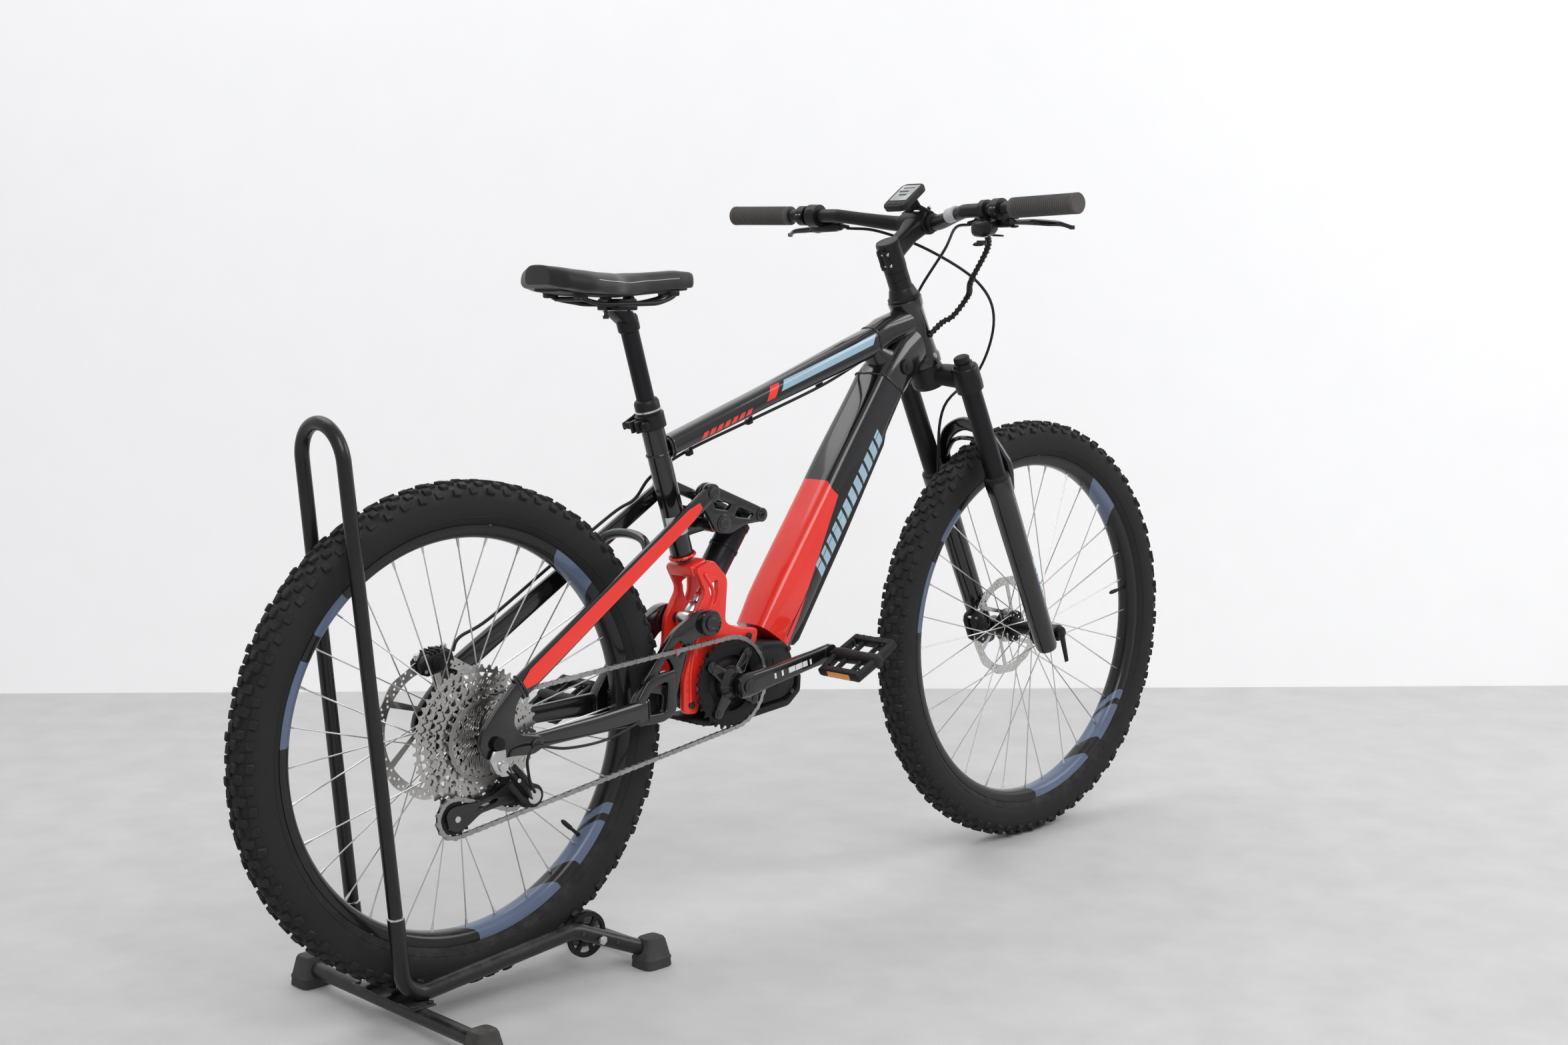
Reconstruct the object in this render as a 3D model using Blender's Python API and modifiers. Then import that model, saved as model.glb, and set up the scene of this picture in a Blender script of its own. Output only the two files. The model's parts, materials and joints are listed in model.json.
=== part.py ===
# Full-suspension electric mountain bike held by its rear wheel in a hoop floor stand.
# Metres, +Z up, +X forward, +Y to the rider's left. The origin is on the floor, in the
# wheel plane, midway between the back of the rear tyre and the front of the front tyre.

from math import atan2, cos, hypot, pi, radians, sin, sqrt, tan

import bmesh
import bpy
from mathutils import Matrix, Vector

# ---- driving dimensions ----
GAP = 0.0003                # gap left between pieces that touch
RUNNING = 0.0004            # radial clearance of a turning or sliding fit
WHEELBASE = 1.226
REAR_TYRE_RADIUS = 0.3515
FRONT_TYRE_RADIUS = 0.3718
REAR_RIM_RADIUS = 0.272     # inner edge of the rim
FRONT_RIM_RADIUS = 0.292
TYRE_WIDTH = 0.062
RIM_WIDTH = 0.036
SPOKES = 32
STAND_LIFT = 0.025          # height of the rear tyre above the floor
YOKE_ROOM = 0.1087          # from the rear tyre's tread to the crank axle
BB_RISE = 0.0125            # crank axle above the rear axle
REAR_HUB_WIDTH = 0.148
FRONT_HUB_WIDTH = 0.110
REAR_ROTOR_RADIUS = 0.1015
FRONT_ROTOR_RADIUS = 0.090
ROTOR_THICKNESS = 0.002
HEAD_ANGLE = radians(65.5)
SEAT_ANGLE = radians(74.0)
FORK_OFFSET = 0.050         # front axle ahead of the steering axis
FORK_LENGTH = 0.5526        # from the axle's foot on the steering axis to the head tube
HEAD_TUBE_LENGTH = 0.120
HEAD_TUBE_RADIUS = 0.027
STEERER_RADIUS = 0.0150
STANCHION_RADIUS = 0.0175
LEG_RADIUS = 0.0225
LEG_SPREAD = 0.070          # fork leg from the wheel plane
FORK_TRAVEL = 0.130
SEAT_TUBE_RADIUS = 0.0175
POST_RADIUS = 0.0151
DOWN_TUBE_WIDTH = 0.076
TOP_TUBE_WIDTH = 0.036
BAR_WIDTH = 0.750
BAR_RADIUS = 0.0111
GRIP_LENGTH = 0.130
GRIP_RADIUS = 0.0162
SADDLE_LENGTH = 0.283
SADDLE_WIDTH = 0.146
CRANK_LENGTH = 0.170
CHAINRING_RADIUS = 0.0647
CHAINLINE = 0.0505          # chainring and chain, to the right of the wheel plane
COG_RADIUS = 0.0486         # the cog that the chain runs on
CHAIN_WIDTH = 0.0054
CHAIN_HEIGHT = 0.0080
CHAIN_ROOM = 0.0012         # from a wheel's rim to the links over it
PULLEY_RADIUS = 0.0220
PIN_RADIUS = 0.0080
HOOP_RADIUS = 0.0098
RAIL_RADIUS = 0.0115
HOOP_HALF_WIDTH = 0.0530
ROLLER_RADIUS = 0.0335
HOSE_RADIUS = 0.0025
BUNDLE_RADIUS = 0.0050

# ---- reference points in the wheel plane, as (x, z) ----
HALF_LENGTH = (WHEELBASE + REAR_TYRE_RADIUS + FRONT_TYRE_RADIUS) / 2


def add(point, dx, dz):
    return (point[0] + dx, point[1] + dz)


REAR_AXLE = (REAR_TYRE_RADIUS - HALF_LENGTH, STAND_LIFT + REAR_TYRE_RADIUS)
FRONT_AXLE = (REAR_AXLE[0] + WHEELBASE, FRONT_TYRE_RADIUS)
CHAINSTAY = REAR_TYRE_RADIUS + YOKE_ROOM
CRANK_AXLE = add(REAR_AXLE, sqrt(CHAINSTAY ** 2 - BB_RISE ** 2), BB_RISE)
MAIN_PIVOT = add(CRANK_AXLE, -0.0414, 0.0967)
ROCKER_PIVOT = add(CRANK_AXLE, -0.0080, 0.2430)
STAY_PIVOT = add(CRANK_AXLE, -0.0430, 0.2930)
SHOCK_PIVOT = add(CRANK_AXLE, 0.0700, 0.2500)
DROPOUT_PIVOT = add(REAR_AXLE, 0.0655, -0.0109)
CAGE_PIVOT = add(REAR_AXLE, 0.0610, -0.0830)
GUIDE_PULLEY = add(CAGE_PIVOT, -0.0130, 0.0050)
TENSION_PULLEY = add(REAR_AXLE, -0.0480, -0.1000)
SEAT_CLAMP = add(CRANK_AXLE, -0.1100, 0.4010)

# the steering axis: along it, and square to it towards the front
STEER_UP = Vector((-cos(HEAD_ANGLE), 0, sin(HEAD_ANGLE)))
STEER_AHEAD = Vector((sin(HEAD_ANGLE), 0, cos(HEAD_ANGLE)))
STEER_FOOT = Vector((FRONT_AXLE[0], 0, FRONT_AXLE[1])) - STEER_AHEAD * FORK_OFFSET
HEAD_TOP = FORK_LENGTH + HEAD_TUBE_LENGTH
STEM_HEIGHT = HEAD_TOP + 0.079      # middle of the stem's rear clamp, along the axis
BAR_REACH = 0.0850
BAR_RISE = 0.0180
BAR_SWEEP = 0.0560

BLACK = ("black_paint", (0.012, 0.012, 0.013), 0.22, 0.0)
RED = ("red_paint", (0.90, 0.045, 0.025), 0.28, 0.0)
SATIN = ("satin_black", (0.020, 0.020, 0.022), 0.45, 0.0)
RUBBER = ("rubber", (0.030, 0.030, 0.032), 0.80, 0.0)
STEEL = ("steel", (0.62, 0.60, 0.57), 0.30, 1.0)
PLASTIC = ("plastic", (0.025, 0.025, 0.027), 0.55, 0.0)
STAND_PAINT = ("stand_paint", (0.028, 0.028, 0.028), 0.60, 0.0)
GRIP = ("grip_rubber", (0.085, 0.080, 0.078), 0.75, 0.0)
LEATHER = ("saddle_cover", (0.022, 0.022, 0.024), 0.50, 0.0)

parts = None
scratch = None


# ---- helpers ----
def clear_scene():
    for obj in list(bpy.data.objects):
        bpy.data.objects.remove(obj, do_unlink=True)


def new_collection(name):
    collection = bpy.data.collections.new(name)
    bpy.context.scene.collection.children.link(collection)
    return collection


def material(spec):
    name, colour, roughness, metallic = spec
    found = bpy.data.materials.get(name)
    if found:
        return found
    made = bpy.data.materials.new(name)
    made.use_nodes = True
    shader = made.node_tree.nodes["Principled BSDF"]
    shader.inputs["Base Color"].default_value = (*colour, 1)
    shader.inputs["Roughness"].default_value = roughness
    shader.inputs["Metallic"].default_value = metallic
    return made


def at(point, y=0.0):
    return Vector((point[0], y, point[1]))


def on_steerer(along, ahead=0.0, y=0.0):
    point = STEER_FOOT + STEER_UP * along + STEER_AHEAD * ahead
    return Vector((point.x, y, point.z))


def on_seat_tube(along, behind=0.0, y=0.0):
    # measured up the seat tube from the middle of its clamp
    x = SEAT_CLAMP[0] - along * cos(SEAT_ANGLE) - behind * sin(SEAT_ANGLE)
    z = SEAT_CLAMP[1] + along * sin(SEAT_ANGLE) - behind * cos(SEAT_ANGLE)
    return Vector((x, y, z))


def rough(mesh):
    obj = bpy.data.objects.new("scratch", mesh)
    scratch.objects.link(obj)
    return obj


def from_bmesh(bm):
    mesh = bpy.data.meshes.new("scratch")
    bm.to_mesh(mesh)
    bm.free()
    return rough(mesh)


def solid(obj):
    # the evaluated shape as one plain mesh in world space, its caps welded
    bpy.context.view_layer.update()
    graph = bpy.context.evaluated_depsgraph_get()
    mesh = bpy.data.meshes.new_from_object(obj.evaluated_get(graph))
    mesh.transform(obj.matrix_world)
    bpy.data.objects.remove(obj, do_unlink=True)
    bm = bmesh.new()
    bm.from_mesh(mesh)
    bmesh.ops.remove_doubles(bm, verts=bm.verts, dist=0.00001)
    bmesh.ops.recalc_face_normals(bm, faces=bm.faces)
    bm.to_mesh(mesh)
    bm.free()
    return rough(mesh)


def rod(start, end, radius, end_radius=None, sides=14):
    start, end = Vector(start), Vector(end)
    way = end - start
    turn = way.to_track_quat("Z", "Y").to_matrix().to_4x4()
    bm = bmesh.new()
    bmesh.ops.create_cone(
        bm, cap_ends=True, segments=sides, radius1=radius,
        radius2=radius if end_radius is None else end_radius, depth=way.length,
        matrix=Matrix.Translation((start + end) / 2) @ turn)
    return from_bmesh(bm)


def pin(point, y0, y1, radius, sides=14):
    return rod(at(point, y0), at(point, y1), radius, sides=sides)


def block(centre, size, pitch=0.0, bevel=0.0):
    # a box, turned nose up by pitch, its edges rounded
    bm = bmesh.new()
    bmesh.ops.create_cube(bm, size=1, matrix=Matrix.Diagonal((*size, 1)))
    if bevel:
        bmesh.ops.bevel(bm, geom=bm.edges, offset=bevel, segments=1, affect="EDGES")
    place = Matrix.Translation(centre) @ Matrix.Rotation(-pitch, 4, "Y")
    bmesh.ops.transform(bm, matrix=place, verts=bm.verts)
    return from_bmesh(bm)


def beam(start, end, start_size, end_size, corner=0.0, segments=2):
    # a tapered tube of rounded rectangular section; a size is (across, deep)
    start, end = Vector(start), Vector(end)
    way = (end - start).normalized()
    across = way.cross(Vector((way.z, 0, -way.x))).normalized()
    deep = across.cross(way).normalized()
    bm = bmesh.new()
    bmesh.ops.create_cube(bm, size=1)
    for vert in bm.verts:
        here, size = (end, end_size) if vert.co.z > 0 else (start, start_size)
        vert.co = here + across * vert.co.x * size[0] + deep * vert.co.y * size[1]
    bm.normal_update()
    bmesh.ops.recalc_face_normals(bm, faces=bm.faces)
    if corner:
        long_edges = [e for e in bm.edges
                      if abs((e.verts[0].co - e.verts[1].co).normalized().dot(way)) > 0.7]
        bmesh.ops.bevel(bm, geom=long_edges, offset=corner, segments=segments,
                        affect="EDGES")
    return from_bmesh(bm)


def plate(outline, y0, y1, corners=0.0):
    # a flat outline of (x, z) points in the wheel plane, from y0 to y1
    curve = bpy.data.curves.new("outline", "CURVE")
    curve.dimensions = "2D"
    curve.fill_mode = "BOTH"
    points = rounded(outline, corners) if corners else outline
    spline = curve.splines.new("POLY")
    spline.points.add(len(points) - 1)
    for dot, (x, z) in zip(spline.points, points):
        dot.co = (x, z, 0, 1)
    spline.use_cyclic_u = True
    curve.extrude = abs(y1 - y0) / 2
    obj = bpy.data.objects.new("outline", curve)
    scratch.objects.link(obj)
    obj.rotation_euler = (pi / 2, 0, 0)
    obj.location.y = (y0 + y1) / 2
    return solid(obj)


def rounded(outline, radius, steps=2):
    # the outline with each corner cut by a short arc
    points = []
    for i, here in enumerate(outline):
        before, after = outline[i - 1], outline[(i + 1) % len(outline)]
        back = Vector(before) - Vector(here)
        ahead = Vector(after) - Vector(here)
        cut = min(radius, back.length * 0.4, ahead.length * 0.4)
        first = Vector(here) + back.normalized() * cut
        last = Vector(here) + ahead.normalized() * cut
        for k in range(steps + 1):
            t = k / steps
            points.append(first * (1 - t) ** 2 + Vector(here) * 2 * t * (1 - t) + last * t ** 2)
    return [(p[0], p[1]) for p in points]


def offset_points(base, outline):
    return [add(base, dx, dz) for dx, dz in outline]


def turned(profile, point, steps=48, y=0.0):
    # a closed ring turned about the Y axis; the profile is (radius, y) pairs
    bm = bmesh.new()
    verts = [bm.verts.new((r, 0, along)) for r, along in profile]
    for a, b in zip(verts, verts[1:] + verts[:1]):
        bm.edges.new((a, b))
    obj = from_bmesh(bm)
    screw = obj.modifiers.new("turn", "SCREW")
    screw.steps = screw.render_steps = steps
    screw.use_merge_vertices = True
    screw.merge_threshold = 0.00001
    obj.rotation_euler = (-pi / 2, 0, 0)
    obj.location = at(point, y)
    return solid(obj)


def bent(points, radius, steps=5):
    # a path whose inner corners are replaced by arcs of the given bend radius
    points = [Vector(p) for p in points]
    path = [points[0]]
    for before, here, after in zip(points, points[1:], points[2:]):
        back, ahead = (before - here).normalized(), (after - here).normalized()
        half = back.angle(ahead) / 2
        turn = pi - 2 * half
        cut = radius / tan(half)
        middle = (back + ahead).normalized()
        centre = here + middle * (radius / sin(half))
        first, last = here + back * cut, here + ahead * cut
        for k in range(steps + 1):
            swung = turn * k / steps
            path.append(centre + ((first - centre) * sin(turn - swung)
                                  + (last - centre) * sin(swung)) / sin(turn))
    path.append(points[-1])
    return path


def smooth(points, each=4):
    # a Catmull-Rom curve through the points
    points = [Vector(p) for p in points]
    ends = [points[0] * 2 - points[1]] + points + [points[-1] * 2 - points[-2]]
    path = []
    for a, b, c, d in zip(ends, ends[1:], ends[2:], ends[3:]):
        for k in range(each):
            t = k / each
            path.append((b * 2 + (c - a) * t + (a * 2 - b * 5 + c * 4 - d) * t ** 2
                         + (b * 3 - a - c * 3 + d) * t ** 3) / 2)
    path.append(points[-1])
    return path


def tube(path, radius, roundness=2):
    curve = bpy.data.curves.new("path", "CURVE")
    curve.dimensions = "3D"
    curve.bevel_depth = radius
    curve.bevel_resolution = roundness
    curve.use_fill_caps = True
    spline = curve.splines.new("POLY")
    spline.points.add(len(path) - 1)
    for dot, p in zip(spline.points, path):
        dot.co = (*p, 1)
    obj = bpy.data.objects.new("path", curve)
    scratch.objects.link(obj)
    return solid(obj)


def boolean(base, others, operation):
    # EXACT Boolean with each operand in turn
    for other in others:
        step = base.modifiers.new("join", "BOOLEAN")
        step.operation = operation
        step.solver = "EXACT"
        step.object = other
        other.hide_render = True
        other.display_type = "WIRE"
    made = solid(base)
    for other in others:
        bpy.data.objects.remove(other, do_unlink=True)
    return made


def join(pieces):
    return boolean(pieces[0], pieces[1:], "UNION") if len(pieces) > 1 else pieces[0]


def cut(base, cutters):
    return boolean(base, cutters, "DIFFERENCE")


def finish(name, obj, spec, origin=(0, 0, 0)):
    # name the piece, give it its material and put its origin on its joint's axis
    origin = Vector(origin)
    scratch.objects.unlink(obj)
    parts.objects.link(obj)
    obj.name = obj.data.name = name
    obj.data.transform(Matrix.Translation(-origin))
    obj.location = origin
    obj.data.materials.clear()
    obj.data.materials.append(material(spec))
    obj.data.shade_smooth()
    obj.data.set_sharp_from_angle(angle=radians(35))
    return obj


# ---- floor stand ----
CROSS_TUBE = add((REAR_AXLE[0], 0), -0.1214, 0.0252)
FOOT_SIZE = (0.050, 0.046, 0.044)
REAR_FOOT_Y = 0.207
FRONT_FOOT_Y = 0.078
HOOP_FOOT = add((REAR_AXLE[0], 0), -0.1473, 0.1617)
HOOP_TOP = add(REAR_AXLE, -0.2066, REAR_TYRE_RADIUS + 0.0880)
ROLLER_HUB = 0.0155
ROLLER_ANGLE = radians(60)
ROLLER_REACH = REAR_TYRE_RADIUS + ROLLER_HUB + 2 * GAP
ROLLER_AXLE = add(REAR_AXLE, ROLLER_REACH * cos(ROLLER_ANGLE), -ROLLER_REACH * sin(ROLLER_ANGLE))
ROLLER_DISC = (TYRE_WIDTH / 2 + 0.0035, TYRE_WIDTH / 2 + 0.0090)
ROLLER_PIN = 0.0040


def stand_hoop():
    lean = Vector((HOOP_TOP[0] - HOOP_FOOT[0], 0, HOOP_TOP[1] - HOOP_FOOT[1])).normalized()
    arch = HOOP_HALF_WIDTH - 0.003
    crown = at(HOOP_TOP) - lean * arch
    path = [at(HOOP_FOOT, -HOOP_HALF_WIDTH) + lean * GAP]
    for k in range(13):
        turn = pi * k / 12
        path.append(crown - Vector((0, arch * cos(turn), 0)) + lean * arch * sin(turn))
    path.append(at(HOOP_FOOT, HOOP_HALF_WIDTH) + lean * GAP)
    finish("stand_hoop", tube(path, HOOP_RADIUS), STAND_PAINT)


def rail_path(side):
    lean = (HOOP_TOP[0] - HOOP_FOOT[0]) / (HOOP_TOP[1] - HOOP_FOOT[1])
    low = 0.0465
    heel = (HOOP_FOOT[0] + lean * (low - HOOP_FOOT[1]), low)
    shoulder = add(ROLLER_AXLE, -0.0340, 0.0170)
    toe = (ROLLER_AXLE[0] + 0.0800, 0.0265)
    return [at(HOOP_FOOT, side * HOOP_HALF_WIDTH), at(heel, side * HOOP_HALF_WIDTH),
            at(shoulder, side * HOOP_HALF_WIDTH), at(toe, side * (FRONT_FOOT_Y - 0.004))]


def foot(x, y):
    width, depth, height = FOOT_SIZE
    return beam((x, y, 0), (x, y, height), (depth, width), (depth * 0.68, width * 0.68), 0.005, 1)


def stand_rails():
    toe_x = ROLLER_AXLE[0] + 0.088
    pieces = []
    for side in (-1, 1):
        pieces.append(tube(bent(rail_path(side), 0.038), RAIL_RADIUS))
        pieces.append(foot(toe_x, side * FRONT_FOOT_Y))
    pieces.append(rod((toe_x, -FRONT_FOOT_Y, 0.022), (toe_x, FRONT_FOOT_Y, 0.022), 0.0095))
    hole = pin(ROLLER_AXLE, -0.09, 0.09, ROLLER_PIN + GAP, 12)
    finish("stand_rails", cut(join(pieces), [hole]), STAND_PAINT)


def stand_cross_tube():
    tube_top = CROSS_TUBE[1] + RAIL_RADIUS
    pieces = [pin(CROSS_TUBE, -REAR_FOOT_Y, REAR_FOOT_Y, RAIL_RADIUS),
              block((CROSS_TUBE[0] + 0.002, 0, tube_top + 0.0007), (0.036, 0.150, 0.0022))]
    pieces += [foot(CROSS_TUBE[0], side * REAR_FOOT_Y) for side in (-1, 1)]
    finish("stand_cross_tube", join(pieces), STAND_PAINT)


def stand_roller():
    inner, outer = ROLLER_DISC
    bore = ROLLER_PIN + RUNNING
    profile = [(bore, outer), (0.012, outer), (0.012, outer - 0.003), (0.030, outer - 0.003),
               (0.030, outer), (ROLLER_RADIUS, outer), (ROLLER_RADIUS, inner),
               (ROLLER_HUB, inner)]
    profile += [(r, -y) for r, y in reversed(profile)]
    finish("stand_roller", turned(profile, ROLLER_AXLE, 16), PLASTIC, at(ROLLER_AXLE))
    end = FRONT_FOOT_Y - 0.004
    axle = [pin(ROLLER_AXLE, -end, end, ROLLER_PIN, 12)]
    axle += [pin(ROLLER_AXLE, side * (end - 0.001), side * (end + 0.004), 0.0065, 6)
             for side in (-1, 1)]
    finish("stand_roller_axle", join(axle), STEEL)


# ---- wheels ----
RIM_DEPTH = 0.0185


def tyre(name, axle, radius, rim_radius):
    half, seat = TYRE_WIDTH / 2, rim_radius + RIM_DEPTH + GAP
    side = [(seat, RIM_WIDTH / 2 - 0.001), (seat + 0.010, half * 0.78), (radius - 0.026, half),
            (radius - 0.011, half * 0.92), (radius - 0.002, half * 0.52), (radius, half * 0.18)]
    profile = side + [(r, -y) for r, y in reversed(side)]
    finish(name, turned(profile, axle, 40), RUBBER, at(axle))


def rim(name, axle, rim_radius):
    half = RIM_WIDTH / 2
    side = [(rim_radius, half * 0.35), (rim_radius + 0.003, half * 0.85),
            (rim_radius + 0.010, half), (rim_radius + RIM_DEPTH, half)]
    profile = side + [(r, -y) for r, y in reversed(side)]
    finish(name, turned(profile, axle, 40), BLACK, at(axle))


def spokes(axle, rim_radius, flange_radius, flanges):
    # four sets of straight rods, leading and trailing from either flange
    sets = []
    per_set = SPOKES // 4
    for side, flange_y in zip((1, -1), flanges):
        for lead in (1, -1):
            bm = bmesh.new()
            for k in range(per_set):
                outer = 2 * pi * (k + (0.25 if side > 0 else 0) + (0.5 if lead > 0 else 0)) / per_set
                inner = outer + lead * radians(72)
                head = at(add(axle, flange_radius * cos(inner), flange_radius * sin(inner)),
                          flange_y + 0.0009 * lead)
                reach = rim_radius - 0.0022
                tip = at(add(axle, reach * cos(outer), reach * sin(outer)), side * 0.003)
                way = tip - head
                place = Matrix.Translation((head + tip) / 2) @ \
                    way.to_track_quat("Z", "Y").to_matrix().to_4x4()
                bmesh.ops.create_cone(bm, cap_ends=True, segments=3, radius1=0.0013,
                                      radius2=0.0013, depth=way.length, matrix=place)
            sets.append(from_bmesh(bm))
    return sets


def hub(name, axle, rim_radius, bore, outer, flange_radius, flanges, body_radius):
    # outer is the list of (radius, y) from the left end to the right end
    left, right = flanges
    half = 0.0016
    profile = [outer[0], outer[1],
               (body_radius, left + 0.006), (flange_radius + 0.003, left + half),
               (flange_radius + 0.003, left - half), (body_radius, left - 0.006),
               (body_radius, right + 0.006), (flange_radius + 0.003, right + half),
               (flange_radius + 0.003, right - half), (body_radius, right - 0.006),
               outer[2], outer[3]]
    ring = profile + [(bore, outer[3][1]), (bore, outer[0][1])]
    pieces = [turned(ring, axle, 14)] + spokes(axle, rim_radius, flange_radius, flanges)
    finish(name, join(pieces), SATIN, at(axle))


def rotor(name, axle, radius, y, bore):
    half = ROTOR_THICKNESS / 2
    band = turned([(radius, half), (radius, -half), (radius - 0.014, -half),
                   (radius - 0.014, half)], axle, 24, y)
    carrier = turned([(0.030, half), (0.030, -half), (bore, -half), (bore, half)], axle, 16, y)
    arms = []
    for k in range(6):
        turn = pi * k / 3
        start = at(add(axle, 0.025 * cos(turn), 0.025 * sin(turn)), y)
        reach = radius - 0.008
        end = at(add(axle, reach * cos(turn + 0.5), reach * sin(turn + 0.5)), y)
        arms.append(beam(start, end, (ROTOR_THICKNESS * 0.8, 0.010),
                         (ROTOR_THICKNESS * 0.8, 0.007)))
    finish(name, join([band, carrier] + arms), STEEL, at(axle))


REAR_AXLE_RADIUS = 0.0060
FRONT_AXLE_RADIUS = 0.0074
ROTOR_Y = {"rear": REAR_HUB_WIDTH / 2 - 0.0160, "front": FRONT_HUB_WIDTH / 2 - 0.0100}
CASSETTE_BORE = 0.0175
CASSETTE_INNER = -0.0350
CASSETTE_OUTER = -(REAR_HUB_WIDTH / 2 - 0.0060)


def wheels():
    tyre("rear_tyre", REAR_AXLE, REAR_TYRE_RADIUS, REAR_RIM_RADIUS)
    rim("rear_rim", REAR_AXLE, REAR_RIM_RADIUS)
    end = REAR_HUB_WIDTH / 2 - GAP
    y = ROTOR_Y["rear"]
    outer = [(0.0110, end), (0.0110, y + 0.0030), (0.0165, CASSETTE_INNER + 0.004),
             (0.0165, -end)]
    hub("rear_hub", REAR_AXLE, REAR_RIM_RADIUS, REAR_AXLE_RADIUS + RUNNING, outer, 0.0270,
        (y - 0.016, -0.0240), 0.0170)
    rotor("rear_rotor", REAR_AXLE, REAR_ROTOR_RADIUS, y, 0.0200)
    tyre("front_tyre", FRONT_AXLE, FRONT_TYRE_RADIUS, FRONT_RIM_RADIUS)
    rim("front_rim", FRONT_AXLE, FRONT_RIM_RADIUS)
    end = FRONT_HUB_WIDTH / 2 - GAP
    y = ROTOR_Y["front"]
    outer = [(0.0110, end), (0.0110, y + 0.0030), (0.0110, -0.0440), (0.0110, -end)]
    hub("front_hub", FRONT_AXLE, FRONT_RIM_RADIUS, FRONT_AXLE_RADIUS + RUNNING, outer, 0.0240,
        (y - 0.018, -0.0330), 0.0150)
    rotor("front_rotor", FRONT_AXLE, FRONT_ROTOR_RADIUS, y, 0.0175)


def cassette():
    # the cogs as steps: larger ones inboard of the chain, then its own cog, then smaller ones
    chain_side = -CHAINLINE + CHAIN_WIDTH / 2 + GAP
    chain_back = -CHAINLINE - CHAIN_WIDTH / 2 - GAP
    inboard = [0.1030, 0.0880, 0.0720, 0.0610]
    outboard = [0.0400, 0.0310, 0.0220]
    steps, y = [], CASSETTE_INNER
    for radius in inboard:
        steps.append((radius, y, y + (chain_side - CASSETTE_INNER) / len(inboard)))
        y = steps[-1][2]
    steps.append((COG_RADIUS - GAP, y, chain_back))
    y = chain_back
    for radius in outboard:
        steps.append((radius, y, y + (CASSETTE_OUTER - chain_back) / len(outboard)))
        y = steps[-1][2]
    profile = [(CASSETTE_BORE, CASSETTE_INNER)]
    for radius, start, end in steps:
        profile += [(radius, start), (radius, end)]
    profile.append((CASSETTE_BORE, CASSETTE_OUTER))
    finish("cassette", turned(profile, REAR_AXLE, 20), STEEL, at(REAR_AXLE))


# ---- main frame ----
HEAD_BORE = STEERER_RADIUS + 0.0015
DOWN_TOP = on_steerer(FORK_LENGTH + 0.018, -0.112)
DOWN_FOOT = at(add(CRANK_AXLE, 0.1150, 0.0520))
DOWN_DEPTH = (0.086, 0.068)
TOP_FRONT = on_steerer(FORK_LENGTH + 0.090, -0.100)
TOP_REAR = on_seat_tube(-0.0470, -SEAT_TUBE_RADIUS - 0.001)
TOP_DEPTH = (0.031, 0.046)
SEAT_TUBE_FOOT = -0.2200
CHEEK_Y = (0.0262, 0.0362)
YOKE_Y = (0.0375, 0.0550)
ROCKER_Y = (0.0375, 0.0465)
BATTERY_SIZE = (0.066, 0.060)
BATTERY_LENGTH = 0.400


def down_way():
    return (DOWN_TOP - DOWN_FOOT).normalized()


def down_square():
    # square to the down tube, towards the front wheel
    way = down_way()
    return Vector((way.z, 0, -way.x))


def head_tube():
    low, high = FORK_LENGTH, HEAD_TOP
    shell = [rod(on_steerer(low, 0), on_steerer(high, 0), HEAD_TUBE_RADIUS, sides=16),
             rod(on_steerer(low, 0), on_steerer(low + 0.016, 0), HEAD_TUBE_RADIUS + 0.003, sides=16),
             rod(on_steerer(high - 0.014, 0), on_steerer(high, 0), HEAD_TUBE_RADIUS + 0.002,
                 sides=16)]
    square, way = down_square(), down_way()
    half = DOWN_DEPTH[1] / 2
    top_way = (TOP_FRONT - TOP_REAR).normalized()
    top_square = Vector((-top_way.z, 0, top_way.x))
    tall = TOP_DEPTH[1] / 2
    corners = [TOP_FRONT + top_way * GAP + top_square * tall,
               on_steerer(high - 0.014, -0.010), on_steerer(low + 0.004, -0.006),
               on_steerer(low + 0.002, -HEAD_TUBE_RADIUS - 0.012),
               DOWN_TOP + way * GAP + square * half, DOWN_TOP + way * GAP - square * half,
               TOP_FRONT + top_way * GAP - top_square * tall]
    outline = [(c.x, c.z) for c in corners]
    shell.append(plate(outline, -DOWN_TUBE_WIDTH / 2 + 0.006, DOWN_TUBE_WIDTH / 2 - 0.006))
    bore = rod(on_steerer(low - 0.02, 0), on_steerer(high + 0.02, 0), HEAD_BORE, sides=16)
    finish("head_tube", cut(join(shell), [bore]), BLACK)


def top_tube():
    tube_body = beam(TOP_REAR, TOP_FRONT, (TOP_TUBE_WIDTH * 0.9, TOP_DEPTH[0]),
                     (TOP_TUBE_WIDTH * 1.15, TOP_DEPTH[1]), 0.011, 3)
    finish("top_tube", tube_body, BLACK)


def battery_centre(along):
    # along the down tube from its foot
    return DOWN_FOOT + down_way() * along + down_square() * 0.020


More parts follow.
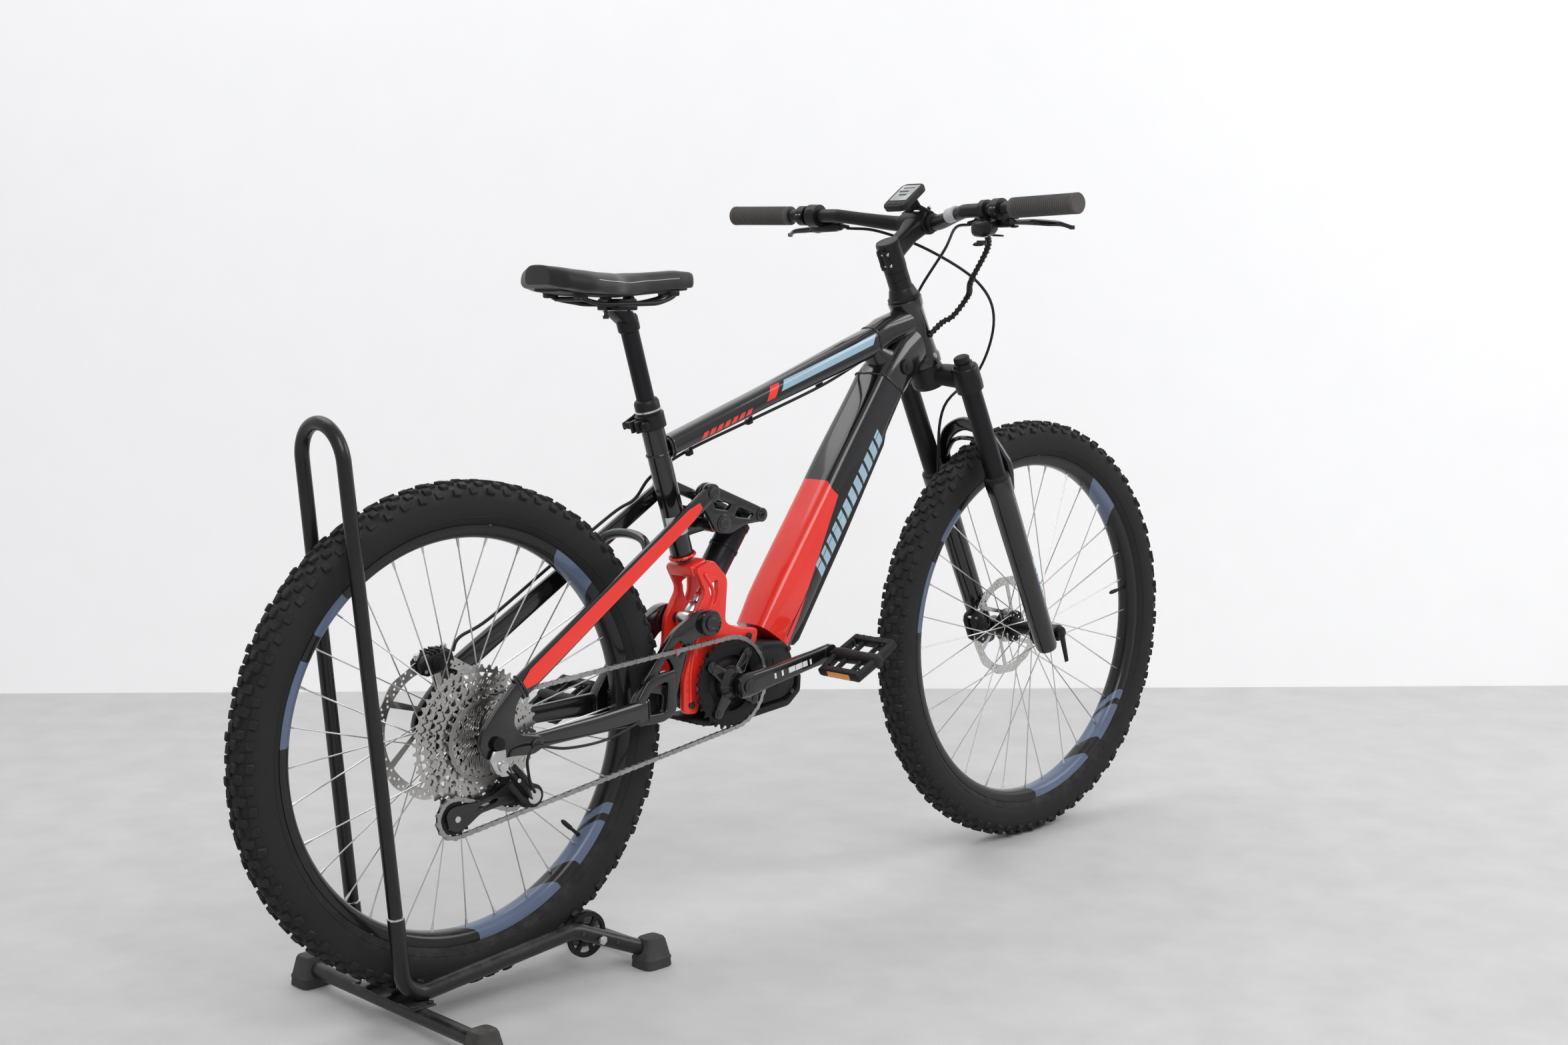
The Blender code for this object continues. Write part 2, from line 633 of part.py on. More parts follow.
def down_tube():
    length = (DOWN_TOP - DOWN_FOOT).length
    shell = beam(DOWN_FOOT, DOWN_TOP, (DOWN_TUBE_WIDTH, DOWN_DEPTH[0]),
                 (DOWN_TUBE_WIDTH * 0.95, DOWN_DEPTH[1]), 0.018, 3)
    pocket_length = min(BATTERY_LENGTH, length - 0.03)
    width, depth = BATTERY_SIZE
    reach = down_square() * 0.03
    pocket = beam(battery_centre(-0.02) + reach, battery_centre(pocket_length + 0.002) + reach,
                  (width + 0.0016, depth + 0.0616), (width + 0.0016, depth + 0.0616))
    finish("down_tube", cut(shell, [pocket]), RED)
    end = pocket_length
    pack = beam(battery_centre(0.004), battery_centre(end), (width, depth), (width, depth - 0.008),
                0.004, 1)
    lid = beam(battery_centre(0.004) + down_square() * 0.018,
               battery_centre(end) + down_square() * 0.014,
               (width - 0.004, 0.030), (width - 0.008, 0.026), 0.012, 3)
    finish("battery", join([pack, lid]), SATIN, battery_hinge())


def battery_hinge():
    return battery_centre(0.006) + down_square() * 0.024


def seat_tube():
    foot = on_seat_tube(SEAT_TUBE_FOOT)
    tube_body = rod(foot, on_seat_tube(-0.012), SEAT_TUBE_RADIUS, sides=16)
    lug = on_seat_tube(-0.1540)
    bracket = beam(Vector((lug.x, 0, ROCKER_PIVOT[1])), at(ROCKER_PIVOT), (0.030, 0.050),
                   (0.030, 0.026))
    boss = pin(ROCKER_PIVOT, -ROCKER_Y[0] + 2 * GAP, ROCKER_Y[0] - 2 * GAP, 0.0145)
    hole = pin(ROCKER_PIVOT, -0.06, 0.06, PIN_RADIUS + RUNNING)
    bore = rod(on_seat_tube(-0.165), on_seat_tube(0.02), POST_RADIUS + RUNNING, sides=16)
    finish("seat_tube", cut(join([tube_body, bracket, boss]), [hole, bore]), BLACK)


CHEEK = [(-0.056, 0.178), (-0.021, 0.190), (0.009, 0.158), (0.003, 0.090), (0.028, 0.080),
         (0.072, 0.074), (0.066, 0.048), (-0.006, 0.053), (-0.040, 0.030), (-0.049, -0.006),
         (-0.054, -0.042), (-0.083, -0.038), (-0.082, 0.013), (-0.066, 0.055), (-0.063, 0.098),
         (-0.036, 0.140)]
MOTOR = [(-0.046, 0.022), (-0.030, 0.044), (0.000, 0.050), (0.062, 0.044), (0.080, 0.052),
         (0.128, 0.047), (0.142, 0.022), (0.149, -0.008), (0.146, -0.030), (0.124, -0.044),
         (0.050, -0.050), (-0.030, -0.050), (-0.046, -0.034)]
GUARD = [(0.151, -0.002), (0.158, -0.010), (0.156, -0.036), (0.130, -0.056), (0.054, -0.063),
         (-0.034, -0.063), (-0.060, -0.057), (-0.056, -0.052), (-0.030, -0.0525),
         (0.050, -0.0525), (0.1255, -0.0465), (0.1485, -0.031)]
MOTOR_HALF = 0.0400
SPINDLE_RADIUS = 0.0110


def motor_cradle():
    y0, y1 = CHEEK_Y
    outline = offset_points(CRANK_AXLE, CHEEK)
    cheeks = [plate(outline, side * y0, side * y1, 0.008) for side in (-1, 1)]
    top = block(at(add(CRANK_AXLE, -0.0400, 0.1770)), (0.034, 2 * y0 + 0.004, 0.020), radians(20))
    web = block(at(add(CRANK_AXLE, 0.0480, 0.0640)), (0.040, 2 * y0 + 0.004, 0.014))
    hole = pin(MAIN_PIVOT, -0.07, 0.07, PIN_RADIUS + RUNNING)
    seat_room = rod(on_seat_tube(SEAT_TUBE_FOOT - GAP), on_seat_tube(SEAT_TUBE_FOOT + 0.1),
                    SEAT_TUBE_RADIUS + 0.002)
    motor_room = plate(offset_points(CRANK_AXLE, grown(MOTOR, 0.0006)), -0.06, 0.06)
    tube_room = beam(DOWN_FOOT - down_way() * GAP, DOWN_FOOT + down_way() * 0.2,
                     (DOWN_TUBE_WIDTH + 0.01, DOWN_DEPTH[0] + 2 * GAP),
                     (DOWN_TUBE_WIDTH + 0.01, DOWN_DEPTH[0] + 2 * GAP))
    finish("motor_cradle", cut(join(cheeks + [top, web]), [hole, seat_room, motor_room, tube_room]),
           RED)


def grown(outline, by):
    # the outline moved outwards about its middle by a small distance
    cx = sum(p[0] for p in outline) / len(outline)
    cz = sum(p[1] for p in outline) / len(outline)
    moved = []
    for x, z in outline:
        away = hypot(x - cx, z - cz)
        moved.append((x + (x - cx) * by / away * 2, z + (z - cz) * by / away * 2))
    return moved


def motor():
    case = plate(offset_points(CRANK_AXLE, MOTOR), -MOTOR_HALF, MOTOR_HALF, 0.008)
    collar = pin(CRANK_AXLE, -CHAINLINE + 0.006, 0.048, 0.024, 32)
    bore = pin(CRANK_AXLE, -0.1, 0.1, SPINDLE_RADIUS + RUNNING)
    tube_room = beam(DOWN_FOOT - down_way() * GAP, DOWN_FOOT + down_way() * 0.2,
                     (0.2, DOWN_DEPTH[0] + 0.002), (0.2, DOWN_DEPTH[0] + 0.002))
    finish("motor", cut(join([case, collar]), [bore, tube_room]), SATIN)
    guard = plate(offset_points(CRANK_AXLE, GUARD), -MOTOR_HALF - 0.002, MOTOR_HALF + 0.002)
    finish("motor_guard", guard, PLASTIC)


# ---- rear suspension ----
YOKE_INNER_RIGHT = 0.0468     # the drive-side arm stays inboard of the chain's upper run
YOKE_LOW = [(-0.112, 0.038), (-0.165, 0.030), (-0.190, -0.002), (-0.190, -0.038),
            (-0.135, -0.038), (-0.112, -0.026)]
YOKE = [(-0.041, 0.118), (-0.062, 0.116), (-0.110, 0.092), (-0.165, 0.030), (-0.190, -0.002),
        (-0.190, -0.038), (-0.135, -0.038), (-0.112, -0.026), (-0.100, 0.012), (-0.086, 0.055),
        (-0.062, 0.078), (-0.036, 0.076), (-0.022, 0.090), (-0.022, 0.106)]
DROPOUT = [(-0.022, 0.020), (-0.027, 0.000), (-0.018, -0.020), (0.006, -0.022), (0.030, -0.022),
           (0.062, -0.025), (0.079, -0.018), (0.079, -0.002), (0.040, 0.006), (0.030, 0.022),
           (0.034, 0.046), (0.060, 0.084), (0.036, 0.080), (0.000, 0.046)]
DROPOUT_Y = (REAR_HUB_WIDTH / 2 + GAP, REAR_HUB_WIDTH / 2 + 0.0095)
STAY_END_Y = REAR_HUB_WIDTH / 2 - 0.0048
ROCKER = [(-0.057, 0.300), (-0.040, 0.309), (-0.026, 0.302), (0.060, 0.266), (0.082, 0.256),
          (0.080, 0.240), (0.036, 0.238), (0.004, 0.226), (-0.022, 0.230), (-0.040, 0.260),
          (-0.058, 0.284)]
SEATSTAY_Y = 0.0560


def chainstays():
    pieces = []
    for side in (-1, 1):
        outer = YOKE_Y[1] if side > 0 else YOKE_INNER_RIGHT
        pieces.append(plate(offset_points(CRANK_AXLE, YOKE), side * YOKE_Y[0], side * outer,
                            0.010))
        front = at(add(CRANK_AXLE, -0.170, -0.018), side * (YOKE_Y[0] + 0.0100))
        back = at(DROPOUT_PIVOT, side * STAY_END_Y)
        pieces.append(beam(back, front, (0.0085, 0.022), (0.0150, 0.036), 0.003, 1))
        pieces.append(pin(DROPOUT_PIVOT, side * (STAY_END_Y - 0.00425), side * (STAY_END_Y + 0.00425),
                          0.0130))
    pieces.append(plate(offset_points(CRANK_AXLE, YOKE_LOW), -YOKE_Y[0] - 0.003, -YOKE_Y[1], 0.010))
    pieces.append(pin(MAIN_PIVOT, -YOKE_Y[0] - 0.003, -YOKE_Y[1], 0.0200))
    pieces.append(block(at(add(CRANK_AXLE, -0.0880, 0.0880)), (0.020, 2 * YOKE_Y[0] + 0.004, 0.032)))
    pieces.append(pin(MAIN_PIVOT, -YOKE_Y[1] - 0.003, YOKE_Y[1] + 0.003, PIN_RADIUS))
    holes = [pin(DROPOUT_PIVOT, side * 0.05, side * 0.10, 0.0050 + 2 * RUNNING, 14)
             for side in (-1, 1)]
    finish("chainstays", cut(join(pieces), holes), BLACK, at(MAIN_PIVOT))


def seatstays():
    pieces = []
    for side in (-1, 1):
        pieces.append(plate(offset_points(REAR_AXLE, DROPOUT), side * DROPOUT_Y[0],
                            side * DROPOUT_Y[1], 0.005))
        low = at(add(REAR_AXLE, 0.040, 0.068), side * (DROPOUT_Y[0] + 0.0050))
        high = at(STAY_PIVOT, side * SEATSTAY_Y)
        pieces.append(beam(low, high, (0.0095, 0.034), (0.0120, 0.026), 0.003, 1))
        pieces.append(pin(STAY_PIVOT, side * (SEATSTAY_Y - 0.006), side * (SEATSTAY_Y + 0.006),
                          0.0140))
        pieces.append(pin(STAY_PIVOT, side * (ROCKER_Y[0] + 0.002), side * (SEATSTAY_Y - 0.004),
                          0.0045, 12))
        pieces.append(pin(DROPOUT_PIVOT, side * (STAY_END_Y - 0.0040), side * (DROPOUT_Y[1] - 0.002),
                          0.0050, 14))
    # the bridge arches over the tyre between the stays
    t = 0.66
    foot_point = at(add(REAR_AXLE, 0.040, 0.068)).lerp(at(STAY_PIVOT), t)
    reach = DROPOUT_Y[0] + 0.0050 + (SEATSTAY_Y - DROPOUT_Y[0] - 0.0050) * t
    rise = Vector((0.010, 0, 0.020))
    arch = [foot_point + Vector((0, reach, 0)), foot_point + rise + Vector((0, reach * 0.62, 0)),
            foot_point + rise * 1.3, foot_point + rise + Vector((0, -reach * 0.62, 0)),
            foot_point + Vector((0, -reach, 0))]
    pieces.append(tube(smooth(arch, 3), 0.0070, 1))
    # post mount for the rear caliper on the left dropout
    mount = at(add(REAR_AXLE, 0.022, 0.084), DROPOUT_Y[0] + 0.0050)
    pieces.append(beam(at(add(REAR_AXLE, 0.020, 0.052), DROPOUT_Y[0] + 0.0050), mount,
                       (0.009, 0.020), (0.009, 0.016)))
    hole = pin(REAR_AXLE, -0.12, 0.12, REAR_AXLE_RADIUS + 2 * GAP)
    finish("seatstays", cut(join(pieces), [hole]), BLACK, at(DROPOUT_PIVOT))
    end = DROPOUT_Y[1] + 0.003
    axle = join([pin(REAR_AXLE, -end, end, REAR_AXLE_RADIUS),
                 pin(REAR_AXLE, DROPOUT_Y[1] + GAP, end + 0.004, 0.0100)])
    finish("rear_axle", axle, SATIN)


def rocker():
    outline = offset_points(CRANK_AXLE, ROCKER)
    pieces = [plate(outline, side * ROCKER_Y[0], side * ROCKER_Y[1], 0.006) for side in (-1, 1)]
    pieces.append(pin(ROCKER_PIVOT, -ROCKER_Y[1] - 0.002, ROCKER_Y[1] + 0.002, PIN_RADIUS))
    pieces.append(pin(SHOCK_PIVOT, -ROCKER_Y[1] - 0.001, ROCKER_Y[1] + 0.001, PIN_RADIUS * 0.8))
    pieces.append(block(at(add(CRANK_AXLE, 0.0160, 0.2780)), (0.036, 2 * ROCKER_Y[0] + 0.004, 0.007),
                        radians(-22)))
    holes = [pin(STAY_PIVOT, side * 0.03, side * 0.07, 0.0108, 16) for side in (-1, 1)]
    finish("rocker", cut(join(pieces), holes), BLACK, at(ROCKER_PIVOT))


SHOCK_CAN = 0.0235
SHOCK_SHAFT = 0.0070


def shock():
    way = at(MAIN_PIVOT) - at(SHOCK_PIVOT)
    length = way.length
    way.normalize()
    top, foot_point = at(SHOCK_PIVOT), at(MAIN_PIVOT)
    eye = pin(SHOCK_PIVOT, -0.013, 0.013, 0.0130)
    can = rod(top + way * 0.014, top + way * 0.110, SHOCK_CAN, sides=16)
    neck = rod(top + way * 0.004, top + way * 0.020, 0.0105)
    bore = rod(top + way * 0.030, top + way * 0.120, SHOCK_SHAFT + 0.0035)
    hole = pin(SHOCK_PIVOT, -0.05, 0.05, PIN_RADIUS * 0.8 + RUNNING)
    finish("shock_body", cut(join([eye, neck, can]), [hole, bore]), SATIN, top)
    low_eye = pin(MAIN_PIVOT, -0.013, 0.013, 0.0140)
    shaft = rod(top + way * (length - 0.095), foot_point - way * 0.004, SHOCK_SHAFT)
    collar = rod(foot_point - way * 0.026, foot_point - way * 0.008, 0.0120)
    hole = pin(MAIN_PIVOT, -0.05, 0.05, PIN_RADIUS + RUNNING)
    finish("shock_shaft", cut(join([low_eye, shaft, collar]), [hole]), SATIN, foot_point)


# ---- drivetrain ----
CRANK_ANGLE = radians(10.1)
CRANK_Y = 0.0830
PEDAL_Y = (0.1080, 0.2020)
PEDAL_LENGTH = 0.096
PEDAL_TILT = radians(28)


def pedal_axis(side):
    turn = CRANK_ANGLE if side < 0 else CRANK_ANGLE + pi
    return add(CRANK_AXLE, CRANK_LENGTH * cos(turn), CRANK_LENGTH * sin(turn))


def cranks():
    pieces = [pin(CRANK_AXLE, -CRANK_Y, CRANK_Y, SPINDLE_RADIUS)]
    for side in (-1, 1):
        tip = pedal_axis(side)
        root = at(CRANK_AXLE, side * CRANK_Y)
        pieces.append(beam(root, at(tip, side * (CRANK_Y + 0.010)), (0.017, 0.034),
                           (0.013, 0.026), 0.004, 1))
        pieces.append(pin(CRANK_AXLE, side * (CRANK_Y - 0.012), side * (CRANK_Y + 0.011), 0.0180))
        pieces.append(pin(tip, side * (CRANK_Y + 0.003), side * (CRANK_Y + 0.017), 0.0145))
        pieces.append(pin(tip, side * (CRANK_Y + 0.010), side * (PEDAL_Y[1] - 0.020), 0.0045, 12))
    finish("cranks", join(pieces), BLACK, at(CRANK_AXLE))
    profile = [(CHAINRING_RADIUS, 0.0012), (CHAINRING_RADIUS, -0.0012), (0.030, -0.0012),
               (0.030, -0.0040), (SPINDLE_RADIUS + GAP, -0.0040), (SPINDLE_RADIUS + GAP, 0.0012)]
    ring = turned(profile, CRANK_AXLE, 32, -CHAINLINE)
    finish("chainring", ring, BLACK, at(CRANK_AXLE))


def pedal(name, side):
    tip = pedal_axis(side)
    y0, y1 = PEDAL_Y
    middle = side * (y0 + y1) / 2
    span = y1 - y0
    half = PEDAL_LENGTH / 2
    thick = 0.016
    ahead = Vector((cos(PEDAL_TILT), 0, sin(PEDAL_TILT)))
    centre = at(tip, middle)
    pieces = [pin(tip, side * y0, side * y1, 0.0125, 12)]
    for end in (-1, 1):
        pieces.append(block(centre + ahead * end * (half - 0.007), (0.014, span - 0.012, thick),
                            PEDAL_TILT, 0.002))
        edge = Vector((0, end * (span / 2 - 0.008), 0))
        pieces.append(block(centre + edge, (PEDAL_LENGTH - 0.010, 0.013, thick - 0.002), PEDAL_TILT))
    bore = pin(tip, side * (y0 - 0.02), side * (y1 - 0.016), 0.0045 + RUNNING, 12)
    finish(name, cut(join(pieces), [bore]), PLASTIC, at(tip))


def chain_outline(grow):
    # tangent runs around the chainring, the cog and both pulleys; the loop bends backwards
    # over the guide pulley, so its outer side is the one next to that pulley
    back_bend = CHAIN_HEIGHT + 2 * CHAIN_ROOM - grow
    circles = [(CRANK_AXLE, CHAINRING_RADIUS + grow, 1), (REAR_AXLE, COG_RADIUS + grow, 1),
               (GUIDE_PULLEY, PULLEY_RADIUS + back_bend, -1),
               (TENSION_PULLEY, PULLEY_RADIUS + grow, 1)]
    points = []
    count = len(circles)
    for i, (here, radius, turn) in enumerate(circles):
        before, after = circles[i - 1], circles[(i + 1) % count]
        first = tangent(before, circles[i])[1]
        last = tangent(circles[i], after)[0]
        start = atan2(first[1] - here[1], first[0] - here[0])
        stop = atan2(last[1] - here[1], last[0] - here[0])
        sweep = (stop - start) % (2 * pi) if turn > 0 else -((start - stop) % (2 * pi))
        steps = max(3, int(abs(sweep) / 0.28))
        for k in range(steps + 1):
            angle = start + sweep * k / steps
            points.append((here[0] + radius * cos(angle), here[1] + radius * sin(angle)))
    return points


def tangent(first, second):
    # where the run from one wheel to the next leaves and lands; both turn as the chain goes round
    (p, rp, tp), (q, rq, tq) = first, second
    gap_x, gap_z = q[0] - p[0], q[1] - p[1]
    distance = hypot(gap_x, gap_z)
    way = atan2(gap_z, gap_x)
    lean = arc_cosine((rp * tp - rq * tq) / distance)
    angle = way - lean
    leave = (p[0] + rp * tp * cos(angle), p[1] + rp * tp * sin(angle))
    land = (q[0] + rq * tq * cos(angle), q[1] + rq * tq * sin(angle))
    return leave, land


def arc_cosine(value):
    return atan2(sqrt(max(0.0, 1 - value * value)), value)


def chain():
    outer = plate(chain_outline(CHAIN_HEIGHT + CHAIN_ROOM), -CHAINLINE - CHAIN_WIDTH / 2,
                  -CHAINLINE + CHAIN_WIDTH / 2)
    inner = plate(chain_outline(CHAIN_ROOM), -CHAINLINE - CHAIN_WIDTH, -CHAINLINE + CHAIN_WIDTH)
    finish("chain", cut(outer, [inner]), STEEL)


def pulley(name, point):
    profile = [(PULLEY_RADIUS, 0.0016), (PULLEY_RADIUS, -0.0016), (0.0060, -0.0038),
               (0.0025, -0.0038), (0.0025, 0.0038), (0.0060, 0.0038)]
    finish(name, turned(profile, point, 20, -CHAINLINE), PLASTIC, at(point, -CHAINLINE))


def derailleur():
    hanger = add(REAR_AXLE, 0.000, -0.029)
    outer_y = -DROPOUT_Y[1] - GAP
    pieces = [pin(hanger, outer_y, outer_y - 0.016, 0.0120),
              beam(at(hanger, outer_y - 0.010), at(add(REAR_AXLE, 0.028, -0.060), -0.088),
                   (0.018, 0.030), (0.022, 0.034), 0.004, 1),
              beam(at(add(REAR_AXLE, 0.022, -0.056), -0.090), at(CAGE_PIVOT, -0.072),
                   (0.020, 0.034), (0.018, 0.030), 0.004, 1),
              pin(CAGE_PIVOT, -0.060, -0.084, 0.0165, 24)]
    finish("derailleur", join(pieces), PLASTIC)


def derailleur_cage():
    plates = []
    for y in (-CHAINLINE - 0.0055, -CHAINLINE + 0.0055):
        plates.append(beam(at(GUIDE_PULLEY, y), at(TENSION_PULLEY, y), (0.0018, 0.020),
                           (0.0018, 0.026)))
        plates.append(pin(TENSION_PULLEY, y - 0.0009, y + 0.0009, 0.0215, 20))
        plates.append(pin(GUIDE_PULLEY, y - 0.0009, y + 0.0009, 0.0150, 20))
    for point in (GUIDE_PULLEY, TENSION_PULLEY):
        plates.append(pin(point, -CHAINLINE - 0.0062, -CHAINLINE + 0.0062, 0.0021, 10))
    plates.append(pin(CAGE_PIVOT, -0.0597, -CHAINLINE - 0.0050, 0.0120, 20))
    finish("derailleur_cage", join(plates), PLASTIC, at(CAGE_PIVOT, -CHAINLINE))


# ---- brakes ----
def caliper(name, axle, centre, y, pitch):
    body = block(at(centre, y), (0.056, 0.030, 0.034), pitch, 0.004)
    reach = hypot(centre[0] - axle[0], centre[1] - axle[1])
    slot = turned([(reach + 0.011, 0.0016), (reach + 0.011, -0.0016), (reach - 0.05, -0.0016),
                   (reach - 0.05, 0.0016)], axle, 40, y)
    finish(name, cut(body, [slot]), BLACK)


def calipers():
    caliper("rear_caliper", REAR_AXLE, add(REAR_AXLE, -0.004, REAR_ROTOR_RADIUS - 0.007),
            ROTOR_Y["rear"], radians(12))
    behind_leg = on_steerer(0.043, -0.0235)
    caliper("front_caliper", FRONT_AXLE, (behind_leg.x, behind_leg.z), ROTOR_Y["front"],
            -HEAD_ANGLE)


# ---- fork ----
CROWN_TOP = FORK_LENGTH - 2 * GAP
LEG_AHEAD = 0.0165
LEG_TOP = 0.3290
LEG_FOOT = -0.0140
STANCHION_FOOT = 0.2150


def fork_crown():
    pieces = [rod(on_steerer(CROWN_TOP - 0.03, 0), on_steerer(STEM_HEIGHT + 0.018, 0),
                  STEERER_RADIUS, sides=16),
              rod(on_steerer(CROWN_TOP - 0.045), on_steerer(CROWN_TOP - 0.0005), 0.0300,
                  HEAD_TUBE_RADIUS, sides=16),
              block(on_steerer(CROWN_TOP - 0.0300, 0.0100), (0.038, 2 * LEG_SPREAD, 0.033),
                    pi / 2 - HEAD_ANGLE, 0.006)]
    for side in (-1, 1):
        y = side * LEG_SPREAD
        pieces.append(rod(on_steerer(CROWN_TOP - 0.055, LEG_AHEAD, y),
                          on_steerer(CROWN_TOP - 0.010, LEG_AHEAD, y), 0.0235, sides=16))
        pieces.append(rod(on_steerer(STANCHION_FOOT - 0.055, LEG_AHEAD, y),
                          on_steerer(CROWN_TOP - 0.020, LEG_AHEAD, y), STANCHION_RADIUS,
                          sides=16))
    finish("fork_crown", join(pieces), BLACK, on_steerer(FORK_LENGTH))


def fork_lowers():
    pieces, bores = [], []
    for side in (-1, 1):
        y = side * LEG_SPREAD
        pieces.append(rod(on_steerer(LEG_FOOT, LEG_AHEAD, y), on_steerer(LEG_TOP, LEG_AHEAD, y),
                          LEG_RADIUS * 0.86, LEG_RADIUS, sides=16))
        inner = side * (FRONT_HUB_WIDTH / 2 + GAP)
        pieces.append(beam(on_steerer(0.0, FORK_OFFSET, side * (LEG_SPREAD - 0.004)),
                           on_steerer(0.010, LEG_AHEAD, side * (LEG_SPREAD - 0.002)),
                           (0.020, 0.026), (0.024, 0.034), 0.004, 1))
        pieces.append(rod(on_steerer(0.0, FORK_OFFSET, inner),
                          on_steerer(0.0, FORK_OFFSET, side * (LEG_SPREAD + 0.006)), 0.0150))
        bores.append(rod(on_steerer(STANCHION_FOOT - 0.055 - FORK_TRAVEL - 0.010, LEG_AHEAD, y),
                         on_steerer(LEG_TOP + 0.06, LEG_AHEAD, y), STANCHION_RADIUS + RUNNING,
                         sides=16))
    arch_ahead = LEG_AHEAD + 0.0320
    arch = [on_steerer(LEG_TOP - 0.024, LEG_AHEAD + 0.019, -LEG_SPREAD),
            on_steerer(LEG_TOP + 0.030, arch_ahead, -LEG_SPREAD + 0.004),
            on_steerer(LEG_TOP + 0.070, arch_ahead + 0.003, -LEG_SPREAD + 0.026),
            on_steerer(LEG_TOP + 0.084, arch_ahead + 0.004, 0),
            on_steerer(LEG_TOP + 0.070, arch_ahead + 0.003, LEG_SPREAD - 0.026),
            on_steerer(LEG_TOP + 0.030, arch_ahead, LEG_SPREAD - 0.004),
            on_steerer(LEG_TOP - 0.024, LEG_AHEAD + 0.019, LEG_SPREAD)]
    pieces.append(tube(smooth(arch, 3), 0.0105, 2))
    axle_hole = pin(FRONT_AXLE, -0.12, 0.12, FRONT_AXLE_RADIUS + RUNNING)
    finish("fork_lowers", cut(join(pieces), bores + [axle_hole]), BLACK, at(FRONT_AXLE))
    end = LEG_SPREAD + 0.0095
    axle = join([pin(FRONT_AXLE, -end, end, FRONT_AXLE_RADIUS),
                 pin(FRONT_AXLE, -LEG_SPREAD - 0.0085, -LEG_SPREAD - 0.0125, 0.0110)])
    finish("front_axle", axle, SATIN)


# ---- cockpit ----
BAR_CLAMP = on_steerer(STEM_HEIGHT) + Vector((BAR_REACH * cos(radians(37)), 0,
                                              BAR_REACH * sin(radians(37))))
BAR_END = BAR_CLAMP + Vector((-BAR_SWEEP - 0.0060, 0, BAR_RISE + 0.0020))
GRIP_START = BAR_WIDTH / 2 - GRIP_LENGTH


def bar_point(y):
    # the straight outer part of the bar, where the grips and controls sit
    t = (abs(y) - GRIP_START) / GRIP_LENGTH
    base = Vector((BAR_END.x + 0.0080, 0, BAR_END.z - 0.0030))
    point = base.lerp(Vector((BAR_END.x, 0, BAR_END.z)), t)
    return Vector((point.x, y, point.z))


def bar_along():
    return (bar_point(1.0) - bar_point(0.5)).normalized()


def handlebar():
    path = []
    half = [BAR_CLAMP, BAR_CLAMP + Vector((0, 0.030, 0)), BAR_CLAMP + Vector((-0.006, 0.055, 0.001)),
            bar_point(0.130) + Vector((0.004, 0, -0.0015)), bar_point(0.145), bar_point(0.165),
            bar_point(0.230), bar_point(BAR_WIDTH / 2)]
    left = smooth(half, 3)
    path = [Vector((p.x, -p.y, p.z)) for p in reversed(left)][:-1] + left
    finish("handlebar", tube(path, BAR_RADIUS, 2), SATIN)


def stem():
    low, high = HEAD_TOP + 2 * GAP, STEM_HEIGHT + 0.020
    pieces = [rod(on_steerer(low), on_steerer(low + 0.020), 0.0255, 0.0205, sides=16),
              rod(on_steerer(low + 0.018), on_steerer(high), 0.0195, sides=16),
              beam(on_steerer(STEM_HEIGHT), BAR_CLAMP, (0.034, 0.036), (0.036, 0.034), 0.006, 2),
              pin((BAR_CLAMP.x, BAR_CLAMP.z), -0.026, 0.026, 0.0195, 28)]
    bore = rod(on_steerer(low - 0.01), on_steerer(STEM_HEIGHT + 0.0185), STEERER_RADIUS + GAP,
               sides=16)
    bar_room = pin((BAR_CLAMP.x, BAR_CLAMP.z), -0.0265, 0.0265, BAR_RADIUS + 0.0016, 28)
    finish("stem", cut(join(pieces), [bore, bar_room]), SATIN)


def grip(name, side):
    start, end = side * GRIP_START, side * (BAR_WIDTH / 2 + 0.003)
    sleeve = rod(bar_point(start), bar_point(end), GRIP_RADIUS, sides=16)
    bore = rod(bar_point(start - side * 0.01), bar_point(side * (BAR_WIDTH / 2 + 0.0005)),
               BAR_RADIUS + GAP, sides=16)
    finish(name, cut(sleeve, [bore]), GRIP)


def lever_pivot(side):
    return bar_point(side * (GRIP_START - 0.040)) + Vector((0.034, side * 0.012, -0.020))


def brake_mount(name, side):
    ring = bar_point(side * (GRIP_START - 0.030))
    along = bar_along() if side > 0 else Vector((bar_along().x, -bar_along().y, bar_along().z))
    pivot = lever_pivot(side)
    pieces = [rod(ring - along * 0.008, ring + along * 0.008, 0.0170, sides=16),
              beam(ring + Vector((0.010, 0, -0.006)), pivot + Vector((-0.010, -side * 0.010, 0)),
                   (0.018, 0.018), (0.018, 0.015), 0.003, 1),
              beam(pivot + Vector((-0.012, -side * 0.070, 0.002)), pivot + Vector((-0.010, 0, 0)),
                   (0.018, 0.018), (0.020, 0.017), 0.003, 1)]
    pod = ring + Vector((0.004, -side * 0.030, -0.028))
    if side < 0:
        pieces.append(rod(ring - along * 0.034, ring - along * 0.022, 0.0160, sides=16))
        pieces.append(block(pod, (0.036, 0.044, 0.030), radians(20), 0.006))
        pieces.append(beam(ring - along * 0.028 + Vector((0, 0, -0.008)), pod, (0.012, 0.014),
                           (0.016, 0.020)))
    else:
        pieces.append(rod(ring - along * 0.036, ring - along * 0.014, 0.0190, sides=16))
    bore = rod(ring - along * 0.06, ring + along * 0.03, BAR_RADIUS + GAP, sides=16)
    slot = block(pivot + Vector((0.004, side * 0.004, 0)), (0.030, 0.030, 0.0088))
    finish(name, cut(join(pieces), [bore, slot]), BLACK)


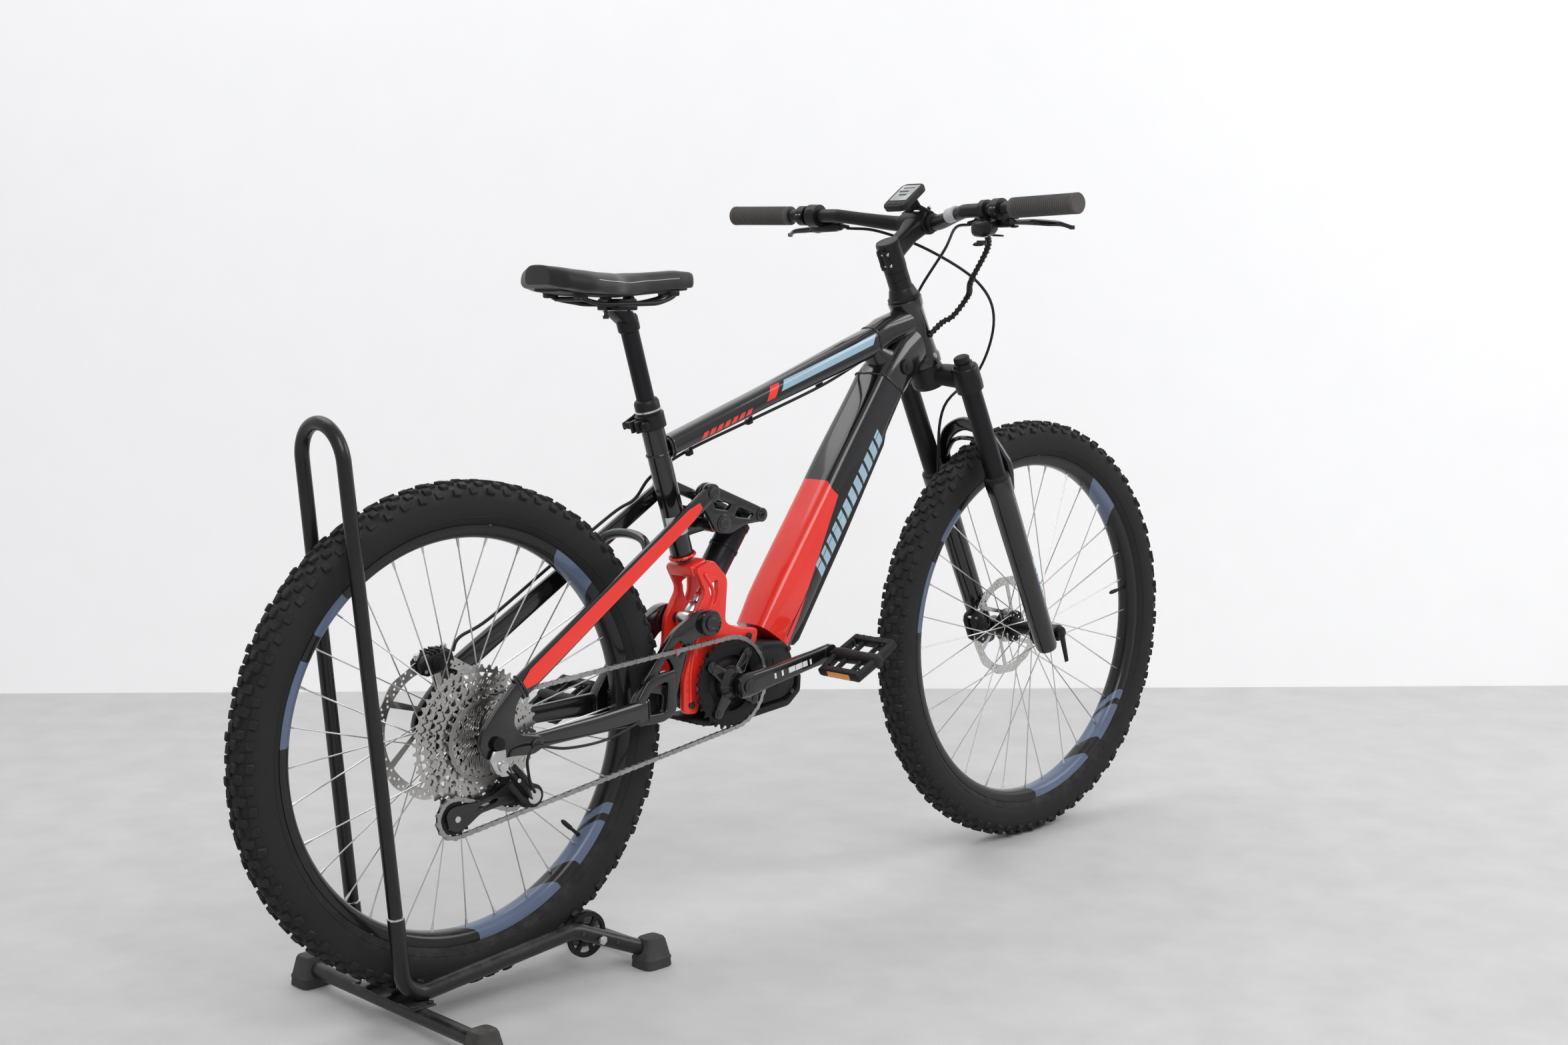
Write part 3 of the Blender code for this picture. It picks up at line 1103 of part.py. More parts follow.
def brake_lever(name, side):
    pivot = lever_pivot(side)
    path = [pivot + Vector((-0.004, -side * 0.004, 0)), pivot + Vector((0.022, side * 0.020, 0.0)),
            pivot + Vector((0.024, side * 0.050, -0.002)),
            pivot + Vector((0.020, side * 0.076, -0.004)),
            pivot + Vector((0.026, side * 0.094, -0.010))]
    finish(name, tube(smooth(path, 4), 0.0040, 3), BLACK, pivot)


def shift_paddle():
    ring = bar_point(-(GRIP_START - 0.030))
    root = ring + Vector((-0.006, 0.030, -0.0500))
    blade = join([rod(root + Vector((0, 0, 0.0015)), root - Vector((0, 0, 0.006)), 0.0080, sides=16),
                  beam(root - Vector((0, 0, 0.003)), root + Vector((-0.030, -0.018, -0.006)),
                       (0.012, 0.004), (0.018, 0.004), 0.0015, 1)])
    finish("shift_paddle", blade, PLASTIC, root)


def display():
    tilt = radians(35)
    centre = BAR_CLAMP + Vector((-0.034, 0, 0.040))
    ahead = Vector((cos(tilt), 0, sin(tilt)))
    pieces = [block(centre, (0.068, 0.050, 0.013), tilt, 0.004),
              beam(centre + ahead * 0.014 - Vector((0, 0, 0.004)),
                   BAR_CLAMP + Vector((-0.004, 0.0, 0.0228)), (0.020, 0.010), (0.024, 0.006))]
    finish("display", join(pieces), PLASTIC)


# ---- saddle and seat post ----
DROPPER_TRAVEL = 0.090
COLLAR_TOP = 0.0340
POST_TOP = 0.1480
RAIL_HEIGHT = 0.1780


def saddle_place():
    middle = on_seat_tube(RAIL_HEIGHT)
    return Vector((middle.x - 0.0110, 0, middle.z))


def seatpost():
    middle = saddle_place()
    pieces = [rod(on_seat_tube(-0.1600 + DROPPER_TRAVEL), on_seat_tube(POST_TOP), POST_RADIUS - 0.0016,
                  sides=16),
              rod(on_seat_tube(POST_TOP - 0.012), on_seat_tube(POST_TOP + 0.012), 0.0165, sides=16),
              beam(on_seat_tube(POST_TOP), middle + Vector((0, 0, -0.010)), (0.034, 0.030),
                   (0.034, 0.038), 0.004, 1),
              block(middle + Vector((0, 0, -0.0010)), (0.036, 0.052, 0.016), 0, 0.003)]
    rails = [rod(middle + Vector((-0.05, side * 0.0215, 0)), middle + Vector((0.05, side * 0.0215, 0)),
                 0.0042, sides=14) for side in (-1, 1)]
    finish("seatpost", cut(join(pieces), rails), SATIN, on_seat_tube(0))


def seat_clamp():
    outer = [rod(on_seat_tube(-0.012 + GAP), on_seat_tube(0.012), SEAT_TUBE_RADIUS + 0.0045, sides=16),
             rod(on_seat_tube(0.010), on_seat_tube(COLLAR_TOP), SEAT_TUBE_RADIUS + 0.0015, sides=16),
             block(on_seat_tube(0, 0.024), (0.016, 0.022, 0.018), SEAT_ANGLE - pi / 2)]
    bore = rod(on_seat_tube(-0.02), on_seat_tube(COLLAR_TOP + 0.01), POST_RADIUS - 0.0016 + RUNNING,
               sides=16)
    hole = rod(on_seat_tube(0, 0.025, -0.03), on_seat_tube(0, 0.025, 0.03), 0.0034, sides=12)
    finish("seat_clamp", cut(join(outer), [bore, hole]), BLACK)
    pivot = on_seat_tube(0, 0.025)
    handle = [rod(on_seat_tube(0, 0.025, -0.018), on_seat_tube(0, 0.025, 0.018), 0.0030, sides=12),
              rod(on_seat_tube(0, 0.025, 0.0116), on_seat_tube(0, 0.025, 0.028), 0.0055, sides=16),
              beam(on_seat_tube(0, 0.030, 0.0265), on_seat_tube(0.010, -0.022, 0.030),
                   (0.005, 0.012), (0.004, 0.014), 0.001, 1)]
    finish("seat_clamp_lever", join(handle), SATIN, pivot)


def saddle():
    middle = saddle_place()
    length, width = SADDLE_LENGTH, SADDLE_WIDTH
    tail = middle.x - length * 0.505
    stations = [(0.00, 0.40, 0.030, 0.056), (0.05, 0.80, 0.034, 0.054), (0.16, 1.00, 0.036, 0.050),
                (0.32, 0.86, 0.034, 0.046), (0.48, 0.52, 0.034, 0.044), (0.66, 0.34, 0.032, 0.046),
                (0.86, 0.29, 0.030, 0.048), (0.97, 0.24, 0.026, 0.046), (1.00, 0.12, 0.020, 0.044)]
    bm = bmesh.new()
    rings = []
    for share, wide, thick, high in stations:
        half = width / 2 * wide
        x, top = tail + length * share, middle.z + high
        section = [(0, top), (half * 0.55, top - 0.002), (half * 0.90, top - thick * 0.30),
                   (half, top - thick * 0.75), (half * 0.80, top - thick), (0, top - thick)]
        ring = section + [(-y, z) for y, z in section[-2:0:-1]]
        rings.append([bm.verts.new((x, y, z)) for y, z in ring])
    for a, b in zip(rings, rings[1:]):
        for i in range(len(a)):
            j = (i + 1) % len(a)
            bm.faces.new((a[i], a[j], b[j], b[i]))
    bm.faces.new(rings[0])
    bm.faces.new(rings[-1])
    bm.normal_update()
    bmesh.ops.recalc_face_normals(bm, faces=bm.faces)
    finish("saddle", from_bmesh(bm), LEATHER, middle)


def saddle_rails():
    middle = saddle_place()
    loop = []
    for side in (-1, 1):
        half = [(0.100, 0.010, 0.0115), (0.085, 0.014, 0.006), (0.060, 0.0195, 0.001),
                (0.035, 0.0215, 0.0), (-0.035, 0.0215, 0.0), (-0.060, 0.024, 0.003),
                (-0.085, 0.031, 0.0080)]
        loop.append([middle + Vector((x, side * y, z)) for x, y, z in half])
    path = list(reversed(loop[0])) + [middle + Vector((0.104, 0, 0.0120))] + loop[1]
    pieces = [tube(smooth(path, 2), 0.0035, 1),
              rod(middle + Vector((-0.085, -0.034, 0.0080)), middle + Vector((-0.085, 0.034, 0.0080)),
                  0.0038, sides=12)]
    finish("saddle_rails", join(pieces), BLACK)


# ---- hoses and cables, each along its real route ----
def hoses():
    left, right = lever_pivot(1), lever_pivot(-1)
    head = on_steerer(FORK_LENGTH + 0.075, 0.0)
    top_side = Vector((0, TOP_TUBE_WIDTH / 2, 0))
    under = TOP_DEPTH[1] / 2 + HOSE_RADIUS + 0.004
    down = Vector((0, 0, -1))
    stay_low = at(add(REAR_AXLE, 0.040, 0.068))
    stay_high = at(STAY_PIVOT)
    rear = [right + Vector((-0.012, 0.080, -0.002)), right + Vector((0.010, 0.130, -0.006)),
            right + Vector((0.052, 0.190, -0.040)), on_steerer(HEAD_TOP - 0.020, 0.085, 0.040),
            on_steerer(HEAD_TOP - 0.064, 0.030, 0.052), head + Vector((-0.040, 0.046, -0.052)),
            TOP_FRONT + down * under + Vector((0.02, 0.044, -0.006)),
            TOP_FRONT.lerp(TOP_REAR, 0.25) + down * (under + 0.004) + top_side * 0.5,
            TOP_FRONT.lerp(TOP_REAR, 0.60) + down * under + top_side * 0.5,
            TOP_FRONT.lerp(TOP_REAR, 0.88) + down * under + top_side,
            on_seat_tube(-0.090, 0.0, 0.030), on_seat_tube(-0.120, 0.020, 0.055),
            stay_high.lerp(stay_low, 0.22) + Vector((-0.012, 0.058, 0.020)),
            stay_high.lerp(stay_low, 0.50) + Vector((-0.012, 0.066, 0.022)),
            stay_high.lerp(stay_low, 0.80) + Vector((-0.012, 0.072, 0.024)),
            at(add(REAR_AXLE, 0.046, 0.122), 0.062), at(add(REAR_AXLE, 0.032, 0.104), 0.060)]
    finish("rear_brake_hose", tube(smooth(rear, 2), HOSE_RADIUS, 1), RUBBER)
    front = [left + Vector((-0.012, -0.080, -0.002)), left + Vector((0.014, -0.130, -0.008)),
             left + Vector((0.062, -0.200, -0.040)), on_steerer(HEAD_TOP - 0.030, 0.125, -0.052),
             on_steerer(FORK_LENGTH + 0.010, 0.150, -0.040),
             on_steerer(FORK_LENGTH - 0.070, 0.120, -0.004),
             on_steerer(LEG_TOP + 0.118, 0.046, 0.030), on_steerer(LEG_TOP + 0.030, 0.002, 0.040),
             on_steerer(LEG_TOP - 0.060, -0.012, 0.052), on_steerer(0.160, -0.014, 0.058),
             on_steerer(0.090, -0.016, 0.056)]
    finish("front_brake_hose", tube(smooth(front, 4), HOSE_RADIUS, 1), RUBBER)
    pod = bar_point(-(GRIP_START - 0.030)) + Vector((0.026, 0.044, -0.040))
    bundle = [pod, pod + Vector((0.022, 0.020, -0.022)), pod + Vector((0.030, 0.060, -0.072)),
              on_steerer(HEAD_TOP - 0.030, 0.074, -0.070), on_steerer(HEAD_TOP - 0.056, 0.052, -0.046),
              on_steerer(HEAD_TOP - 0.060, 0.036, -0.034)]
    finish("control_cables", tube(smooth(bundle, 3), BUNDLE_RADIUS, 1), RUBBER)


def build():
    stand_hoop()
    stand_rails()
    stand_cross_tube()
    stand_roller()
    wheels()
    cassette()
    head_tube()
    top_tube()
    down_tube()
    seat_tube()
    motor_cradle()
    motor()
    chainstays()
    seatstays()
    rocker()
    shock()
    cranks()
    for name, side in (("pedal_right", -1), ("pedal_left", 1)):
        pedal(name, side)
    chain()
    pulley("guide_pulley", GUIDE_PULLEY)
    pulley("tension_pulley", TENSION_PULLEY)
    derailleur()
    derailleur_cage()
    calipers()
    fork_crown()
    fork_lowers()
    handlebar()
    stem()
    for word, side in (("right", -1), ("left", 1)):
        grip("grip_" + word, side)
        brake_mount("brake_mount_" + word, side)
        brake_lever("brake_lever_" + word, side)
    shift_paddle()
    display()
    seatpost()
    seat_clamp()
    saddle()
    saddle_rails()
    hoses()


clear_scene()
parts = new_collection("bicycle_on_stand")
scratch = new_collection("cutters")
build()
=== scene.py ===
import json
from math import acos, atan2, cos, pi, radians, sin, tau

import bmesh
import bpy
from mathutils import Matrix, Vector


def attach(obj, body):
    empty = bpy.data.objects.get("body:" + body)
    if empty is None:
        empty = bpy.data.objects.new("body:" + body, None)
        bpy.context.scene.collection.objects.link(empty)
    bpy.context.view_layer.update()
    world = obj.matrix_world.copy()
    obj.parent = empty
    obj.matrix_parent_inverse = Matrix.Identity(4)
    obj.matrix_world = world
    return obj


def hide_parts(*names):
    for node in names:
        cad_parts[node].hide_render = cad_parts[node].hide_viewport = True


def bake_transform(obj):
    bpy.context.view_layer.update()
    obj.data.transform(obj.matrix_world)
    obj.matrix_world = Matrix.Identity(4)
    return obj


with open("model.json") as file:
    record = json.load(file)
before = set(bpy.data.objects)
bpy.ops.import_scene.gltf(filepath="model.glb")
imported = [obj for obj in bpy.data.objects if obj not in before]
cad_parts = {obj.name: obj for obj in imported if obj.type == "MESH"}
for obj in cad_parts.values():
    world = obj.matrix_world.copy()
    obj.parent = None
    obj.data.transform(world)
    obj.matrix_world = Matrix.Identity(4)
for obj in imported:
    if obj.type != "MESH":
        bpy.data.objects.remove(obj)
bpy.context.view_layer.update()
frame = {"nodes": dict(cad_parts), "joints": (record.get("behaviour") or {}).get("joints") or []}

for name in ("Cube", "Light", "Camera"):  # what a new file starts with
    if name in bpy.data.objects:
        bpy.data.objects.remove(bpy.data.objects[name])
print("frame loaded:", len(frame["nodes"]), "pieces")

# where the joints sit, and the directions that the rest is measured along
spot = {j["name"]: Vector(j["pos_m"]) for j in frame["joints"] if j.get("pos_m")}
rearAxle = spot["rear_wheel_spin"]
frontAxle = spot["front_wheel_spin"]
crankAxle = spot["crank_spin"]
bike = {"headAngle": radians(65.5), "forkOffset": 0.05, "forkLength": 0.5526, "headTube": 0.12,
        "seatAngle": radians(74.0), "clampFromCrank": (-0.11, 0.401),
        "rearRadius": 0.3515, "frontRadius": 0.3718, "rearRim": 0.272, "frontRim": 0.292}
steerUp = Vector((-cos(bike["headAngle"]), 0, sin(bike["headAngle"])))
steerAhead = Vector((sin(bike["headAngle"]), 0, cos(bike["headAngle"])))
steerFoot = frontAxle - steerAhead * bike["forkOffset"]
headTop = bike["forkLength"] + bike["headTube"]
seatUp = Vector((-cos(bike["seatAngle"]), 0, sin(bike["seatAngle"])))
seatBack = Vector((-sin(bike["seatAngle"]), 0, -cos(bike["seatAngle"])))
seatClamp = crankAxle + Vector((bike["clampFromCrank"][0], 0, bike["clampFromCrank"][1]))


def onSteerer(along, ahead=0.0, y=0.0):
    p = steerFoot + steerUp * along + steerAhead * ahead
    return Vector((p.x, y, p.z))


def onSeatTube(along, behind=0.0, y=0.0):
    p = seatClamp + seatUp * along + seatBack * behind
    return Vector((p.x, y, p.z))


def near(base, dx, dz, y=0.0):
    return Vector((base.x + dx, y, base.z + dz))


# modelling helpers
def deselectAll():
    if bpy.context.object and bpy.context.object.mode != "OBJECT":
        bpy.ops.object.mode_set(mode="OBJECT")
    bpy.ops.object.select_all(action="DESELECT")


def pick(obj):
    deselectAll()
    obj.select_set(True)
    bpy.context.view_layer.objects.active = obj
    return obj


def settle(obj):
    # bake place into the mesh, so that the object sits at the origin
    pick(obj)
    bpy.ops.object.transform_apply(location=True, rotation=True, scale=True)
    return obj


def clean(obj, merge=0.00002):
    pick(obj)
    bpy.ops.object.mode_set(mode="EDIT")
    bpy.ops.mesh.select_all(action="SELECT")
    bpy.ops.mesh.remove_doubles(threshold=merge)
    bpy.ops.mesh.normals_make_consistent(inside=False)
    bpy.ops.object.mode_set(mode="OBJECT")
    return obj


def smoothed(obj, angle=35):
    pick(obj)
    bpy.ops.object.shade_smooth_by_angle(angle=radians(angle))
    return obj


def addModifier(obj, kind, **values):
    mod = obj.modifiers.new(kind.lower(), kind)
    for key, value in values.items():
        setattr(mod, key, value)
    pick(obj)
    bpy.ops.object.modifier_apply(modifier=mod.name)
    return obj


def bevelled(obj, width, segments=2, angle=30):
    return addModifier(obj, "BEVEL", width=width, segments=segments, limit_method="ANGLE",
                       angle_limit=radians(angle), use_clamp_overlap=True)


def joined(pieces):
    pieces = [p for p in pieces if p]
    deselectAll()
    for p in pieces:
        p.select_set(True)
    bpy.context.view_layer.objects.active = pieces[0]
    if len(pieces) > 1:
        bpy.ops.object.join()
    return bpy.context.object


def rodShape(start, end, radius, endRadius=None, sides=24, bevel=0.0):
    start, end = Vector(start), Vector(end)
    way = end - start
    deselectAll()
    bpy.ops.mesh.primitive_cone_add(vertices=sides, radius1=radius,
                                    radius2=radius if endRadius is None else endRadius,
                                    depth=way.length, location=(start + end) / 2,
                                    rotation=way.to_track_quat("Z", "Y").to_euler())
    obj = settle(bpy.context.object)
    if bevel:
        bevelled(obj, bevel, 2, 40)
    return obj


def crossRod(point, y0, y1, radius, sides=24, bevel=0.0, endRadius=None):
    return rodShape((point.x, y0, point.z), (point.x, y1, point.z), radius, endRadius, sides, bevel)


def boxShape(centre, size, pitch=0.0, bevel=0.002, segments=3, yaw=0.0):
    deselectAll()
    bpy.ops.mesh.primitive_cube_add(size=1, location=(0, 0, 0))
    obj = bpy.context.object
    obj.scale = size
    settle(obj)
    if bevel:
        bevelled(obj, bevel, segments)
    obj.rotation_euler = (0, -pitch, yaw)
    obj.location = centre
    return settle(obj)


def tubeShape(points, radius, sides=16, smooth=True, steps=6, radii=None):
    # a curve with a round bevel, then a mesh
    curve = bpy.data.curves.new("run", "CURVE")
    curve.dimensions = "3D"
    curve.bevel_depth = radius
    curve.bevel_resolution = max(0, sides // 4 - 1)
    curve.use_fill_caps = True
    curve.resolution_u = steps
    spline = curve.splines.new("POLY")
    path = flowing(points, steps) if smooth else [Vector(p) for p in points]
    spline.points.add(len(path) - 1)
    for i, p in enumerate(path):
        spline.points[i].co = (*p, 1)
        if radii:
            spline.points[i].radius = radii(i / (len(path) - 1))
    obj = bpy.data.objects.new("run", curve)
    bpy.context.scene.collection.objects.link(obj)
    pick(obj)
    bpy.ops.object.convert(target="MESH")
    return clean(bpy.context.object)


def flowing(points, each=6):
    points = [Vector(p) for p in points]
    ends = [points[0] * 2 - points[1]] + points + [points[-1] * 2 - points[-2]]
    path = []
    for a, b, c, d in zip(ends, ends[1:], ends[2:], ends[3:]):
        for k in range(each):
            t = k / each
            path.append((b * 2 + (c - a) * t + (a * 2 - b * 5 + c * 4 - d) * t ** 2
                         + (b * 3 - a - c * 3 + d) * t ** 3) / 2)
    path.append(points[-1])
    return path


def arcBends(points, radius, steps=8):
    points = [Vector(p) for p in points]
    path = [points[0]]
    for before, here, after in zip(points, points[1:], points[2:]):
        back, ahead = (before - here).normalized(), (after - here).normalized()
        half = back.angle(ahead) / 2
        turn = pi - 2 * half
        reach = radius * cos(half) / sin(half)
        centre = here + (back + ahead).normalized() * (radius / sin(half))
        first, last = here + back * reach - centre, here + ahead * reach - centre
        for k in range(steps + 1):
            a = turn * k / steps
            path.append(centre + (first * sin(turn - a) + last * sin(a)) / sin(turn))
    path.append(points[-1])
    return path


def turnedShape(profile, point, y=0.0, steps=64, closed=True):
    # a section of (radius, y) pairs swung round the wheel's axis
    deselectAll()
    bpy.ops.mesh.primitive_plane_add(size=1)
    obj = bpy.context.object
    bm = bmesh.new()
    dots = [bm.verts.new((r, 0, along)) for r, along in profile]
    pairs = list(zip(dots, dots[1:])) + ([(dots[-1], dots[0])] if closed else [])
    for a, b in pairs:
        bm.edges.new((a, b))
    bm.to_mesh(obj.data)
    bm.free()
    addModifier(obj, "SCREW", steps=steps, render_steps=steps, use_merge_vertices=True,
                merge_threshold=0.00001, use_smooth_shade=True)
    obj.rotation_euler = (-pi / 2, 0, 0)
    obj.location = (point.x, y, point.z)
    settle(obj)
    return clean(obj)


def slabShape(outlines, y0, y1, bevel=0.0, corners=0.0, base=None, segments=2):
    # flat outlines of (x, z) points filled between y0 and y1; later outlines are holes
    curve = bpy.data.curves.new("slab", "CURVE")
    curve.dimensions = "2D"
    curve.fill_mode = "BOTH"
    curve.extrude = abs(y1 - y0) / 2 - bevel
    curve.bevel_depth = bevel
    curve.bevel_resolution = segments - 1
    curve.offset = -bevel
    for outline in outlines:
        if corners and outline is outlines[0]:
            outline = softCorners(outline, corners)
        spline = curve.splines.new("POLY")
        spline.points.add(len(outline) - 1)
        for dot, (x, z) in zip(spline.points, outline):
            dot.co = (x, z, 0, 1)
        spline.use_cyclic_u = True
    obj = bpy.data.objects.new("slab", curve)
    bpy.context.scene.collection.objects.link(obj)
    obj.rotation_euler = (pi / 2, 0, 0)
    obj.location = (base.x if base else 0, (y0 + y1) / 2, base.z if base else 0)
    pick(obj)
    bpy.ops.object.convert(target="MESH")
    settle(bpy.context.object)
    return clean(bpy.context.object)


def softCorners(outline, radius, steps=5):
    points = []
    for i, here in enumerate(outline):
        here = Vector(here)
        back = Vector(outline[i - 1]) - here
        ahead = Vector(outline[(i + 1) % len(outline)]) - here
        cut = min(radius, back.length * 0.45, ahead.length * 0.45)
        first, last = here + back.normalized() * cut, here + ahead.normalized() * cut
        for k in range(steps + 1):
            t = k / steps
            p = first * (1 - t) ** 2 + here * 2 * t * (1 - t) + last * t ** 2
            points.append((p.x, p.y))
    return points


def circlePoints(radius, count=20, centre=(0, 0), phase=0.0):
    return [(centre[0] + radius * cos(phase + tau * k / count),
             centre[1] + radius * sin(phase + tau * k / count)) for k in range(count)]


def loftShape(stations, sides=28, square=2.6, caps=True):
    # stations are (centre, across vector, deep vector): the half axes of a rounded section
    deselectAll()
    bpy.ops.mesh.primitive_grid_add(x_subdivisions=sides, y_subdivisions=len(stations) - 1, size=1)
    obj = bpy.context.object
    wide = len(obj.data.vertices) // len(stations)
    for i, vert in enumerate(obj.data.vertices):
        centre, across, deep = stations[i // wide][:3]
        power = stations[i // wide][3] if len(stations[i // wide]) > 3 else square
        t = tau * (i % wide) / (wide - 1)
        a = abs(cos(t)) ** (2 / power) * (1 if cos(t) >= 0 else -1)
        b = abs(sin(t)) ** (2 / power) * (1 if sin(t) >= 0 else -1)
        vert.co = Vector(centre) + Vector(across) * a + Vector(deep) * b
    clean(obj)
    if caps:
        bpy.ops.object.mode_set(mode="EDIT")
        bpy.ops.mesh.select_all(action="SELECT")
        bpy.ops.mesh.fill_holes(sides=0)
        bpy.ops.mesh.normals_make_consistent(inside=False)
        bpy.ops.object.mode_set(mode="OBJECT")
    return obj


def beamShape(start, end, startSize, endSize, square=3.2, sides=28, middle=None):
    # a tapered arm of rounded section; sizes are (across, deep), middle is an extra (t, across, deep)
    start, end = Vector(start), Vector(end)
    way = (end - start).normalized()
    across = way.cross(Vector((way.z, 0, -way.x))).normalized()
    deep = across.cross(way).normalized()
    rows = [(0.0, *startSize), (1.0, *endSize)]
    if middle:
        rows.insert(1, middle)
    return loftShape([(start.lerp(end, t), across * a / 2, deep * d / 2) for t, a, d in rows],
                     sides, square)


def manyOf(template, places):
    # one mesh holding a copy of the template at each place; the template goes away
    bm = bmesh.new()
    for place in places:
        before = len(bm.verts)
        bm.from_mesh(template.data)
        bm.verts.ensure_lookup_table()
        bmesh.ops.transform(bm, matrix=place, verts=bm.verts[before:])
    mesh = template.data
    bm.to_mesh(mesh)
    bm.free()
    mesh.update()
    return template


def latheShape(base, way, profile, sides=32, squash=1.0):
    # round sections strung along a direction: (distance, radius) pairs
    base, way = Vector(base), Vector(way).normalized()
    across = way.cross(Vector((way.z, 0, -way.x)) if abs(way.y) < 0.9 else Vector((0, 0, 1))).normalized()
    deep = across.cross(way).normalized()
    return loftShape([(base + way * d, across * r, deep * r * squash) for d, r in profile], sides, 2.0)


def aboutY(point, angle):
    # a turn about the wheel's axis; positive goes from +X towards +Z
    place = Matrix.Translation((point.x, 0, point.z))
    return place @ Matrix.Rotation(-angle, 4, "Y")


def give(obj, name, material, body, slot, *replaced, blended=None):
    # blended is (other body, start, end) for a piece that crosses a joint; such a piece is only baked where it
    # stands and left without a body, and the other body, start and end are not used
    obj.name = obj.data.name = name
    obj.data.materials.clear()
    obj.data.materials.append(material)
    if blended:
        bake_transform(obj)
    else:
        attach(obj, body)
    if replaced:
        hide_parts(*replaced)
    return obj


# materials
def groupWith(name, inputs, outputs):
    group = bpy.data.node_groups.new(name, "ShaderNodeTree")
    for label, kind, value in inputs:
        socket = group.interface.new_socket(label, in_out="INPUT", socket_type=kind)
        socket.default_value = value
    for label, kind in outputs:
        group.interface.new_socket(label, in_out="OUTPUT", socket_type=kind)
    return group, group.nodes.new("NodeGroupInput"), group.nodes.new("NodeGroupOutput")


def node(tree, kind, values=None, **settings):
    made = tree.nodes.new(kind)
    for key, value in settings.items():
        setattr(made, key, value)
    for key, value in (values or {}).items():
        made.inputs[key].default_value = value
    return made


def wornSurface():
    # colour that drifts a little, roughness with smears, a fine grain height, dust on what faces up
    inputs = [("Colour", "NodeSocketColor", (0.5, 0.5, 0.5, 1)),
              ("Dust Colour", "NodeSocketColor", (0.25, 0.23, 0.2, 1)),
              ("Roughness", "NodeSocketFloat", 0.4), ("Drift", "NodeSocketFloat", 0.1),
              ("Dust", "NodeSocketFloat", 0.1), ("Grain Scale", "NodeSocketFloat", 400.0),
              ("Smear", "NodeSocketFloat", 0.1)]
    outputs = [("Colour", "NodeSocketColor"), ("Roughness", "NodeSocketFloat"),
               ("Height", "NodeSocketFloat")]
    group, start, end = groupWith("wornSurface", inputs, outputs)
    link = group.links.new
    place = node(group, "ShaderNodeTexCoord").outputs["Object"]
    cloud = node(group, "ShaderNodeTexNoise", {"Scale": 9.0, "Detail": 5.0, "Roughness": 0.6})
    streak = node(group, "ShaderNodeTexNoise", {"Scale": 38.0, "Detail": 4.0, "Roughness": 0.7})
    grain = node(group, "ShaderNodeTexNoise", {"Detail": 3.0, "Roughness": 0.6})
    for texture in (cloud, streak, grain):
        link(place, texture.inputs["Vector"])
    link(start.outputs["Grain Scale"], grain.inputs["Scale"])
    shade = node(group, "ShaderNodeMapRange", {"From Min": 0.3, "From Max": 0.7, "To Min": -1.0,
                                               "To Max": 1.0})
    link(cloud.outputs["Fac"], shade.inputs["Value"])
    amount = node(group, "ShaderNodeMath", operation="MULTIPLY_ADD")
    link(shade.outputs["Result"], amount.inputs[0])
    link(start.outputs["Drift"], amount.inputs[1])
    amount.inputs[2].default_value = 1.0
    drifted = node(group, "ShaderNodeVectorMath", operation="SCALE")
    link(start.outputs["Colour"], drifted.inputs[0])
    link(amount.outputs[0], drifted.inputs["Scale"])
    normal = node(group, "ShaderNodeNewGeometry")
    split = node(group, "ShaderNodeSeparateXYZ")
    link(normal.outputs["Normal"], split.inputs[0])
    upward = node(group, "ShaderNodeMapRange", {"From Min": 0.1, "From Max": 1.0})
    link(split.outputs["Z"], upward.inputs["Value"])
    patch = node(group, "ShaderNodeMapRange", {"From Min": 0.42, "From Max": 0.72})
    link(streak.outputs["Fac"], patch.inputs["Value"])
    dusty = node(group, "ShaderNodeMath", operation="MULTIPLY")
    link(upward.outputs["Result"], dusty.inputs[0])
    link(patch.outputs["Result"], dusty.inputs[1])
    dustAmount = node(group, "ShaderNodeMath", operation="MULTIPLY")
    link(dusty.outputs[0], dustAmount.inputs[0])
    link(start.outputs["Dust"], dustAmount.inputs[1])
    mix = node(group, "ShaderNodeMix", data_type="RGBA")
    link(dustAmount.outputs[0], mix.inputs["Factor"])
    link(drifted.outputs["Vector"], mix.inputs["A"])
    link(start.outputs["Dust Colour"], mix.inputs["B"])
    link(mix.outputs["Result"], end.inputs["Colour"])
    rough = node(group, "ShaderNodeMath", operation="MULTIPLY_ADD")
    link(shade.outputs["Result"], rough.inputs[0])
    link(start.outputs["Smear"], rough.inputs[1])
    link(start.outputs["Roughness"], rough.inputs[2])
    more = node(group, "ShaderNodeMath", operation="ADD", use_clamp=True)
    link(rough.outputs[0], more.inputs[0])
    link(dustAmount.outputs[0], more.inputs[1])
    link(more.outputs[0], end.inputs["Roughness"])
    link(grain.outputs["Fac"], end.inputs["Height"])
    return group


wornGroup = wornSurface()


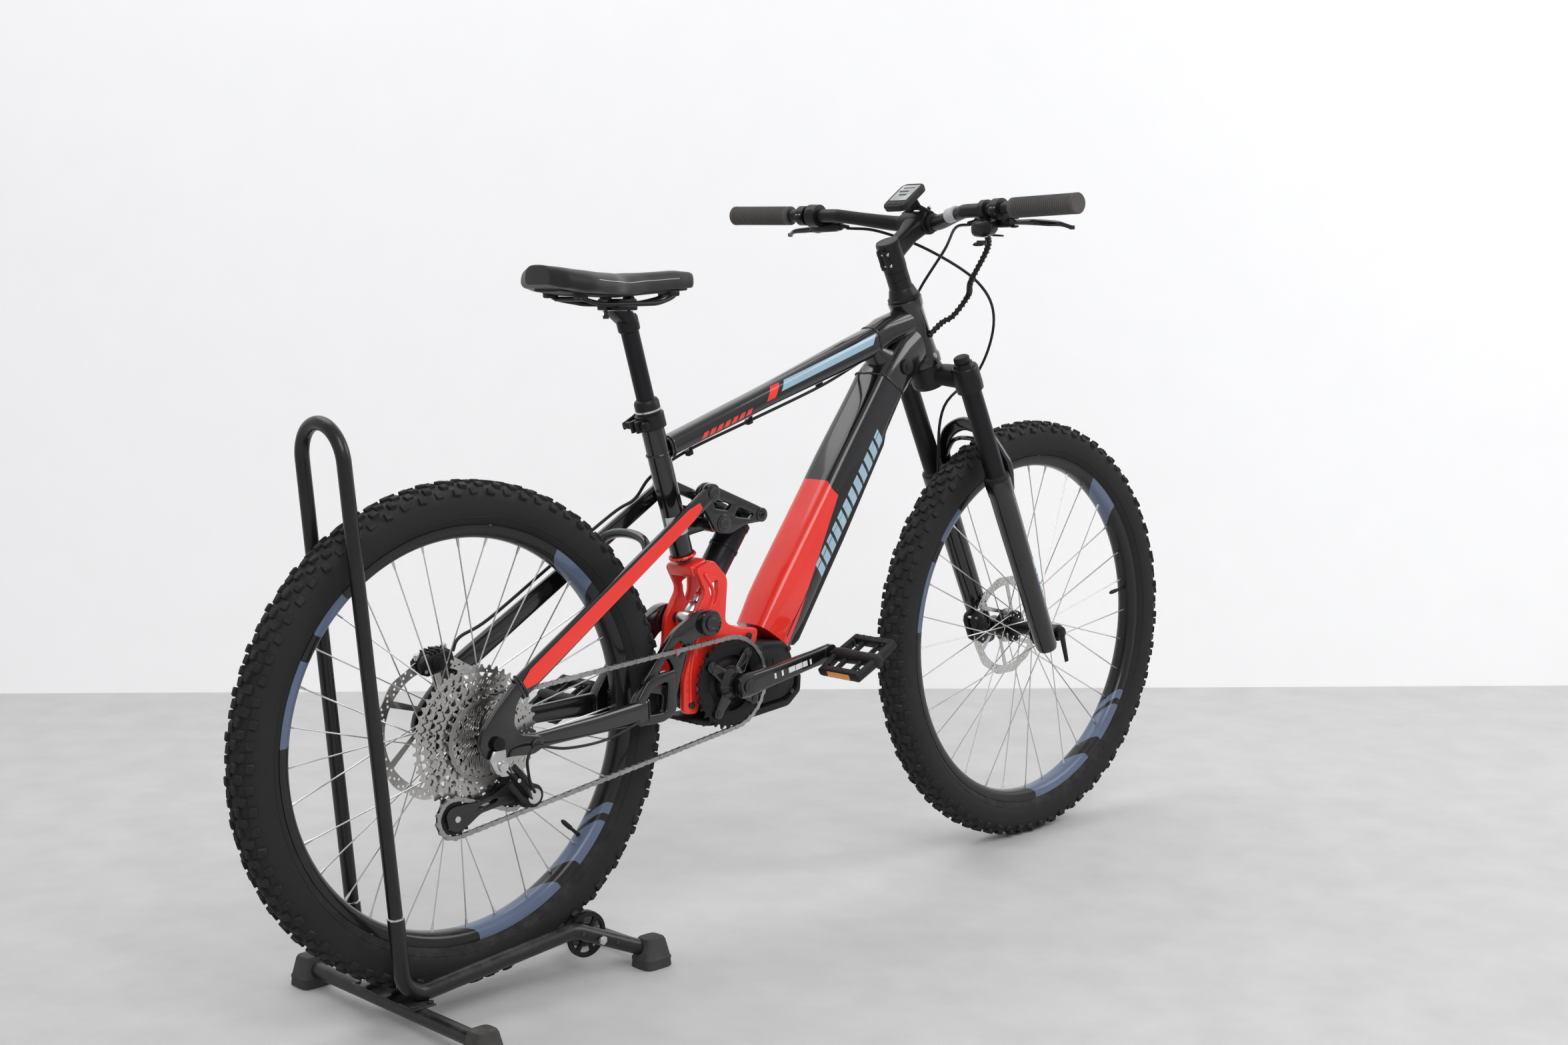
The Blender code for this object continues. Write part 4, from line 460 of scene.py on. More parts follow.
def makeMaterial(name, colour, rough=0.4, metal=0.0, coat=0.0, grain=(400, 0.05), drift=0.08,
                 dust=0.08, smear=0.06, paint=None, sheen=0.0, bumpDistance=0.0005, shine=0.32):
    # paint is a function that takes the tree and returns the socket holding the base colour
    material = bpy.data.materials.new(name)
    material.use_nodes = True
    tree = material.node_tree
    shader = tree.nodes["Principled BSDF"]
    worn = node(tree, "ShaderNodeGroup", node_tree=wornGroup)
    worn.inputs["Colour"].default_value = (*colour, 1)
    for key, value in (("Roughness", rough), ("Drift", drift), ("Dust", dust),
                       ("Grain Scale", grain[0]), ("Smear", smear)):
        worn.inputs[key].default_value = value
    if paint:
        tree.links.new(paint(tree), worn.inputs["Colour"])
    tree.links.new(worn.outputs["Colour"], shader.inputs["Base Color"])
    tree.links.new(worn.outputs["Roughness"], shader.inputs["Roughness"])
    shader.inputs["Metallic"].default_value = metal
    shader.inputs["Coat Weight"].default_value = coat
    shader.inputs["Coat Roughness"].default_value = 0.06
    shader.inputs["Specular IOR Level"].default_value = shine
    shader.inputs["Sheen Weight"].default_value = sheen
    bump = node(tree, "ShaderNodeBump", {"Strength": grain[1], "Distance": bumpDistance})
    tree.links.new(worn.outputs["Height"], bump.inputs["Height"])
    tree.links.new(bump.outputs["Normal"], shader.inputs["Normal"])
    return material


def alongSocket(tree, origin, direction):
    # how far a point lies along a direction from an origin, in metres
    place = node(tree, "ShaderNodeTexCoord").outputs["Object"]
    moved = node(tree, "ShaderNodeVectorMath", operation="SUBTRACT")
    moved.inputs[1].default_value = origin
    tree.links.new(place, moved.inputs[0])
    dot = node(tree, "ShaderNodeVectorMath", operation="DOT_PRODUCT")
    dot.inputs[1].default_value = direction
    tree.links.new(moved.outputs[0], dot.inputs[0])
    return dot.outputs["Value"]


def bandMask(tree, value, low, high):
    above = node(tree, "ShaderNodeMath", operation="GREATER_THAN")
    below = node(tree, "ShaderNodeMath", operation="LESS_THAN")
    both = node(tree, "ShaderNodeMath", operation="MULTIPLY")
    for step, edge in ((above, low), (below, high)):
        tree.links.new(value, step.inputs[0])
        step.inputs[1].default_value = edge
    tree.links.new(above.outputs[0], both.inputs[0])
    tree.links.new(below.outputs[0], both.inputs[1])
    return both.outputs[0]


def allOf(tree, masks):
    result = masks[0]
    for mask in masks[1:]:
        step = node(tree, "ShaderNodeMath", operation="MULTIPLY")
        tree.links.new(result, step.inputs[0])
        tree.links.new(mask, step.inputs[1])
        result = step.outputs[0]
    return result


def layered(tree, base, layers):
    # base colour, then (mask, colour) layers painted over it
    result = None
    for mask, colour in layers:
        mix = node(tree, "ShaderNodeMix", data_type="RGBA")
        tree.links.new(mask, mix.inputs["Factor"])
        if result:
            tree.links.new(result, mix.inputs["A"])
        else:
            mix.inputs["A"].default_value = (*base, 1)
        mix.inputs["B"].default_value = (*colour, 1)
        result = mix.outputs["Result"]
    return result


tone = {"black": (0.0065, 0.0065, 0.007), "red": (0.92, 0.035, 0.022), "blue": (0.36, 0.53, 0.64),
        "rimBlue": (0.115, 0.15, 0.235), "white": (0.75, 0.75, 0.76), "tyre": (0.017, 0.017, 0.0175)}
gloss = makeMaterial("gloss black paint", tone["black"], 0.22, coat=0.9, grain=(900, 0.02), dust=0.05)
redPaint = makeMaterial("red paint", tone["red"], 0.32, coat=0.6, grain=(900, 0.02), drift=0.04, dust=0.03)
satin = makeMaterial("satin black", (0.008, 0.008, 0.0085), 0.36, grain=(1200, 0.08))
anodised = makeMaterial("black anodised alloy", (0.022, 0.022, 0.024), 0.34, metal=0.7, grain=(1500, 0.06))
matt = makeMaterial("matt black plastic", (0.011, 0.011, 0.0115), 0.52, grain=(1800, 0.25), dust=0.12)
darkGrey = makeMaterial("dark grey alloy", (0.055, 0.055, 0.058), 0.38, metal=0.6, grain=(1200, 0.05))
silver = makeMaterial("bright steel", (0.66, 0.65, 0.63), 0.24, metal=1.0, grain=(1600, 0.06), dust=0.04)
cogSteel = makeMaterial("nickel cogs", (0.5, 0.49, 0.47), 0.3, metal=1.0, grain=(1300, 0.05), drift=0.15)
chainSteel = makeMaterial("chain steel", (0.38, 0.37, 0.36), 0.34, metal=1.0, grain=(900, 0.05), drift=0.25)
tyreRubber = makeMaterial("tyre rubber", tone["tyre"], 0.78, grain=(700, 0.35), drift=0.2, dust=0.3)
hoseRubber = makeMaterial("hose jacket", (0.012, 0.012, 0.013), 0.4, grain=(900, 0.05))
gripRubber = makeMaterial("grip rubber", (0.095, 0.088, 0.083), 0.8, grain=(1400, 0.5), drift=0.15,
        dust=0.2)
standPaint = makeMaterial("stand enamel", (0.011, 0.011, 0.0115), 0.34, coat=0.2, grain=(260, 0.1),
                          drift=0.35, dust=0.25, smear=0.14)
footRubber = makeMaterial("foot rubber", (0.05, 0.048, 0.046), 0.7, grain=(800, 0.3), drift=0.3, dust=0.4)
lightGrey = makeMaterial("pale print", (0.55, 0.56, 0.58), 0.4)
paleBlue = makeMaterial("pale blue print", tone["blue"], 0.35, coat=0.4)
whiteLabel = makeMaterial("white label", tone["white"], 0.45)
amber = makeMaterial("amber reflector", (0.95, 0.33, 0.02), 0.15, coat=1.0, grain=(250, 0.4))
screen = makeMaterial("display glass", (0.3, 0.34, 0.33), 0.08, coat=1.0, grain=(500, 0.0))
print("materials ready")

# stage, light and camera
def stage():
    deselectAll()
    bpy.ops.mesh.primitive_plane_add(size=14, location=(0, 0, 0))
    floor = bpy.context.object
    floor.name = "floor"
    floor.data.materials.append(makeMaterial("pale floor", (0.62, 0.615, 0.605), 0.6, dust=0.0, drift=0.06,
                                             grain=(60, 0.03)))
    bpy.ops.mesh.primitive_plane_add(size=14, location=(1.18, 1.216, 6.9), rotation=(pi / 2, 0, -0.7723))
    wall = bpy.context.object
    wall.name = "wall"
    wall.data.materials.append(makeMaterial("white wall", (0.93, 0.93, 0.93), 0.7, dust=0.0, drift=0.01,
                                            grain=(60, 0.02)))
    glow = wall.data.materials[0].node_tree.nodes["Principled BSDF"]
    glow.inputs["Emission Color"].default_value = (1, 1, 1, 1)
    glow.inputs["Emission Strength"].default_value = 0.17
    lights = [((-1.6, -3.0, 3.4), (0.0, 0, 0.5), 2.6, 60), ((2.6, -2.2, 2.6), (0.2, 0, 0.5), 2.0, 32),
              ((-0.5, 1.6, 3.6), (0, 0, 0.4), 2.4, 26)]
    for place, target, size, power in lights:
        lamp = bpy.data.lights.new("soft box", "AREA")
        lamp.shape = "DISK"
        lamp.size = size
        lamp.energy = power
        obj = bpy.data.objects.new("soft box", lamp)
        bpy.context.scene.collection.objects.link(obj)
        obj.location = place
        obj.rotation_euler = (Vector(target) - Vector(place)).to_track_quat("-Z", "Y").to_euler()
    world = bpy.data.worlds.new("studio")
    bpy.context.scene.world = world
    world.use_nodes = True
    world.node_tree.nodes["Background"].inputs["Color"].default_value = (0.95, 0.96, 1.0, 1)
    world.node_tree.nodes["Background"].inputs["Strength"].default_value = 0.56
    bpy.context.scene.view_settings.view_transform = "Standard"


def camera():
    data = bpy.data.cameras.new("camera")
    data.lens = 46.53
    data.sensor_width = 36
    obj = bpy.data.objects.new("camera", data)
    bpy.context.scene.collection.objects.link(obj)
    yaw, pitch, roll = 0.7723, -0.1201, -0.0051
    ahead = Vector((sin(yaw) * cos(pitch), cos(yaw) * cos(pitch), sin(pitch)))
    side = ahead.cross(Vector((0, 0, 1))).normalized()
    up = side.cross(ahead)
    turned = Matrix.Rotation(-roll, 3, ahead)
    side, up = turned @ side, turned @ up
    basis = Matrix((side, up, -ahead)).transposed().to_4x4()
    basis.translation = Vector((rearAxle.x - 1.586, -2.2673, 0.997))
    obj.matrix_world = basis
    bpy.context.scene.camera = obj


stage()
camera()
print("stage and camera ready")


# wheels
tread = {"steps": 76, "height": 0.0042, "centreBlock": (0.0125, 0.0088), "sideBlock": (0.0115, 0.0105),
         "width": 0.062, "seat": 0.0188}


def tyreAndRim(name, axle, radius, rimRadius):
    half = tread["width"] / 2
    crown = radius - tread["height"]
    bead = rimRadius + tread["seat"]
    side = [(bead, 0.0168), (bead + 0.002, 0.019), (bead + 0.0065, 0.0222), (bead + 0.013, 0.0256),
            (bead + 0.022, 0.0276), (radius - 0.03, 0.0281), (radius - 0.0215, 0.027),
            (radius - 0.014, 0.0238), (radius - 0.009, 0.0188), (crown - 0.0012, 0.011), (crown, 0.0)]
    profile = side + [(r, -y) for r, y in reversed(side[:-1])]
    pieces = [turnedShape(profile, axle, 0.0, 160)]
    rows = [(0.0062, radius, 0.0, 0.5, "centreBlock"), (0.0172, radius - 0.003, 20, 0.0, "sideBlock"),
            (half - 0.004, radius - 0.0125, 52, 0.5, "sideBlock")]
    blocks = []
    for offset, top, lean, phase, kind in rows:
        long, wide = tread[kind]
        for hand in (-1, 1):
            block = boxShape((0, 0, 0), (0.007, wide, long), 0, 0.0011, 1)
            pick(block)
            bpy.ops.object.mode_set(mode="EDIT")
            bpy.ops.mesh.select_all(action="SELECT")
            bpy.ops.transform.translate(value=(-0.0035, 0, 0))
            bpy.ops.object.mode_set(mode="OBJECT")
            places = []
            for k in range(tread["steps"]):
                turn = tau * (k + phase + (0.25 if hand > 0 else 0)) / tread["steps"]
                sway = 0.0012 * (-1) ** k
                places.append(aboutY(axle, turn) @ Matrix.Translation((top, hand * offset + sway, 0))
                              @ Matrix.Rotation(hand * radians(lean), 4, "Z")
                              @ Matrix.Rotation(hand * radians(9 if k % 2 else -4), 4, "X"))
            blocks.append(manyOf(block, places))
    # a thin raised line round each sidewall
    for hand in (-1, 1):
        line = [(bead + 0.01, 0.0238), (bead + 0.0107, 0.0252), (bead + 0.0114, 0.0246)]
        pieces.append(turnedShape([(r, hand * y) for r, y in line], axle, 0.0, 120))
    tyre = joined(pieces + blocks)
    give(smoothed(tyre, 40), name + "TyreKnobbed", tyreRubber, name + "_wheel", "tyre_rubber",
            name + "_tyre")
    h = 0.018
    side = [(rimRadius, 0.0045), (rimRadius + 0.0008, 0.0085), (rimRadius + 0.0035, 0.014),
            (rimRadius + 0.008, 0.0172), (rimRadius + 0.015, h), (rimRadius + 0.0185, h),
            (rimRadius + 0.0185, h - 0.0016), (rimRadius + 0.012, h - 0.0022),
            (rimRadius + 0.01, 0.006)]
    profile = side + [(r, -y) for r, y in reversed(side)]
    ring = smoothed(turnedShape(profile, axle, 0.0, 160), 30)
    give(ring, name + "RimShell", rimPaint(name, axle), name + "_wheel", "black_paint", name + "_rim")


def rimPaint(name, axle):
    # blue-grey slanted patches in two groups on opposite sides of the rim
    def paint(tree):
        away = alongSocket(tree, axle, (1, 0, 0))
        up = alongSocket(tree, axle, (0, 0, 1))
        across = alongSocket(tree, axle, (0, 1, 0))
        turn = node(tree, "ShaderNodeMath", operation="ARCTAN2")
        tree.links.new(up, turn.inputs[0])
        tree.links.new(away, turn.inputs[1])
        slant = node(tree, "ShaderNodeMath", operation="MULTIPLY_ADD")
        tree.links.new(across, slant.inputs[0])
        slant.inputs[1].default_value = 5.0
        tree.links.new(turn.outputs[0], slant.inputs[2])
        layers = []
        for low, high in ((-0.95, -0.7), (-1.62, -1.1), (-0.66, -0.6), (2.55, 2.95), (2.2, 2.42),
                (0.62, 0.9)):
            layers.append((bandMask(tree, slant.outputs[0], low, high), tone["rimBlue"]))
        return layered(tree, tone["black"], layers)
    return makeMaterial(name + " rim paint", tone["black"], 0.3, coat=0.3, grain=(900, 0.03), paint=paint)


spoke = {"count": 32, "radius": 0.00105, "lead": radians(72), "nipple": 0.0024}


def spokedHub(name, axle, rimRadius, flangeRadius, flanges, body, body0):
    shell = latheShape((axle.x, 0, axle.z), (0, 1, 0), body, 48)
    pieces = []
    perSet = spoke["count"] // 4
    for side, flangeY in zip((1, -1), flanges):
        for lead in (1, -1):
            for k in range(perSet):
                outer = tau * (k + (0.25 if side > 0 else 0) + (0.5 if lead > 0 else 0)) / perSet
                inner = outer + lead * spoke["lead"]
                head = near(axle, flangeRadius * cos(inner), flangeRadius * sin(inner),
                        flangeY + 0.0009 * lead)
                reach = rimRadius + 0.0005
                tip = near(axle, reach * cos(outer), reach * sin(outer), side * 0.003)
                pieces.append(rodShape(head, tip, spoke["radius"], sides=8))
                cap = tip + (head - tip).normalized() * 0.013
                pieces.append(rodShape(cap, tip, 0.0014, spoke["nipple"], sides=8))
                pieces.append(crossRod(head, head.y - 0.0016, head.y + 0.0016, 0.0021, 10))
    give(smoothed(joined(pieces), 40), name + "Spokes", silver, name + "_wheel", "steel")
    holes = []
    for flangeY in flanges:
        ring = [circlePoints(flangeRadius + 0.0045, 48)]
        ring += [circlePoints(0.0035, 12, (0.0195 * cos(a), 0.0195 * sin(a)))
                 for a in (tau * k / 8 for k in range(8))]
        ring.append(circlePoints(0.012, 24))
        holes.append(slabShape(ring, flangeY - 0.0016, flangeY + 0.0016, 0.0003, base=axle))
    end0 = crossRod(axle, body0, body0 + (0.004 if body0 > 0 else -0.004), 0.01, 32, 0.001)
    hub = joined([shell, end0] + holes)
    give(smoothed(hub, 35), name + "HubShell", anodised, name + "_wheel", "satin_black", name + "_hub")


def discRotor(name, axle, radius, y, bore):
    # waved outer edge, slotted windows between swept arms, drilled band
    waved = [((radius - 0.0012 - 0.0012 * cos(12 * a)) * cos(a),
            (radius - 0.0012 - 0.0012 * cos(12 * a)) * sin(a))
             for a in (tau * k / 144 for k in range(144))]
    outlines = [waved, circlePoints(bore, 32)]
    arms = 6
    for k in range(arms):
        a0 = tau * k / arms
        window = []
        inner, outer = 0.031, radius - 0.0165
        for i in range(7):
            a = a0 + 0.14 + (tau / arms - 0.28) * i / 6
            window.append((inner * cos(a), inner * sin(a)))
        for i in range(9, -1, -1):
            a = a0 + 0.5 + 0.06 + (tau / arms - 0.12) * i / 9
            window.append((outer * cos(a), outer * sin(a)))
        outlines.append(window)
        outlines.append(circlePoints(0.0026, 10, (0.0245 * cos(a0), 0.0245 * sin(a0))))
    for k in range(30):
        a = tau * k / 30
        for step, r in ((0.0, radius - 0.0045), (0.07, radius - 0.0085), (0.14, radius - 0.0125)):
            outlines.append(circlePoints(0.0019, 8, (r * cos(a + step), r * sin(a + step))))
    disc = slabShape(outlines, y - 0.0009, y + 0.0009, 0.0, base=axle)
    bolts = [crossRod(near(axle, 0.0245 * cos(a), 0.0245 * sin(a)), y, y + 0.0034, 0.0036, 6, 0.0003)
             for a in (tau * k / arms for k in range(arms))]
    give(smoothed(disc, 35), name + "RotorDisc", silver, name + "_wheel", "steel", name + "_rotor")
    give(smoothed(joined(bolts), 35), name + "RotorBolts", darkGrey, name + "_wheel", "steel")


def wheelTrim(name, axle, rimRadius, angle):
    # a valve with its cap on the inside of the rim
    way = Vector((-cos(angle), 0, -sin(angle)))
    foot = near(axle, 0, 0) - way * (rimRadius + 0.001)
    valve = latheShape(foot, way, [(0, 0.0034), (0.003, 0.0034), (0.0035, 0.0026), (0.02, 0.0026),
            (0.021, 0.0036),
                                   (0.036, 0.0036), (0.04, 0.0026), (0.042, 0.0012)], 16)
    give(smoothed(valve, 30), name + "Valve", matt, name + "_wheel", "plastic")


print("wheel tools ready")
tyreAndRim("rear", rearAxle, bike["rearRadius"], bike["rearRim"])
tyreAndRim("front", frontAxle, bike["frontRadius"], bike["frontRim"])
spokedHub("rear", rearAxle, bike["rearRim"], 0.027, (0.042, -0.024),
          [(-0.0735, 0.01), (-0.0735, 0.016), (-0.034, 0.0165), (-0.031, 0.018), (-0.018, 0.017),
           (-0.01, 0.015), (0.026, 0.015), (0.036, 0.02), (0.047, 0.021), (0.053, 0.0195),
           (0.0565, 0.0195), (0.06, 0.013), (0.064, 0.011), (0.0735, 0.0105)], 0.0735)
spokedHub("front", frontAxle, bike["frontRim"], 0.024, (0.027, -0.033),
          [(-0.0545, 0.0105), (-0.044, 0.011), (-0.041, 0.015), (-0.033, 0.018), (-0.024, 0.016),
           (-0.014, 0.0125), (0.01, 0.0125), (0.02, 0.0165), (0.03, 0.019), (0.0385, 0.018),
           (0.0435, 0.0175), (0.047, 0.012), (0.0545, 0.0105)], 0.048)
discRotor("rear", rearAxle, 0.1015, 0.058, 0.02)
discRotor("front", frontAxle, 0.09, 0.045, 0.0175)
wheelTrim("rear", rearAxle, bike["rearRim"], radians(-42))
wheelTrim("front", frontAxle, bike["frontRim"], radians(8))
print("wheels built")

# main frame
tubes = {"seatRadius": 0.0175, "seatFoot": -0.22}
topFront = onSteerer(bike["forkLength"] + 0.09, -0.1)
topRear = onSeatTube(-0.047, -tubes["seatRadius"] - 0.001)
downTop = onSteerer(bike["forkLength"] + 0.018, -0.112)
downFoot = near(crankAxle, 0.115, 0.052)
downWay = (downTop - downFoot).normalized()
downSquare = Vector((downWay.z, 0, -downWay.x))


def bentStations(start, end, sizes, sag, square, count=9):
    # a tube whose size and height change smoothly along it; sizes are (t, across, deep)
    way = (end - start).normalized()
    up = Vector((-way.z, 0, way.x))
    stations = []
    for k in range(count):
        t = k / (count - 1)
        for (t0, a0, d0), (t1, a1, d1) in zip(sizes, sizes[1:]):
            if t0 <= t <= t1:
                s = (t - t0) / (t1 - t0)
                s = s * s * (3 - 2 * s)
                across, deep = a0 + (a1 - a0) * s, d0 + (d1 - d0) * s
                break
        centre = start.lerp(end, t) + up * sag * 4 * t * (1 - t)
        stations.append((centre, Vector((0, across / 2, 0)), up * deep / 2, square))
    return stations


def weldBead(centre, way, across, deep, square=2.6, radius=0.0017, ripples=70):
    # a ring of overlapping puddles round a joint
    way = way.normalized()
    side = Vector((0, 1, 0))
    up = side.cross(way).normalized()
    points = []
    for k in range(ripples):
        t = tau * k / ripples
        a = abs(cos(t)) ** (2 / square) * (1 if cos(t) >= 0 else -1)
        b = abs(sin(t)) ** (2 / square) * (1 if sin(t) >= 0 else -1)
        points.append(centre + side * across * a + up * deep * b + way * 0.0006 * (-1) ** k)
    return tubeShape(points + points[:1], radius, 8, False,
            radii=lambda t: 0.9 + 0.25 * (int(t * ripples) % 2))


def topTubePaint(tree):
    way = (topFront - topRear).normalized()
    up = Vector((-way.z, 0, way.x))
    long = (topFront - topRear).length
    along = alongSocket(tree, topRear, way)
    high = alongSocket(tree, topRear, up)
    slant = node(tree, "ShaderNodeMath", operation="MULTIPLY_ADD")
    tree.links.new(high, slant.inputs[0])
    slant.inputs[1].default_value = -0.9
    tree.links.new(along, slant.inputs[2])
    side = alongSocket(tree, (0, 0, 0), (0, -1, 0))
    rightSide = bandMask(tree, side, 0.0125, 0.05)
    leftSide = bandMask(tree, side, -0.05, -0.0125)
    either = node(tree, "ShaderNodeMath", operation="ADD")
    tree.links.new(rightSide, either.inputs[0])
    tree.links.new(leftSide, either.inputs[1])
    stripe = allOf(tree, [bandMask(tree, slant.outputs[0], long * 0.5, long * 0.96),
                          bandMask(tree, high, 0.0005, 0.0145), either.outputs[0]])
    block = allOf(tree, [bandMask(tree, slant.outputs[0], long * 0.435, long * 0.478),
                         bandMask(tree, high, -0.004, 0.0145), either.outputs[0]])
    layers = [(stripe, tone["blue"]), (block, tone["red"])]
    for k in range(7):
        dash = bandMask(tree, slant.outputs[0], long * (0.14 + 0.034 * k), long * (0.162 + 0.034 * k))
        layers.append((allOf(tree, [dash, bandMask(tree, high, -0.01, -0.002), either.outputs[0]]),
                tone["red"]))
    return layered(tree, tone["black"], layers)


def downTubePaint(tree):
    # red towards the saddle and over the lower part, black along the sides
    along = alongSocket(tree, downFoot, downWay)
    back = alongSocket(tree, downFoot, -downSquare)
    side = alongSocket(tree, (0, 0, 0), (0, 1, 0))
    wide = node(tree, "ShaderNodeMath", operation="ABSOLUTE")
    tree.links.new(side, wide.inputs[0])
    edge = node(tree, "ShaderNodeMath", operation="MULTIPLY_ADD")
    tree.links.new(along, edge.inputs[0])
    edge.inputs[1].default_value = -0.16
    tree.links.new(back, edge.inputs[2])
    redFace = allOf(tree, [bandMask(tree, edge.outputs[0], -0.0265, 0.2), bandMask(tree, along, -0.05,
            0.262)])
    chamfer = node(tree, "ShaderNodeMath", operation="MULTIPLY_ADD")
    tree.links.new(wide.outputs[0], chamfer.inputs[0])
    chamfer.inputs[1].default_value = 1.0
    tree.links.new(along, chamfer.inputs[2])
    notch = bandMask(tree, chamfer.outputs[0], 0.0, 0.288)
    # a row of plain slanted bars on the black side faces
    slant = node(tree, "ShaderNodeMath", operation="MULTIPLY_ADD")
    tree.links.new(back, slant.inputs[0])
    slant.inputs[1].default_value = -0.35
    tree.links.new(along, slant.inputs[2])
    layers = []
    row = [bandMask(tree, back, -0.029, -0.0045), bandMask(tree, wide.outputs[0], 0.031, 0.06)]
    for k in range(12):
        start = 0.135 + 0.0215 * k
        layers.append((allOf(tree, [bandMask(tree, slant.outputs[0], start, start + 0.0155)] + row),
                tone["blue"]))
    layers.append((allOf(tree, [redFace, notch]), tone["red"]))
    return layered(tree, tone["black"], layers)


def mainTubes():
    topPaint = makeMaterial("top tube paint", tone["black"], 0.2, coat=0.9, grain=(900, 0.02), dust=0.05,
                            paint=topTubePaint)
    sizes = [(0.0, 0.033, 0.031), (0.35, 0.034, 0.033), (1.0, 0.0414, 0.046)]
    top = loftShape(bentStations(topRear - (topFront - topRear).normalized() * 0.004, topFront, sizes, 0.0,
            3.0, 15), 48)
    give(smoothed(top, 50), "topTubeShell", topPaint, "frame", "black_paint", "top_tube")
    downPaint = makeMaterial("down tube paint", tone["black"], 0.22, coat=0.8, grain=(900, 0.02), dust=0.05,
                             paint=downTubePaint)
    sizes = [(0.0, 0.07, 0.08), (0.12, 0.076, 0.086), (0.6, 0.0745, 0.078), (1.0, 0.07, 0.067)]
    down = loftShape(bentStations(downFoot, downTop, sizes, 0.0, 4.4, 21), 72)
    give(smoothed(down, 50), "downTubeShell", downPaint, "frame", "red_paint", "down_tube")
    seam = []
    for side in (-1, 1):
        seam.append(tubeShape([downFoot + downWay * d + downSquare * (0.0125 - 0.006 * d) + Vector((0,
                side * (0.0381 - 0.003 * max(0, d - 0.05) / 0.4), 0))
                               for d in (0.01, 0.1, 0.2, 0.3, 0.4)], 0.0007, 8))
    give(smoothed(joined(seam), 60), "batterySeam", matt, "frame", "plastic")


def battery():
    # the cover on the underside of the down tube, with the pack inside it and a row of small ribs
    stations = []
    for t, wide, deep, out in ((0.0, 0.05, 0.02, 0.03), (0.012, 0.062, 0.03, 0.033), (0.04, 0.067, 0.033,
            0.0345),
                               (0.5, 0.067, 0.033, 0.0325), (0.94, 0.064, 0.03, 0.0285), (0.985, 0.058,
                               0.026, 0.0265), (1.0, 0.048, 0.018, 0.024)):
        centre = downFoot + downWay * (0.005 + 0.394 * t) + downSquare * out
        stations.append((centre, Vector((0, wide / 2, 0)), downSquare * deep / 2, 3.4))
    cover = loftShape(stations, 56)
    pack = beamShape(downFoot + downWay * 0.006 + downSquare * 0.016,
            downFoot + downWay * 0.396 + downSquare * 0.014,
                     (0.062, 0.05), (0.06, 0.046), 6.0, 32)
    ribs = []
    for k in range(5):
        middle = downFoot + downWay * (0.045 + 0.014 * k) + downSquare * 0.05
        ribs.append(beamShape(middle + Vector((0, -0.022, 0)), middle + Vector((0, 0.022, 0)),
                (0.0024, 0.003), (0.0024, 0.003), 3.0, 12))
    give(smoothed(joined([cover, pack] + ribs), 45), "batteryCover", satin, "battery_pack", "satin_black",
            "battery")


